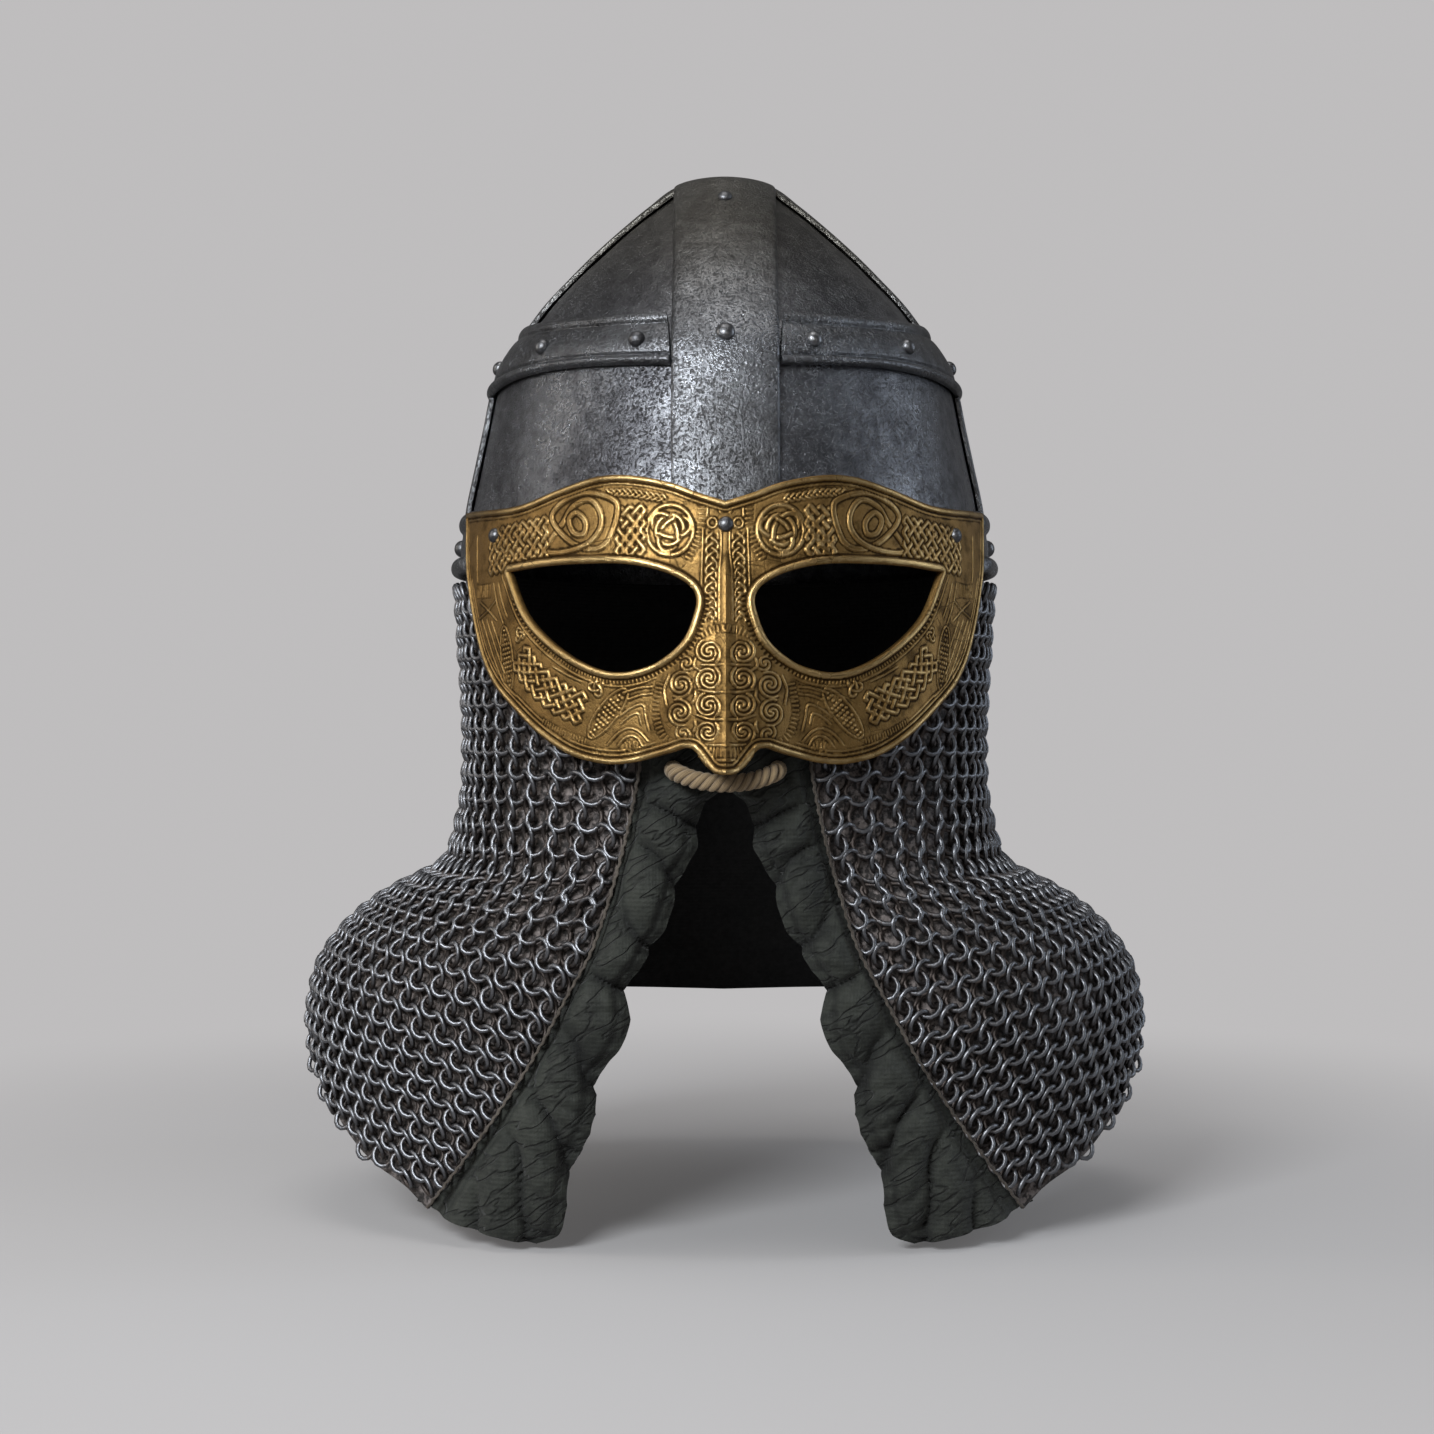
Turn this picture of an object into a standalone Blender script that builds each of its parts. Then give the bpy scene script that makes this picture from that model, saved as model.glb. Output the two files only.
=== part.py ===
"""Spectacle helm: riveted steel skull, brass mask, mail curtain, leather lining and a rope tie.

Metres, +Z up, the front towards -Y. The origin is the inside of the crown, where the helm sits
on a head. Everything is symmetric about the plane x = 0."""

import math

import bmesh
import bpy
from mathutils import Matrix, Vector
from mathutils.bvhtree import BVHTree
from mathutils.geometry import delaunay_2d_cdt

# Clearance between neighbouring pieces, and the walls they are made of
GAP = 0.0003
BAND_SEAT = 0.0006
SKULL_WALL = 0.0016
BAND_WALL = 0.0020
CROWN_BAND_WALL = 0.0030
MASK_WALL = 0.0018
MAIL_WALL = 0.0034
LINING_WALL = 0.0016

# Skull: outer half profile, the same at the front times PLAN_RATIO. Columns: half width, height
SKULL_PROFILE = (
    (0.0000, 0.0017),
    (0.0190, -0.0015),
    (0.0289, -0.0088),
    (0.0404, -0.0187),
    (0.0519, -0.0294),
    (0.0618, -0.0396),
    (0.0700, -0.0485),
    (0.0766, -0.0573),
    (0.0835, -0.0662),
    (0.0890, -0.0765),
    (0.0936, -0.0975),
    (0.0967, -0.1120),
    (0.1001, -0.1285),
    (0.1031, -0.1535),
)
PLAN_RATIO = 1.17
PLATE_TURNS = 8
PLATE_ROWS = 9
PLATE_FIRST_SHARE = 0.06

# Bands: half width of the two that cross the crown, and the heights of the two that go round
CROWN_BAND_HALF = 0.0190
SIDE_BAND_HALF = 0.0170
CROWN_BAND_FRONT_END = -0.1358
BAND_END_GAP = 0.0009
CROWN_EDGE_LEAN = 0.0012
# The crown band thins between these heights, where it goes in behind the mask
CROWN_THIN_FROM, CROWN_THIN_AT, CROWN_THIN_WALL = -0.1120, -0.1215, 0.0015
BROW_TOP, BROW_TOP_BEHIND_MASK, BROW_BOTTOM = -0.1300, -0.1372, -0.1543
MIDDLE_TOP_FRONT, MIDDLE_TOP_RISE = -0.0641, 0.0066
MIDDLE_BOTTOM, MIDDLE_BOTTOM_RISE = -0.0835, 0.0022
CROWN_STATIONS, SIDE_STATIONS, MIDDLE_STATIONS = 26, 6, 15
# The brow band's beads sink at the mask's end, whose turn from the front differs low and high
MASK_END_LOW, MASK_END_HIGH, BEAD_RISE = 66.4, 71.2, 2.4
BROW_STATIONS_HIDDEN, BROW_STATIONS_SHOWN = 7, 11

# Cross sections of the bands, as closed rings. Columns: place across the band, and lift off its
# seat, which is a share of the wall for the flat bands
FLAT_SECTION = (
    (-1.0, 0.0),
    (-1.0, 0.7),
    (-0.94, 1.0),
    (-0.4, 1.0),
    (0.4, 1.0),
    (0.94, 1.0),
    (1.0, 0.7),
    (1.0, 0.0),
    (0.5, 0.0),
    (0.0, 0.0),
    (-0.5, 0.0),
)
MIDDLE_SECTION = (
    (0.00, 0.0000),
    (0.00, 0.0026),
    (0.04, 0.0032),
    (0.14, 0.0032),
    (0.17, 0.0020),
    (0.86, 0.0020),
    (0.89, 0.0026),
    (0.97, 0.0026),
    (1.00, 0.0018),
    (1.00, 0.0000),
    (0.66, 0.0000),
    (0.33, 0.0000),
)
BROW_SECTION = (
    (0.00, 0.0000),
    (0.00, 0.0034),
    (0.06, 0.0048),
    (0.24, 0.0048),
    (0.30, 0.0022),
    (0.68, 0.0020),
    (0.74, 0.0036),
    (0.93, 0.0036),
    (1.00, 0.0018),
    (1.00, 0.0000),
)

# Rivet heads: radius and height of the domes
BAND_RIVET = (0.0026, 0.0021)
CROWN_RIVET = (0.0030, 0.0022)
TOP_RIVET = (0.0020, 0.0015)
BROW_RIVET = (0.0031, 0.0030)
MASK_RIVET = (0.0027, 0.0020)
APEX_STUD = (0.0021, 0.0012)
CROWN_RIVET_HEIGHTS = (-0.0125, -0.0690)
MIDDLE_RIVET_TURNS = (-68.0, -38.0, 0.0, 38.0, 68.0)
MIDDLE_RIVET_ACROSS = 0.46
BROW_RIVET_TURNS = (0.0, 45.0, 90.0, 135.0, 180.0)
BROW_RIVET_ACROSS = 0.50
RIVET_SIDES = 8
RIVET_CROWN_SHARE, RIVET_FLAT_INSET = 0.86, 0.40
SEAT_REACH = 0.0100
MIDDLE_END_GAP = 0.0012

# Mask: half widths and depth of its back surface, and how far the nose stands forward
MASK_HALF_WIDTH, MASK_DEPTH = 0.1064, 0.1241
MASK_LEAN, MASK_LEAN_FROM = 0.13, -0.154
NOSE_FORWARD, NOSE_FROM, NOSE_FULL = 0.0115, -0.150, -0.214
NOSE_HALF_TOP, NOSE_HALF_BOTTOM = 0.012, 0.030
NOSE_RIDGE, NOSE_RIDGE_HALF, NOSE_RIDGE_FULL = 0.0016, 0.0030, -0.1600
NOSE_RIDGE_TOP, NOSE_RIDGE_STEP, NOSE_RIDGE_POINTS = -0.1520, -0.0085, 9
NOSE_TIP_FORWARD, NOSE_TIP_HALF = 0.0045, 0.0085
NOSE_TIP_FROM, NOSE_TIP_FULL = -0.2140, -0.2260

# Right half of the mask's outline, seen from the front. Columns: x, z
MASK_TOP = (
    (0.0000, -0.1335),
    (0.0095, -0.1304),
    (0.0197, -0.1265),
    (0.0345, -0.1236),
    (0.0451, -0.1238),
    (0.0573, -0.1270),
    (0.0751, -0.1322),
    (0.0971, -0.1315),
)
MASK_CHEEK = (
    (0.0971, -0.1315),
    (0.0956, -0.1560),
    (0.0902, -0.1822),
    (0.0841, -0.1961),
    (0.0747, -0.2068),
    (0.0649, -0.2158),
    (0.0540, -0.2226),
    (0.0419, -0.2256),
    (0.0329, -0.2252),
    (0.0212, -0.2223),
    (0.0138, -0.2198),
)
MASK_NOSE = (
    (0.0138, -0.2198),
    (0.0104, -0.2202),
    (0.0058, -0.2256),
    (0.0027, -0.2282),
    (0.0000, -0.2290),
)
EYE_OUTLINE = (
    (0.0775, -0.1560),
    (0.0649, -0.1548),
    (0.0492, -0.1545),
    (0.0344, -0.1551),
    (0.0212, -0.1581),
    (0.0125, -0.1628),
    (0.0096, -0.1675),
    (0.0103, -0.1737),
    (0.0138, -0.1824),
    (0.0212, -0.1887),
    (0.0329, -0.1929),
    (0.0419, -0.1927),
    (0.0525, -0.1883),
    (0.0634, -0.1802),
    (0.0713, -0.1709),
    (0.0775, -0.1560),
)
BORDER_WIDTH, BORDER_LIFT = 0.0020, 0.0007
EYE_RIM_WIDTH, EYE_RIM_LIFT = 0.0028, 0.0012
RELIEF_SLOPE, RELIEF_CLEAR = 0.0006, 0.0012
# Spacing of the points inside the mask, and along its outline, its nose and its eye holes
MASK_GRID, MASK_GRID_ROWS, MASK_GRID_TOP = 0.0110, 12, -0.1236
MASK_GRID_CLEAR, MASK_RING_CLEAR = 0.0050, 0.0026
OUTLINE_SPACING, NOSE_SPACING, EYE_SPACING = 0.0060, 0.0030, 0.0065

# Raised rings of the mask's interlace and scrolls, mirrored. Columns: x, z, radius
RELIEF_RINGS = (
    (0.0250, -0.1400, 0.0088),
    (0.0062, -0.1895, 0.0040),
    (0.0085, -0.2020, 0.0044),
    (0.0075, -0.2125, 0.0038),
)
RING_HALF, RING_LIFT, RING_SIDES = 0.0014, 0.0007, 10
MASK_RIVETS = (
    ("middle", 0.0, -0.1417),
    ("right", 0.0836, -0.1421),
    ("left", -0.0836, -0.1421),
)

# Mail curtain, outside. Columns: height, half width, depth at the front, depth at the back
CURTAIN = (
    (-0.1548, 0.1070, 0.1180, 0.1230),
    (-0.1820, 0.1052, 0.1170, 0.1210),
    (-0.2090, 0.1036, 0.1150, 0.1190),
    (-0.2240, 0.1036, 0.1130, 0.1180),
    (-0.2390, 0.1042, 0.1110, 0.1178),
    (-0.2510, 0.1068, 0.1100, 0.1182),
    (-0.2610, 0.1095, 0.1095, 0.1190),
    (-0.2674, 0.1148, 0.1095, 0.1202),
    (-0.2754, 0.1301, 0.1100, 0.1230),
    (-0.2826, 0.1416, 0.1105, 0.1260),
    (-0.2930, 0.1529, 0.1115, 0.1300),
    (-0.3060, 0.1615, 0.1125, 0.1335),
    (-0.3200, 0.1649, 0.1135, 0.1355),
    (-0.3320, 0.1659, 0.1140, 0.1370),
    (-0.3600, 0.1670, 0.1150, 0.1380),
    (-0.3910, 0.1670, 0.1150, 0.1380),
)
# Its front edge. Columns: height, distance from the middle
CURTAIN_EDGE = (
    (-0.2140, 0.0305),
    (-0.2287, 0.0320),
    (-0.2510, 0.0365),
    (-0.2752, 0.0430),
    (-0.2930, 0.0491),
    (-0.3070, 0.0567),
    (-0.3309, 0.0697),
    (-0.3536, 0.0845),
    (-0.3694, 0.0958),
    (-0.3893, 0.1108),
)
# Its top edge, which runs up behind the mask's cheek. Columns: turn from the front, height
CURTAIN_COLLAR = (
    (17.1, -0.2140),
    (25.7, -0.2130),
    (34.0, -0.2090),
    (42.4, -0.2000),
    (50.4, -0.1880),
    (56.0, -0.1750),
    (60.6, -0.1600),
    (64.0, -0.1550),
    (90.0, -0.1548),
    (180.0, -0.1548),
)
# Its hem. Columns: turn from the front, height
CURTAIN_HEM = (
    (41.5, -0.3893),
    (46.4, -0.3810),
    (53.8, -0.3740),
    (60.8, -0.3656),
    (68.9, -0.3537),
    (76.7, -0.3410),
    (83.0, -0.3320),
    (92.0, -0.3265),
    (115.0, -0.3235),
    (145.0, -0.3265),
    (180.0, -0.3300),
)
# Rows of the curtain, as shares of its drop, closer together at the shoulder
CURTAIN_ROW_SHARES = (0.0, 0.22, 0.42, 0.53, 0.61, 0.68, 0.75, 0.82, 0.90, 1.0)
CURTAIN_COLUMNS = 34
LINING_GAP = 0.0007
# Above 1 this crowds the curtain's columns towards its front edge
COLUMN_CROWDING = 1.15
LINING_BELOW_COLLAR, LINING_PAST_HEM = 0.0010, 0.0015

# Inner, ruffled edge of a lining flap. Columns: distance from the middle, height
FLAP_INNER_EDGE = (
    (0.0012, -0.2150),
    (0.0016, -0.2350),
    (0.0100, -0.2405),
    (0.0142, -0.2580),
    (0.0195, -0.2755),
    (0.0265, -0.2910),
    (0.0345, -0.3030),
    (0.0370, -0.3225),
    (0.0455, -0.3380),
    (0.0500, -0.3560),
    (0.0560, -0.3735),
    (0.0620, -0.3945),
    (0.0689, -0.3987),
)
FLAP_ROWS, FLAP_COLUMNS = 26, 5
FLAP_FOLDS, FLAP_FOLD_DEPTH = 8.5, 0.0030
FLAP_ROLL, FLAP_FULLNESS = 0.0045, 0.0035
FLAP_INSET, FLAP_FIRST_COLUMN = 0.0046, -0.12
# Shares across and down a flap between which it leaves the mail, folds and rolls
FLAP_LEAVES_MAIL, FLAP_FORWARD_SHARE, FLAP_ROLL_FROM = (0.02, 0.22), 0.6, 0.86
FLAP_FOLDS_ACROSS, FLAP_FOLDS_DOWN, FLAP_FOLD_SLANT = (0.10, 0.75), (0.03, 0.14), 1.1

# Piping between the mail and a flap: its section, and where it starts and how far it runs
PIPING_WIDTH, PIPING_WALL, PIPING_STATIONS = 0.0022, 0.0012, 20
PIPING_START, PIPING_RUN, PIPING_BESIDE_MAIL = 0.03, 0.96, 0.0005

# Rope tie, its right half from the middle to its end behind the flap. Columns: x, y, z
ROPE_ROUTE = (
    (0.0000, -0.1262, -0.2322),
    (0.0098, -0.1252, -0.2312),
    (0.0176, -0.1214, -0.2288),
    (0.0195, -0.1152, -0.2278),
    (0.0195, -0.1040, -0.2278),
    (0.0195, -0.0960, -0.2278),
)
ROPE_RADIUS, ROPE_POINTS = 0.0033, 22
ROPE_KNOT_RADIUS, ROPE_KNOT_FROM, ROPE_KNOT_FULL = 0.0052, 0.0065, 0.0035
ROPE_HOLE, ROPE_HOLE_RADIUS = (0.0195, -0.2278), 0.0039
ROPE_CUTTER_Y, ROPE_CUTTER_LENGTH, ROPE_CUTTER_SIDES = -0.1120, 0.0500, 10


def clear_scene():
    """Removes what the scene holds."""
    for thing in list(bpy.data.objects):
        bpy.data.objects.remove(thing)


def finish(name, color, roughness, metallic):
    """A plain Principled material."""
    material = bpy.data.materials.get(name)
    if material is None:
        material = bpy.data.materials.new(name)
        material.use_nodes = True
        shader = material.node_tree.nodes["Principled BSDF"]
        shader.inputs["Base Color"].default_value = (*color, 1.0)
        shader.inputs["Roughness"].default_value = roughness
        shader.inputs["Metallic"].default_value = metallic
    return material


def dark_steel():
    return finish("dark_steel", (0.11, 0.11, 0.115), 0.42, 1.0)


def band_steel():
    return finish("band_steel", (0.13, 0.125, 0.125), 0.40, 1.0)


def rivet_steel():
    return finish("rivet_steel", (0.20, 0.21, 0.22), 0.28, 1.0)


def brass():
    return finish("brass", (0.42, 0.28, 0.10), 0.38, 1.0)


def mail_steel():
    return finish("mail_steel", (0.09, 0.08, 0.075), 0.45, 1.0)


def lining_leather():
    return finish("lining_leather", (0.045, 0.052, 0.046), 0.75, 0.0)


def piping_leather():
    return finish("piping_leather", (0.07, 0.06, 0.05), 0.70, 0.0)


def rope_fibre():
    return finish("rope_fibre", (0.42, 0.32, 0.19), 0.90, 0.0)


def smooth_lookup(rows, key):
    """The other columns of a table at this value of its first column, on a smooth curve."""
    rising = rows if rows[-1][0] > rows[0][0] else rows[::-1]
    key = min(max(key, rising[0][0]), rising[-1][0])
    i = max(k for k in range(len(rising) - 1) if rising[k][0] <= key)
    before, low = rising[max(i - 1, 0)], rising[i]
    high, after = rising[i + 1], rising[min(i + 2, len(rising) - 1)]
    span = high[0] - low[0]
    t = (key - low[0]) / span
    found = []
    for column in range(1, len(low)):
        rise_low = (high[column] - before[column]) / (high[0] - before[0]) * span
        rise_high = (after[column] - low[column]) / (after[0] - low[0]) * span
        found.append(
            (2 * t**3 - 3 * t**2 + 1) * low[column]
            + (t**3 - 2 * t**2 + t) * rise_low
            + (3 * t**2 - 2 * t**3) * high[column]
            + (t**3 - t**2) * rise_high
        )
    return found


def with_lengths(points):
    """Rows that start with the distance along the points."""
    rows, distance = [], 0.0
    for i, point in enumerate(points):
        if i:
            distance += (Vector(point) - Vector(points[i - 1])).length
        rows.append((distance, *point))
    return rows


def along(rows, share):
    """The smooth curve through rows from with_lengths, at this share of its length."""
    return smooth_lookup(rows, share * rows[-1][0])


def smooth_step(low, high, value):
    """0 below low, 1 above high, with a smooth rise."""
    t = min(max((value - low) / (high - low), 0.0), 1.0)
    return t * t * (3 - 2 * t)


SKULL_ROWS = with_lengths(SKULL_PROFILE)
EDGE_ROWS = with_lengths([(x, z) for z, x in CURTAIN_EDGE])
FLAP_EDGE_ROWS = with_lengths(FLAP_INNER_EDGE)


def make_object(name, bm, material):
    """An object of this name from a bmesh, with its faces turned out."""
    bmesh.ops.recalc_face_normals(bm, faces=bm.faces[:])
    mesh = bpy.data.meshes.new(name)
    bm.to_mesh(mesh)
    bm.free()
    mesh.materials.append(material)
    mesh.shade_smooth()
    mesh.set_sharp_from_angle(angle=math.radians(40))
    made = bpy.data.objects.new(name, mesh)
    bpy.context.scene.collection.objects.link(made)
    return made


def lofted(name, rings, material, closed=False):
    """A solid skinned through rings that have the same number of points."""
    bm = bmesh.new()
    made = [[bm.verts.new(point) for point in ring] for ring in rings]
    count = len(rings[0])
    pairs = list(zip(made, made[1:]))
    if closed:
        pairs.append((made[-1], made[0]))
    else:
        bm.faces.new(made[0])
        bm.faces.new(made[-1][::-1])
    for ring, following in pairs:
        for i in range(count):
            j = (i + 1) % count
            bm.faces.new((ring[i], ring[j], following[j], following[i]))
    return make_object(name, bm, material)


def shell(name, outside, inside, material):
    """A wall between two grids of points, rows of equal length, closed round its edge."""
    bm = bmesh.new()
    layers = [[[bm.verts.new(p) for p in row] for row in grid] for grid in (outside, inside)]
    rows, columns = len(outside), len(outside[0])
    for layer in layers:
        for i in range(rows - 1):
            for j in range(columns - 1):
                corners = (layer[i][j], layer[i][j + 1], layer[i + 1][j + 1], layer[i + 1][j])
                bm.faces.new(corners)
    border = [(0, j) for j in range(columns)]
    border += [(i, columns - 1) for i in range(1, rows)]
    border += [(rows - 1, j) for j in range(columns - 2, -1, -1)]
    border += [(i, 0) for i in range(rows - 2, 0, -1)]
    for (i, j), (k, m) in zip(border, border[1:] + border[:1]):
        bm.faces.new((layers[0][i][j], layers[0][k][m], layers[1][k][m], layers[1][i][j]))
    return make_object(name, bm, material)


def skull_height_to_half(z):
    """Half width of the skull at a height. It falls below zero above the apex."""
    low, high = 0.0, 1.0
    if z >= SKULL_PROFILE[0][1]:
        return SKULL_PROFILE[0][1] - z
    for _ in range(28):
        middle = (low + high) / 2
        if along(SKULL_ROWS, middle)[1] > z:
            low = middle
        else:
            high = middle
    half, reached = along(SKULL_ROWS, (low + high) / 2)
    return half + (reached - z) * 0.1


def skull_point(turn, height, lift):
    """A point on the skull, by its turn from the right side and its height."""
    half = max(skull_height_to_half(height), 0.0)
    point = Vector((half * math.cos(turn), PLAN_RATIO * half * math.sin(turn), height))
    return point + skull_normal(point) * lift


def skull_field(point):
    """How far outside the skull a point lies, level with it."""
    return math.hypot(point.x, point.y / PLAN_RATIO) - skull_height_to_half(point.z)


def skull_normal(point):
    """Direction out of the skull at a point on it."""
    step = 0.0004
    slopes = []
    for axis in (Vector((step, 0, 0)), Vector((0, step, 0)), Vector((0, 0, step))):
        slopes.append(skull_field(point + axis) - skull_field(point - axis))
    return Vector(slopes).normalized()


def dropped_on_skull(start, inward, lift):
    """The point where a line from start meets the skull, lifted off it again."""
    near, far = -0.001, 0.05
    for _ in range(26):
        middle = (near + far) / 2
        if skull_field(start + inward * middle) > 0:
            near = middle
        else:
            far = middle
    point = start + inward * (near + far) / 2
    return point + skull_normal(point) * lift


def plates():
    """The skull's four plates, each a quarter of the dome, a little apart from the next."""
    for side, x_way in (("left", -1), ("right", 1)):
        for end, y_way in (("front", -1), ("back", 1)):
            grids = []
            for inset in (0.0, SKULL_WALL):
                rows = []
                for i in range(PLATE_ROWS + 1):
                    share = PLATE_FIRST_SHARE + (1 - PLATE_FIRST_SHARE) * i / PLATE_ROWS
                    half, height = along(SKULL_ROWS, share)
                    row = []
                    for j in range(PLATE_TURNS + 1):
                        turn = math.pi / 2 * j / PLATE_TURNS
                        point = Vector(
                            (half * math.cos(turn), PLAN_RATIO * half * math.sin(turn), height)
                        )
                        point -= skull_normal(point) * inset
                        point.x, point.y = max(point.x, GAP), max(point.y, GAP)
                        row.append((point.x * x_way, point.y * y_way, point.z))
                    rows.append(row)
                grids.append(rows)
            shell(f"skull_plate_{end}_{side}", grids[0], grids[1], dark_steel())


def flat_ring(spine, across_axis, half, wall):
    """One cross section of a flat band, at a point of the skull under its middle."""
    inward = -skull_normal(spine)
    ring = []
    for across, lift in FLAT_SECTION:
        start = spine + across_axis * across * half
        ring.append(dropped_on_skull(start, inward, BAND_SEAT + lift * wall))
    return ring


def crown_band():
    """The band over the top, from the mask to the back of the brow band."""
    front_share = share_of_height(CROWN_BAND_FRONT_END)
    back_share = share_of_height(BROW_TOP + BAND_END_GAP)

    def spine(station):
        place = -front_share + (front_share + back_share) * station / CROWN_STATIONS
        half, height = along(SKULL_ROWS, abs(place))
        return Vector((0, math.copysign(PLAN_RATIO * half, place), height))

    rings = []
    for station in range(CROWN_STATIONS + 1):
        point = spine(station)
        thinned = smooth_step(-CROWN_THIN_FROM, -CROWN_THIN_AT, -point.z) if point.y < 0 else 0
        wall = CROWN_BAND_WALL + (CROWN_THIN_WALL - CROWN_BAND_WALL) * thinned
        rings.append(flat_ring(point, Vector((1, 0, 0)), CROWN_BAND_HALF, wall))
    return lofted("crown_band", rings, band_steel())


def share_of_height(height):
    """How far down the skull's profile a height lies, from 0 to 1."""
    low, high = 0.0, 1.0
    for _ in range(28):
        middle = (low + high) / 2
        low, high = (middle, high) if along(SKULL_ROWS, middle)[1] > height else (low, middle)
    return (low + high) / 2


def middle_top(turn):
    """Height of the middle band's upper edge, by its turn from the side."""
    return MIDDLE_TOP_FRONT + MIDDLE_TOP_RISE * math.cos(turn) ** 4


def middle_bottom(turn):
    """Height of the middle band's lower edge, by its turn from the side."""
    return MIDDLE_BOTTOM + MIDDLE_BOTTOM_RISE * math.sin(2 * turn) ** 2


def side_bands():
    """The bands down the two sides, each in an upper and a lower length that butt the others."""
    first = share_of_half(CROWN_BAND_HALF + CROWN_EDGE_LEAN + BAND_END_GAP)
    lengths = (
        ("upper", first, share_of_height(middle_top(0) + BAND_END_GAP)),
        (
            "lower",
            share_of_height(middle_bottom(0) - BAND_END_GAP),
            share_of_height(BROW_TOP + BAND_END_GAP),
        ),
    )
    for side, way in (("left", -1), ("right", 1)):
        for name, start, end in lengths:
            rings = []
            for station in range(SIDE_STATIONS + 1):
                half, height = along(SKULL_ROWS, start + (end - start) * station / SIDE_STATIONS)
                spine = Vector((way * half, 0, height))
                rings.append(flat_ring(spine, Vector((0, 1, 0)), SIDE_BAND_HALF, BAND_WALL))
            lofted(f"side_band_{name}_{side}", rings, band_steel())


def share_of_half(half_width):
    """How far down the skull's profile a half width lies, from 0 to 1."""
    low, high = 0.0, 1.0
    for _ in range(28):
        middle = (low + high) / 2
        low, high = (middle, high) if along(SKULL_ROWS, middle)[0] < half_width else (low, middle)
    return (low + high) / 2


def middle_bands():
    """The beaded band round the middle, a half on each side that butts the crown band."""
    made = {}
    for side, x_way in (("left", -1), ("right", 1)):
        rings = []
        for station in range(MIDDLE_STATIONS + 1):
            place = -1 + 2 * station / MIDDLE_STATIONS
            ring = []
            for across, lift in MIDDLE_SECTION:
                half = skull_height_to_half(
                    middle_bottom(0) + across * (middle_top(0) - middle_bottom(0))
                )
                limit = math.acos(min(1.0, (CROWN_BAND_HALF + MIDDLE_END_GAP) / half))
                turn = place * limit
                low, high = middle_bottom(turn), middle_top(turn)
                point = skull_point(turn, low + across * (high - low), BAND_SEAT + lift)
                ring.append((x_way * point.x, point.y, point.z))
            rings.append(ring)
        made[side] = lofted(f"middle_band_{side}", rings, band_steel())
    return made


def behind_mask(turn, across):
    """1 where the brow band lies under the mask, 0 where it shows."""
    from_front = abs(math.degrees(math.atan2(math.cos(turn), -math.sin(turn))))
    end = MASK_END_LOW + (MASK_END_HIGH - MASK_END_LOW) * across
    return 1 - smooth_step(end, end + BEAD_RISE, from_front)


def brow_point(turn, across, lift):
    """A point of the brow band. Its beads sink where the mask covers it."""
    hidden = behind_mask(turn, across)
    top = BROW_TOP + (BROW_TOP_BEHIND_MASK - BROW_TOP) * behind_mask(turn, 0.0)
    height = BROW_BOTTOM + across * (top - BROW_BOTTOM)
    flattened = lift + (min(lift, BAND_WALL) - lift) * hidden
    return skull_point(turn, height, BAND_SEAT + flattened)


def brow_band():
    """The beaded band round the rim."""
    beads_full = MASK_END_HIGH + BEAD_RISE
    step = (180 - beads_full) / BROW_STATIONS_SHOWN
    right = [MASK_END_LOW * i / BROW_STATIONS_HIDDEN for i in range(BROW_STATIONS_HIDDEN + 1)]
    right += [MASK_END_LOW + BEAD_RISE, MASK_END_HIGH]
    right += [beads_full + step * i for i in range(BROW_STATIONS_SHOWN + 1)]
    rings = []
    for from_front in right + [-turn for turn in right[-2:0:-1]]:
        turn = math.radians(from_front - 90)
        rings.append([brow_point(turn, across, lift) for across, lift in BROW_SECTION])
    return lofted("brow_band", rings, band_steel(), closed=True)


def seated(part, point, outward, radius):
    """The point moved along outward until a disc round it just meets the part's faces."""
    mesh = part.data
    corners = [vertex.co for vertex in mesh.vertices]
    tree = BVHTree.FromPolygons(corners, [face.vertices for face in mesh.polygons])
    spoke = outward.orthogonal().normalized() * radius
    starts = [point]
    for i in range(RIVET_SIDES):
        turn = Matrix.Rotation(2 * math.pi * i / RIVET_SIDES, 3, outward)
        starts.append(point + turn @ spoke)
    drops = [tree.ray_cast(start + outward * SEAT_REACH, -outward)[3] for start in starts]
    return point + outward * (SEAT_REACH - min(drop for drop in drops if drop is not None))


def rivet(name, part, point, outward, size):
    """A domed head that sits just clear of the part under it."""
    radius, height = size
    bm = bmesh.new()
    bmesh.ops.create_cone(
        bm,
        cap_ends=True,
        segments=RIVET_SIDES,
        radius1=radius,
        radius2=radius * RIVET_CROWN_SHARE,
        depth=height / 2,
        matrix=Matrix.Translation((0, 0, height / 4)),
    )
    top = max(bm.faces, key=lambda face: face.calc_center_median().z)
    bmesh.ops.inset_region(bm, faces=[top], thickness=radius * RIVET_FLAT_INSET)
    bmesh.ops.translate(bm, verts=top.verts, vec=(0, 0, height / 2))
    turned = Vector((0, 0, 1)).rotation_difference(outward).to_matrix().to_4x4()
    seat = seated(part, point, outward, radius) + outward * GAP
    bmesh.ops.transform(bm, matrix=Matrix.Translation(seat) @ turned, verts=bm.verts[:])
    make_object(name, bm, rivet_steel())


def crown_rivets(band):
    """The rivets along the crown band, at the front and the back, and the stud on its top."""
    rows = tuple(zip(CROWN_RIVET_HEIGHTS, (TOP_RIVET, CROWN_RIVET)))
    for end, way in (("front", -1), ("back", 1)):
        for number, (height, size) in enumerate(rows, 1):
            on_skull = skull_point(way * math.pi / 2, height, 0)
            rivet(f"rivet_crown_{end}_{number}", band, on_skull, skull_normal(on_skull), size)
    apex = Vector((0, 0, SKULL_PROFILE[0][1]))
    rivet("apex_stud", band, apex, Vector((0, 0, 1)), APEX_STUD)


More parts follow.
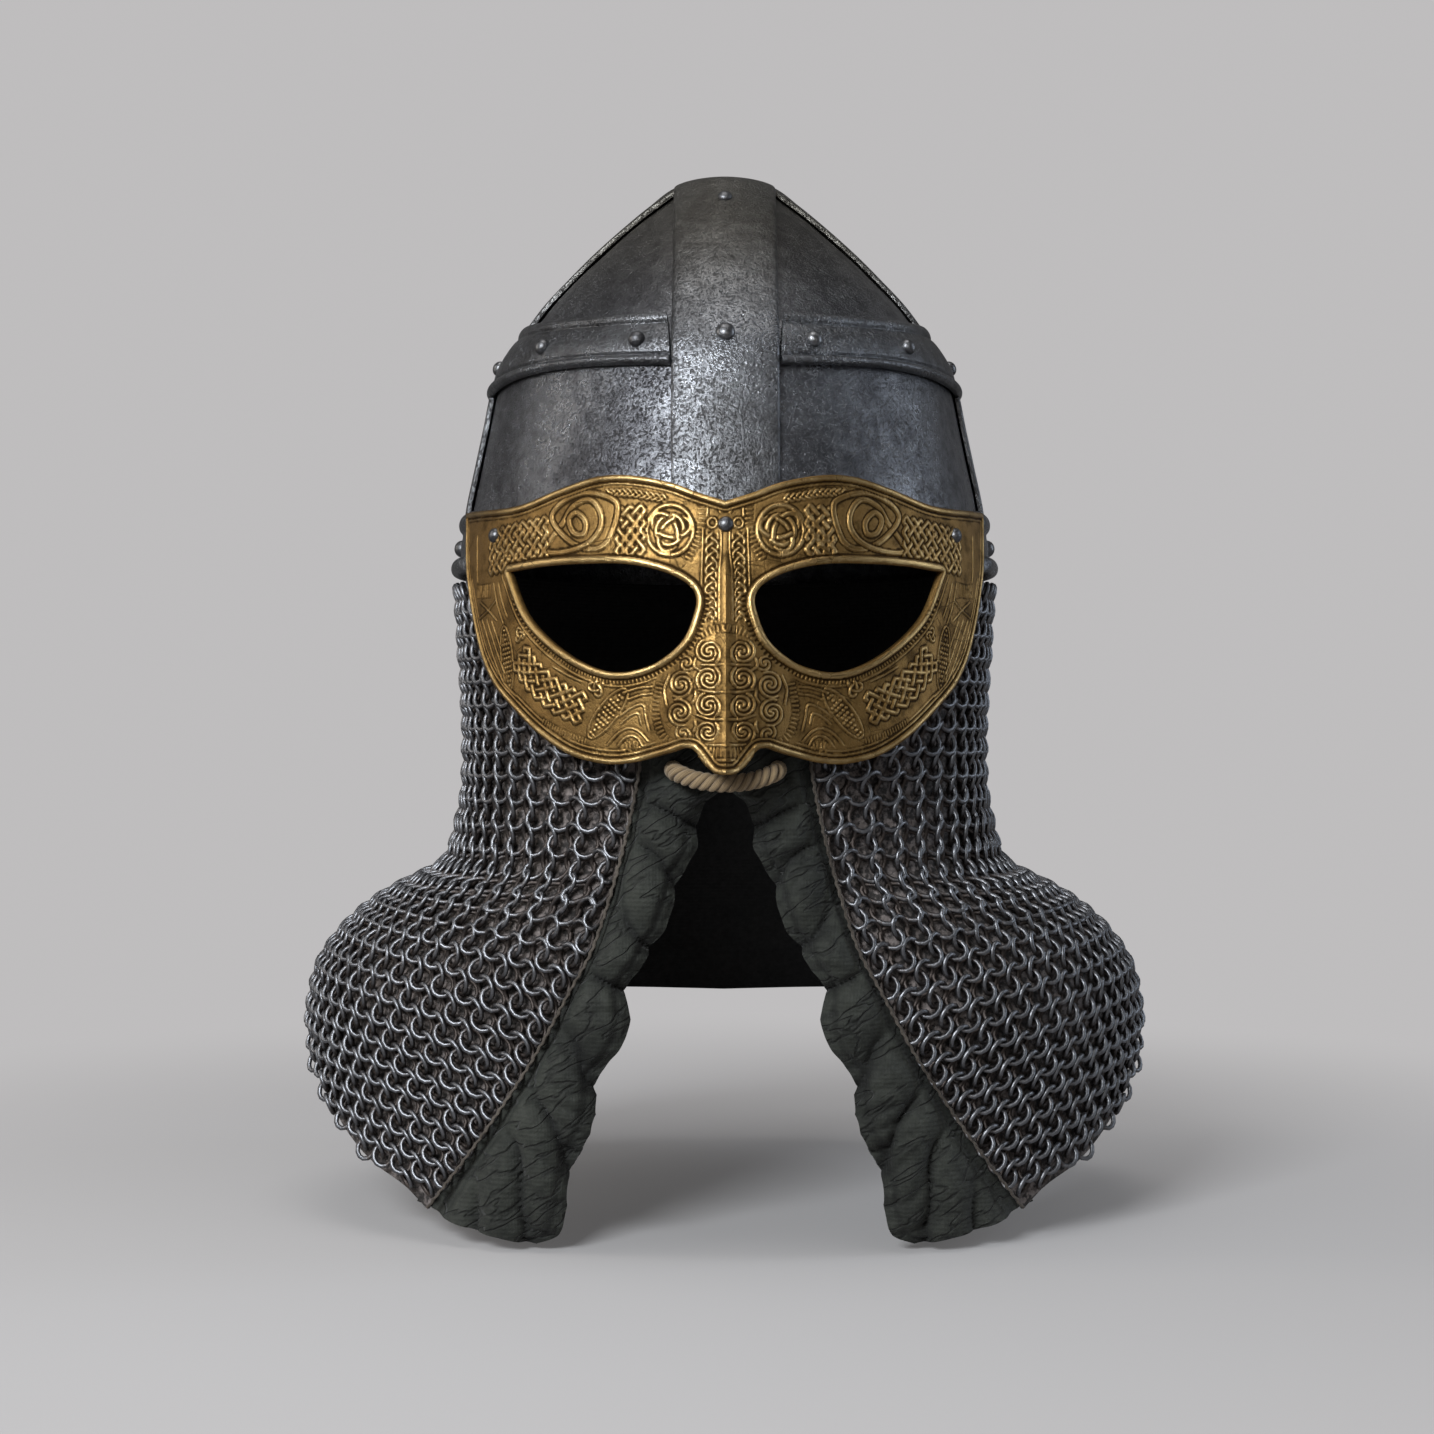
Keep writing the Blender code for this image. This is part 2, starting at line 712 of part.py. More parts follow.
def middle_rivets(bands):
    """The rivets along the middle band."""
    for side, x_way in (("left", -1), ("right", 1)):
        for number, degrees in enumerate(MIDDLE_RIVET_TURNS, 1):
            turn = math.radians(degrees)
            low, high = middle_bottom(turn), middle_top(turn)
            point = skull_point(turn, low + MIDDLE_RIVET_ACROSS * (high - low), 0)
            outward = skull_normal(point)
            point.x, outward.x = point.x * x_way, outward.x * x_way
            rivet(f"rivet_middle_{side}_{number}", bands[side], point, outward, BAND_RIVET)


def brow_rivets(band):
    """The rivets of the brow band that the mask leaves in sight."""
    for number, degrees in enumerate(BROW_RIVET_TURNS, 1):
        height = BROW_BOTTOM + BROW_RIVET_ACROSS * (BROW_TOP - BROW_BOTTOM)
        point = skull_point(math.radians(degrees), height, 0)
        rivet(f"rivet_brow_{number}", band, point, skull_normal(point), BROW_RIVET)


def mask_back(x, z):
    """A point of the mask's back surface, which wraps the brow and stands forward at the nose."""
    lean = MASK_LEAN * max(0.0, z - MASK_LEAN_FROM)
    half, depth = MASK_HALF_WIDTH - lean, MASK_DEPTH - lean * PLAN_RATIO
    y = -depth * math.sqrt(max(1 - (x / half) ** 2, 0.0))
    nose = smooth_step(-NOSE_FROM, -NOSE_FULL, -z)
    nose_half = NOSE_HALF_TOP + (NOSE_HALF_BOTTOM - NOSE_HALF_TOP) * nose
    across = min(abs(x) / nose_half, 1.0)
    y -= NOSE_FORWARD * nose * (1 - across * across) ** 2
    tip = smooth_step(-NOSE_TIP_FROM, -NOSE_TIP_FULL, -z)
    y -= NOSE_TIP_FORWARD * tip * max(1 - abs(x) / NOSE_TIP_HALF, 0.0)
    ridge = smooth_step(-NOSE_FROM, -NOSE_RIDGE_FULL, -z)
    y -= NOSE_RIDGE * ridge * max(1 - abs(x) / NOSE_RIDGE_HALF, 0.0)
    return Vector((x, y, z))


def mask_normal(x, z):
    """Direction out of the mask's front."""
    step = 0.0005
    across = mask_back(x + step, z) - mask_back(x - step, z)
    up = mask_back(x, z + step) - mask_back(x, z - step)
    return across.cross(up).normalized()


def curve_points(rows, spacing):
    """Points of the smooth curve through an outline's rows, without its last one."""
    lengths = with_lengths(rows)
    steps = max(2, round(lengths[-1][0] / spacing))
    return [Vector(along(lengths, i / steps)) for i in range(steps)]


def mask_outline():
    """The mask's whole outline, as a closed ring of x and z."""
    right = []
    for rows in (MASK_TOP, MASK_CHEEK):
        right += curve_points(rows, OUTLINE_SPACING)
    right += curve_points(MASK_NOSE, NOSE_SPACING)
    tip = Vector(MASK_NOSE[-1])
    left = [Vector((-point.x, point.y)) for point in right[1:]]
    return right + [tip] + left[::-1]


def eye_outline(way):
    """One eye hole's outline, as a closed ring of x and z."""
    right = curve_points(EYE_OUTLINE, EYE_SPACING)
    ring = [Vector((way * point.x, point.y)) for point in right]
    return ring if way > 0 else ring[::-1]


def distance_to_ring(point, ring):
    """Distance in the plane from a point to a closed ring."""
    nearest = 1.0
    for a, b in zip(ring, ring[1:] + ring[:1]):
        edge = b - a
        t = min(max((point - a).dot(edge) / edge.length_squared, 0.0), 1.0)
        nearest = min(nearest, (point - a - edge * t).length)
    return nearest


def inside_ring(point, ring):
    """Whether a point lies inside a closed ring."""
    inside = False
    for a, b in zip(ring, ring[1:] + ring[:1]):
        if (a.y > point.y) != (b.y > point.y):
            inside ^= point.x < a.x + (point.y - a.y) / (b.y - a.y) * (b.x - a.x)
    return inside


def shifted_ring(ring, distance, keep):
    """The ring moved sideways, keeping the points that stay clear of what keep refuses."""
    moved = []
    count = len(ring)
    for i in range(count):
        way = (ring[(i + 1) % count] - ring[i - 1]).normalized()
        point = ring[i] + Vector((-way.y, way.x)) * distance
        if keep(point):
            moved.append(point)
    return moved


def relief_rings():
    """Centres and radii of the raised rings on both halves of the mask."""
    rings = []
    for x, z, radius in RELIEF_RINGS:
        rings += [(Vector((x, z)), radius), (Vector((-x, z)), radius)]
    return rings


def mask_lift(point, outline, eyes):
    """Height of the mask's relief at a point of its front."""
    edge = distance_to_ring(point, outline)
    eye = min(distance_to_ring(point, ring) for ring in eyes)
    border = BORDER_LIFT * (1 - smooth_step(BORDER_WIDTH, BORDER_WIDTH + RELIEF_SLOPE, edge))
    rim = EYE_RIM_LIFT * (1 - smooth_step(EYE_RIM_WIDTH, EYE_RIM_WIDTH + RELIEF_SLOPE, eye))
    scroll = 0.0
    for centre, radius in relief_rings():
        off = abs((point - centre).length - radius)
        scroll = max(scroll, RING_LIFT * (1 - smooth_step(0.0, RING_HALF, off)))
    return max(border, rim, scroll)


def triangulated(rings, loose, outline, eyes):
    """Points and triangles of the flat mask, with these rings as edges."""
    points, edges = [], []
    for ring in rings:
        first = len(points)
        points += ring
        count = len(ring)
        edges += [(first + i, first + (i + 1) % count) for i in range(count)]
    points += loose
    found = delaunay_2d_cdt(points, edges, [], 0, 1e-6)
    kept = []
    for face in found[2]:
        centre = sum((found[0][i] for i in face), Vector((0, 0))) / 3
        in_eye = any(inside_ring(centre, ring) for ring in eyes)
        if inside_ring(centre, outline) and not in_eye:
            kept.append(list(face))
    return found[0], kept


def mask_loose_points(outline, eyes):
    """A grid of points inside the mask, clear of its edges and of the raised rings."""
    kept = []
    steps = round(2 * MASK_HALF_WIDTH / MASK_GRID)
    for i in range(-steps, steps + 1):
        x = MASK_HALF_WIDTH * math.sin(math.pi / 2 * i / steps)
        for j in range(MASK_GRID_ROWS):
            point = Vector((x, MASK_GRID_TOP - MASK_GRID * (j + 0.5)))
            if not inside_ring(point, outline):
                continue
            to_edge = min(distance_to_ring(point, ring) for ring in (outline, *eyes))
            to_ring = min(abs((point - c).length - radius) for c, radius in relief_rings())
            if to_edge < MASK_GRID_CLEAR or to_ring < MASK_RING_CLEAR:
                continue
            kept.append(point)
    return kept


def relief_points(outline, eyes):
    """Points along both edges of each raised border, rim and ring of the mask."""

    def on_plate(point):
        clear = min(distance_to_ring(point, ring) for ring in (outline, *eyes))
        in_eye = any(inside_ring(point, ring) for ring in eyes)
        return inside_ring(point, outline) and not in_eye and clear > RELIEF_CLEAR

    points = []
    for slope in (0.0, RELIEF_SLOPE):
        points += shifted_ring(outline, -BORDER_WIDTH - slope, on_plate)
        for eye in eyes:
            points += shifted_ring(eye, EYE_RIM_WIDTH + slope, on_plate)
    for centre, radius in relief_rings():
        for off in (-RING_HALF, 0.0, RING_HALF):
            for i in range(RING_SIDES):
                turn = 2 * math.pi * i / RING_SIDES
                point = centre + (radius + off) * Vector((math.cos(turn), math.sin(turn)))
                if on_plate(point):
                    points.append(point)
    return points


def ridge_points(x):
    """Points down the nose, this far from its middle."""
    heights = [NOSE_RIDGE_TOP + NOSE_RIDGE_STEP * i for i in range(NOSE_RIDGE_POINTS)]
    return [Vector((x, height)) for height in heights]


def spectacle_mask():
    """The brass face mask: a bent plate with two eye holes, raised rims, a border and scrolls."""
    outline = mask_outline()
    eyes = (eye_outline(1), eye_outline(-1))
    rings = [outline, *eyes]
    loose = mask_loose_points(outline, eyes) + ridge_points(0)
    sides = ridge_points(-NOSE_RIDGE_HALF) + ridge_points(NOSE_RIDGE_HALF)
    raised = relief_points(outline, eyes) + sides
    front = triangulated(rings, raised + loose, outline, eyes)
    back = triangulated(rings, loose, outline, eyes)

    bm = bmesh.new()
    layers = []
    for (points, faces), thick in ((front, MASK_WALL), (back, 0.0)):
        verts = []
        for point in points:
            lift = thick + (mask_lift(point, outline, eyes) if thick else 0.0)
            verts.append(bm.verts.new(mask_back(*point) + mask_normal(*point) * lift))
        for face in faces:
            bm.faces.new([verts[i] for i in face])
        layers.append(verts)
    first = 0
    for ring in rings:
        count = len(ring)
        for i in range(count):
            a, b = first + i, first + (i + 1) % count
            bm.faces.new((layers[0][a], layers[0][b], layers[1][b], layers[1][a]))
        first += count
    bmesh.ops.delete(bm, geom=[v for v in bm.verts if not v.link_faces], context="VERTS")
    return make_object("spectacle_mask", bm, brass())


def mask_rivets(mask):
    """The three rivets that hold the mask."""
    for name, x, z in MASK_RIVETS:
        rivet(f"rivet_mask_{name}", mask, mask_back(x, z), mask_normal(x, z), MASK_RIVET)


def curtain_point(turn, height, inset):
    """A point of the curtain, by its turn from the front in degrees, set in from its outside."""

    def outside(angle, z):
        half, front, back = smooth_lookup(CURTAIN, z)
        depth = front if math.cos(angle) > 0 else back
        return Vector((half * math.sin(angle), -depth * math.cos(angle), z))

    angle = math.radians(turn)
    step = 0.0006
    round_about = outside(angle + step, height) - outside(angle - step, height)
    up = outside(angle, height + step) - outside(angle, height - step)
    return outside(angle, height) - round_about.cross(up).normalized() * inset


def edge_turn(x, height):
    """The turn at which the curtain lies this far from the middle."""
    half = smooth_lookup(CURTAIN, height)[0]
    return math.degrees(math.asin(min(x / half, 1.0)))


def curtain_place(column, row):
    """Turn and height on the curtain. column runs back from the front edge, row down to the hem."""
    collar_turn = CURTAIN_COLLAR[0][0] + column * (180 - CURTAIN_COLLAR[0][0])
    hem_turn = CURTAIN_HEM[0][0] + column * (180 - CURTAIN_HEM[0][0])
    top = smooth_lookup(CURTAIN_COLLAR, collar_turn)[0]
    bottom = smooth_lookup(CURTAIN_HEM, hem_turn)[0]
    edge_x, edge_height = along(EDGE_ROWS, row)
    opened = edge_turn(edge_x, edge_height) - CURTAIN_COLLAR[0][0]
    opened /= CURTAIN_HEM[0][0] - CURTAIN_COLLAR[0][0]
    lowered = (edge_height - CURTAIN_EDGE[0][0]) / (CURTAIN_EDGE[-1][0] - CURTAIN_EDGE[0][0])
    return collar_turn + opened * (hem_turn - collar_turn), top + (bottom - top) * lowered


def curtain_grid(inset, first_column=0, below_collar=0.0, past_hem=0.0):
    """Both halves of the curtain as one grid, from the left front edge round to the right."""
    half_columns = CURTAIN_COLUMNS // 2
    grid = []
    for row in CURTAIN_ROW_SHARES:
        left = []
        for j in range(first_column, half_columns + 1):
            turn, height = curtain_place((j / half_columns) ** COLUMN_CROWDING, row)
            height -= {0.0: below_collar, 1.0: past_hem}.get(row, 0.0)
            point = curtain_point(turn, height, inset)
            left.append((-point.x, point.y, point.z))
        right = [(-x, y, z) for x, y, z in left[:-1]]
        grid.append(left + right[::-1])
    return grid


def mail_curtain():
    """The mail, as one wall with its true outline. Its rings are too fine for a solid."""
    shell("mail_curtain", curtain_grid(0.0), curtain_grid(MAIL_WALL), mail_steel())


def lining():
    """The leather behind the mail, with its hem a little below the mail's."""
    depth = MAIL_WALL + LINING_GAP
    sizes = (1, LINING_BELOW_COLLAR, LINING_PAST_HEM)
    outside = curtain_grid(depth, *sizes)
    inside = curtain_grid(depth + LINING_WALL, *sizes)
    shell("lining", outside, inside, lining_leather())


def flap_point(row, column, depth):
    """A point of the left flap. row runs down it, column from the mail to its ruffled edge."""
    edge_x, edge_z = along(EDGE_ROWS, row)
    inner_x, inner_z = along(FLAP_EDGE_ROWS, row)
    x = edge_x + (inner_x - edge_x) * column
    z = edge_z + (inner_z - edge_z) * column
    out_of_mail = smooth_step(*FLAP_LEAVES_MAIL, column)
    fold = math.sin(2 * math.pi * FLAP_FOLDS * row + FLAP_FOLD_SLANT * column)
    gathered = smooth_step(*FLAP_FOLDS_ACROSS, column) * smooth_step(*FLAP_FOLDS_DOWN, row)
    roll = FLAP_ROLL * smooth_step(FLAP_ROLL_FROM, 1.0, column) ** 2
    fullness = FLAP_FULLNESS * math.sin(math.pi * column) * out_of_mail
    inset = FLAP_INSET * (1 - FLAP_FORWARD_SHARE * out_of_mail) + roll + depth
    inset -= fullness + FLAP_FOLD_DEPTH * fold * gathered
    point = curtain_point(edge_turn(x, edge_z), edge_z, inset)
    return Vector((-point.x, point.y, point.z + z - edge_z))


def flap_columns():
    """Places across a flap, from just under the mail's edge to the ruffled edge."""
    shares = [j / FLAP_COLUMNS for j in range(FLAP_COLUMNS + 1)]
    return [FLAP_FIRST_COLUMN + (1 - FLAP_FIRST_COLUMN) * share for share in shares]


def flaps():
    """The lining's two ruffled front flaps, with the holes that the tie goes through."""
    for side, way in (("left", 1), ("right", -1)):
        grids = []
        for depth in (0.0, LINING_WALL):
            rows = []
            for i in range(FLAP_ROWS + 1):
                row = [flap_point(i / FLAP_ROWS, column, depth) for column in flap_columns()]
                rows.append([(way * p.x, p.y, p.z) for p in row])
            grids.append(rows)
        flap = shell(f"lining_flap_{side}", grids[0], grids[1], lining_leather())
        bm = bmesh.new()
        turned = Matrix.Rotation(math.pi / 2, 4, "X")
        place = Matrix.Translation((-way * ROPE_HOLE[0], ROPE_CUTTER_Y, ROPE_HOLE[1])) @ turned
        bmesh.ops.create_cone(
            bm,
            cap_ends=True,
            segments=ROPE_CUTTER_SIDES,
            radius1=ROPE_HOLE_RADIUS,
            radius2=ROPE_HOLE_RADIUS,
            depth=ROPE_CUTTER_LENGTH,
            matrix=place,
        )
        cutter = make_object(f"tie_hole_cutter_{side}", bm, lining_leather())
        cutter.hide_render = True
        cutter.display_type = "WIRE"
        cut = flap.modifiers.new("tie_hole", "BOOLEAN")
        cut.operation = "DIFFERENCE"
        cut.object = cutter


def piping():
    """A flat leather strip along the seam between the mail and each flap."""
    for side, way in (("left", -1), ("right", 1)):
        rings = []
        for i in range(PIPING_STATIONS + 1):
            edge_x, edge_z = along(EDGE_ROWS, PIPING_START + PIPING_RUN * i / PIPING_STATIONS)
            half, front, _ = smooth_lookup(CURTAIN, edge_z)
            ring = []
            for across, lift in ((0, 0), (1, 0), (1, 1), (0, 1)):
                x = edge_x - PIPING_BESIDE_MAIL - PIPING_WIDTH * across
                y = -front * math.sqrt(1 - (x / half) ** 2) - GAP - PIPING_WALL * lift
                ring.append((way * x, y, edge_z))
            rings.append(ring)
        lofted(f"mail_edge_{side}", rings, piping_leather())


def rope_tie():
    """The short rope through the two flaps, with a stop knot behind each."""
    route = [(-x, y, z) for x, y, z in ROPE_ROUTE[:0:-1]] + list(ROPE_ROUTE)
    rows = with_lengths(route)
    curve = bpy.data.curves.new("rope_tie", "CURVE")
    curve.dimensions = "3D"
    curve.bevel_depth = ROPE_RADIUS
    curve.bevel_resolution = 2
    curve.use_fill_caps = True
    spline = curve.splines.new("POLY")
    spline.points.add(ROPE_POINTS)
    for i, point in enumerate(spline.points):
        share = i / ROPE_POINTS
        from_end = min(share, 1 - share) * rows[-1][0]
        point.co = (*along(rows, share), 1.0)
        knot = 1 - smooth_step(ROPE_KNOT_FULL, ROPE_KNOT_FROM, from_end)
        point.radius = 1 + (ROPE_KNOT_RADIUS / ROPE_RADIUS - 1) * knot
    curve.materials.append(rope_fibre())
    made = bpy.data.objects.new("rope_tie", curve)
    bpy.context.scene.collection.objects.link(made)


def main():
    clear_scene()
    plates()
    crown_rivets(crown_band())
    side_bands()
    middle_rivets(middle_bands())
    brow_rivets(brow_band())
    mask_rivets(spectacle_mask())
    mail_curtain()
    lining()
    flaps()
    piping()
    rope_tie()


main()
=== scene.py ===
"""Spectacle helm: riveted steel skull, brass mask, mail curtain, leather lining and a rope tie.

Metres, +Z up, the front towards -Y, the origin at the inside of the crown. Left and right are
as seen from the front."""

import logging
import math
from collections.abc import Callable, Iterable, Sequence
from dataclasses import dataclass, field
from enum import Enum
from typing import Any

import bmesh
import bpy
import numpy as np
from mathutils import Matrix, Vector


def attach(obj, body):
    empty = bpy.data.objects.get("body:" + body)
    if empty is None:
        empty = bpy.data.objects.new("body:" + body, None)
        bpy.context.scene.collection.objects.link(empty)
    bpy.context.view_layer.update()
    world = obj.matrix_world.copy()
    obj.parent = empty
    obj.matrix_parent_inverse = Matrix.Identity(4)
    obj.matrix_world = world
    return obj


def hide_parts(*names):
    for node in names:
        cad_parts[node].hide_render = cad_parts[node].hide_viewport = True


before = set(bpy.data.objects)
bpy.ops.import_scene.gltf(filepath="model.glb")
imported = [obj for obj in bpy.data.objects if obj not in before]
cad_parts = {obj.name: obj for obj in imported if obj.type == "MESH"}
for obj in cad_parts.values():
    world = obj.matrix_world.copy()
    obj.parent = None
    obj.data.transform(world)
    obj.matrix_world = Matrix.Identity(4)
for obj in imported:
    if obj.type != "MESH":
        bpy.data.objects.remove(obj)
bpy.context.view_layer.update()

LOG = logging.getLogger("helm")
Array = np.ndarray
Table = tuple[tuple[float, ...], ...]
Spots = Iterable[Sequence[float]]
Color = tuple[float, float, float, float]
Placer = Callable[[Array, Array], Array]
BMesh = bmesh.types.BMesh
Material = bpy.types.Material
Node = bpy.types.Node
Tree = bpy.types.NodeTree
Socket = bpy.types.NodeSocket
Feeds = dict[Any, Any]


class Slot(Enum):
    """The record's material slots."""

    SKULL = "skull_steel"
    BAND = "band_steel"
    RIVET = "rivet_steel"
    BRASS = "brass"
    MAIL = "mail_steel"
    LINING = "lining_leather"
    PIPING = "piping_leather"
    ROPE = "rope_fibre"


class Side(Enum):
    """The two sides of the helm, each with its sign along X."""

    LEFT = -1
    RIGHT = 1

    @property
    def word(self) -> str:
        """The side's name as the nodes spell it."""
        return self.name.lower()


# Curves and tables


def hermite(rows: Array | Table, key: Array | float) -> Array:
    """Smooth curve through a table, looked up by its first column.

    Args:
        rows: The table, sorted by its first column either way.
        key: The values to look up, of any shape.

    Returns:
        The other columns, in a last axis after the shape of key.
    """
    table = np.asarray(rows, float)
    if table[-1, 0] < table[0, 0]:
        table = table[::-1]
    keys, values = table[:, 0], table[:, 1:]
    last = len(keys) - 1
    after = np.minimum(np.arange(last + 1) + 1, last)
    before = np.maximum(np.arange(last + 1) - 1, 0)
    slopes = (values[after] - values[before]) / (keys[after] - keys[before])[:, None]
    wanted = np.clip(np.asarray(key, float), keys[0], keys[-1])
    low = np.clip(np.searchsorted(keys, wanted, side="right") - 1, 0, last - 1)
    span = (keys[low + 1] - keys[low])[..., None]
    t = (wanted - keys[low])[..., None] / span
    return (
        (2 * t**3 - 3 * t**2 + 1) * values[low]
        + (t**3 - 2 * t**2 + t) * slopes[low] * span
        + (3 * t**2 - 2 * t**3) * values[low + 1]
        + (t**3 - t**2) * slopes[low + 1] * span
    )


def with_lengths(points: Spots) -> Array:
    """Rows that start with the distance along the points."""
    rows = np.array(list(points), float)
    steps = np.linalg.norm(np.diff(rows, axis=0), axis=1)
    return np.column_stack([np.concatenate([[0.0], np.cumsum(steps)]), rows])


def along(rows: Array, share: Array | float) -> Array:
    """The smooth curve through rows from with_lengths, at shares of its length."""
    return hermite(rows, np.asarray(share, float) * rows[-1, 0])


def smooth_step(low: float, high: float, value: Array | float) -> Array:
    """0 below low, 1 above high, with a smooth rise."""
    t = np.clip((np.asarray(value, float) - low) / (high - low), 0.0, 1.0)
    return t * t * (3 - 2 * t)


def unit(vectors: Array) -> Array:
    """The vectors, each of length one."""
    return vectors / np.maximum(np.linalg.norm(vectors, axis=-1, keepdims=True), 1e-12)


def stacked(x: Array, y: Array, z: Array) -> Array:
    """Points from their three coordinates, which may be arrays or numbers."""
    return np.stack(np.broadcast_arrays(x, y, z), axis=-1).astype(float)


def rounded(section: Table | Array, rounds: int = 2) -> Array:
    """A closed section with its corners cut again and again until they are round."""
    ring = np.asarray(section, float)
    for _ in range(rounds):
        following = np.roll(ring, -1, axis=0)
        ring = np.stack([0.75 * ring + 0.25 * following, 0.25 * ring + 0.75 * following], 1)
        ring = ring.reshape(-1, 2)
    return ring


class Section:
    """A closed cross section with round corners: places across a band, and lifts off its seat."""

    def __init__(self, form: Table) -> None:
        """Rounds the form, and repeats its first point at its end."""
        ring = rounded(form)
        self.count = len(ring)
        self.ring = np.vstack([ring, ring[:1]])

    def index(self, around: Array) -> Array:
        """Which of the section's points shares of the way round it reach."""
        return np.rint(around * self.count).astype(int)

    def at(self, around: Array) -> Array:
        """Places across and lifts at shares of the way round the section."""
        return self.ring[self.index(around)].T


def wander(points: Array, scale: float, seed: int) -> Array:
    """Smooth noise from -1 to 1, a sum of sine waves in directions that the seed fixes.

    Args:
        points: Points of two or three coordinates, in metres.
        scale: Rough size of the noise's lumps.
        seed: Which noise.

    Returns:
        One value for each point.
    """
    source = np.random.default_rng(seed)
    waves = source.normal(size=(9, points.shape[-1])) * (2.2 / scale)
    phases = source.uniform(0, 2 * math.pi, 9)
    return np.sin(points @ waves.T + phases).sum(-1) / 4.5


# Meshes


def blank(columns: int, rows: int) -> BMesh:
    """A flat grid of side 1 round the origin, with its shares across and up as a UV map."""
    bm = bmesh.new()
    bm.loops.layers.uv.new("surface")
    bmesh.ops.create_grid(bm, x_segments=columns, y_segments=rows, size=0.5, calc_uvs=True)
    return bm


def bend(bm: BMesh, place: Placer) -> None:
    """Moves a blank's vertices to where place puts their shares across and up.

    Args:
        bm: The blank, still flat.
        place: Gives points from the shares across and the shares up.
    """
    flat = np.array([vert.co for vert in bm.verts]) + (0.5, 0.5, 0.0)
    for vert, point in zip(bm.verts, place(flat[:, 0], flat[:, 1])):
        vert.co = point


def closed(bm: BMesh) -> None:
    """Fills the mesh's open ends and turns its faces outwards."""
    open_edges = [edge for edge in bm.edges if edge.is_boundary]
    bmesh.ops.holes_fill(bm, edges=open_edges, sides=0)
    bmesh.ops.recalc_face_normals(bm, faces=bm.faces[:])


def spun(bm: BMesh, geom: list, steps: int) -> None:
    """Spins an outline once round the vertical axis."""
    middle, up, full = (0, 0, 0), (0, 0, 1), 2 * math.pi
    turn = {"cent": middle, "axis": up, "angle": full, "steps": steps, "use_merge": True}
    bmesh.ops.spin(bm, geom=geom, **turn)


def profile(bm: BMesh, outline: Sequence[tuple[float, float]]) -> list:
    """An open outline in the plane of X and Z, to be spun.

    Args:
        bm: The mesh that it joins.
        outline: Distances from the axis, and heights.

    Returns:
        Its vertices and edges.
    """
    corners = [bm.verts.new((x, 0.0, z)) for x, z in outline]
    return corners + [bm.edges.new(pair) for pair in zip(corners, corners[1:])]


def tube(columns: int, rows: int, place: Placer, ring: bool = False) -> BMesh:
    """A closed solid: a blank bent so that its left and right sides meet.

    Args:
        columns: Faces round the section.
        rows: Faces along it.
        place: Gives points from the shares round the section and along it.
        ring: Not used.

    Returns:
        The bmesh, welded and facing out, with flat ends unless they meet.
    """
    bm = blank(columns, rows)
    bend(bm, place)
    bmesh.ops.remove_doubles(bm, verts=bm.verts[:], dist=1e-6)
    closed(bm)
    return bm


def walled(bm: BMesh, wall: float) -> None:
    """Gives an open sheet a wall, on the side away from its faces' normals."""
    bm.normal_update()
    bmesh.ops.solidify(bm, geom=bm.faces[:], thickness=wall)


def meshed(name: str, bm: BMesh) -> bpy.types.Mesh:
    """A mesh from a bmesh, which this uses up."""
    mesh = bpy.data.meshes.new(name)
    bm.to_mesh(mesh)
    bm.free()
    return mesh


def shown(name: str, data: bpy.types.ID) -> bpy.types.Object:
    """A new object in the scene, with this mesh, light or camera."""
    made = bpy.data.objects.new(name, data)
    bpy.context.scene.collection.objects.link(made)
    return made


def piece(
    name: str,
    bm: BMesh,
    finish: Material,
    nodes: Iterable[str],
    sharp: float = 38.0,
) -> bpy.types.Object:
    """Makes an object from a bmesh, which rides on the helm and stands for CAD nodes.

    Args:
        name: The piece's name.
        bm: Its mesh, which this uses up.
        finish: Its material.
        nodes: The CAD nodes that it replaces.
        sharp: Angle in degrees above which an edge is shaded sharp.

    Returns:
        The object.
    """
    return dressed(name, meshed(name, bm), finish, nodes, sharp)


def dressed(
    name: str,
    mesh: bpy.types.Mesh,
    finish: Material,
    nodes: Iterable[str],
    sharp: float = 38.0,
) -> bpy.types.Object:
    """Makes an object from a finished mesh, as piece does from a bmesh.

    Args:
        name: The piece's name.
        mesh: Its mesh.
        finish: Its material.
        nodes: The CAD nodes that it replaces.
        sharp: Angle in degrees above which an edge is shaded sharp.

    Returns:
        The object.
    """
    mesh.materials.append(finish)
    mesh.shade_smooth()
    mesh.set_sharp_from_angle(angle=math.radians(sharp))
    made = shown(name, mesh)
    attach(made, "root")
    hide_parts(*nodes)
    LOG.info("%s: %d faces", name, len(mesh.polygons))
    return made


# Shaders


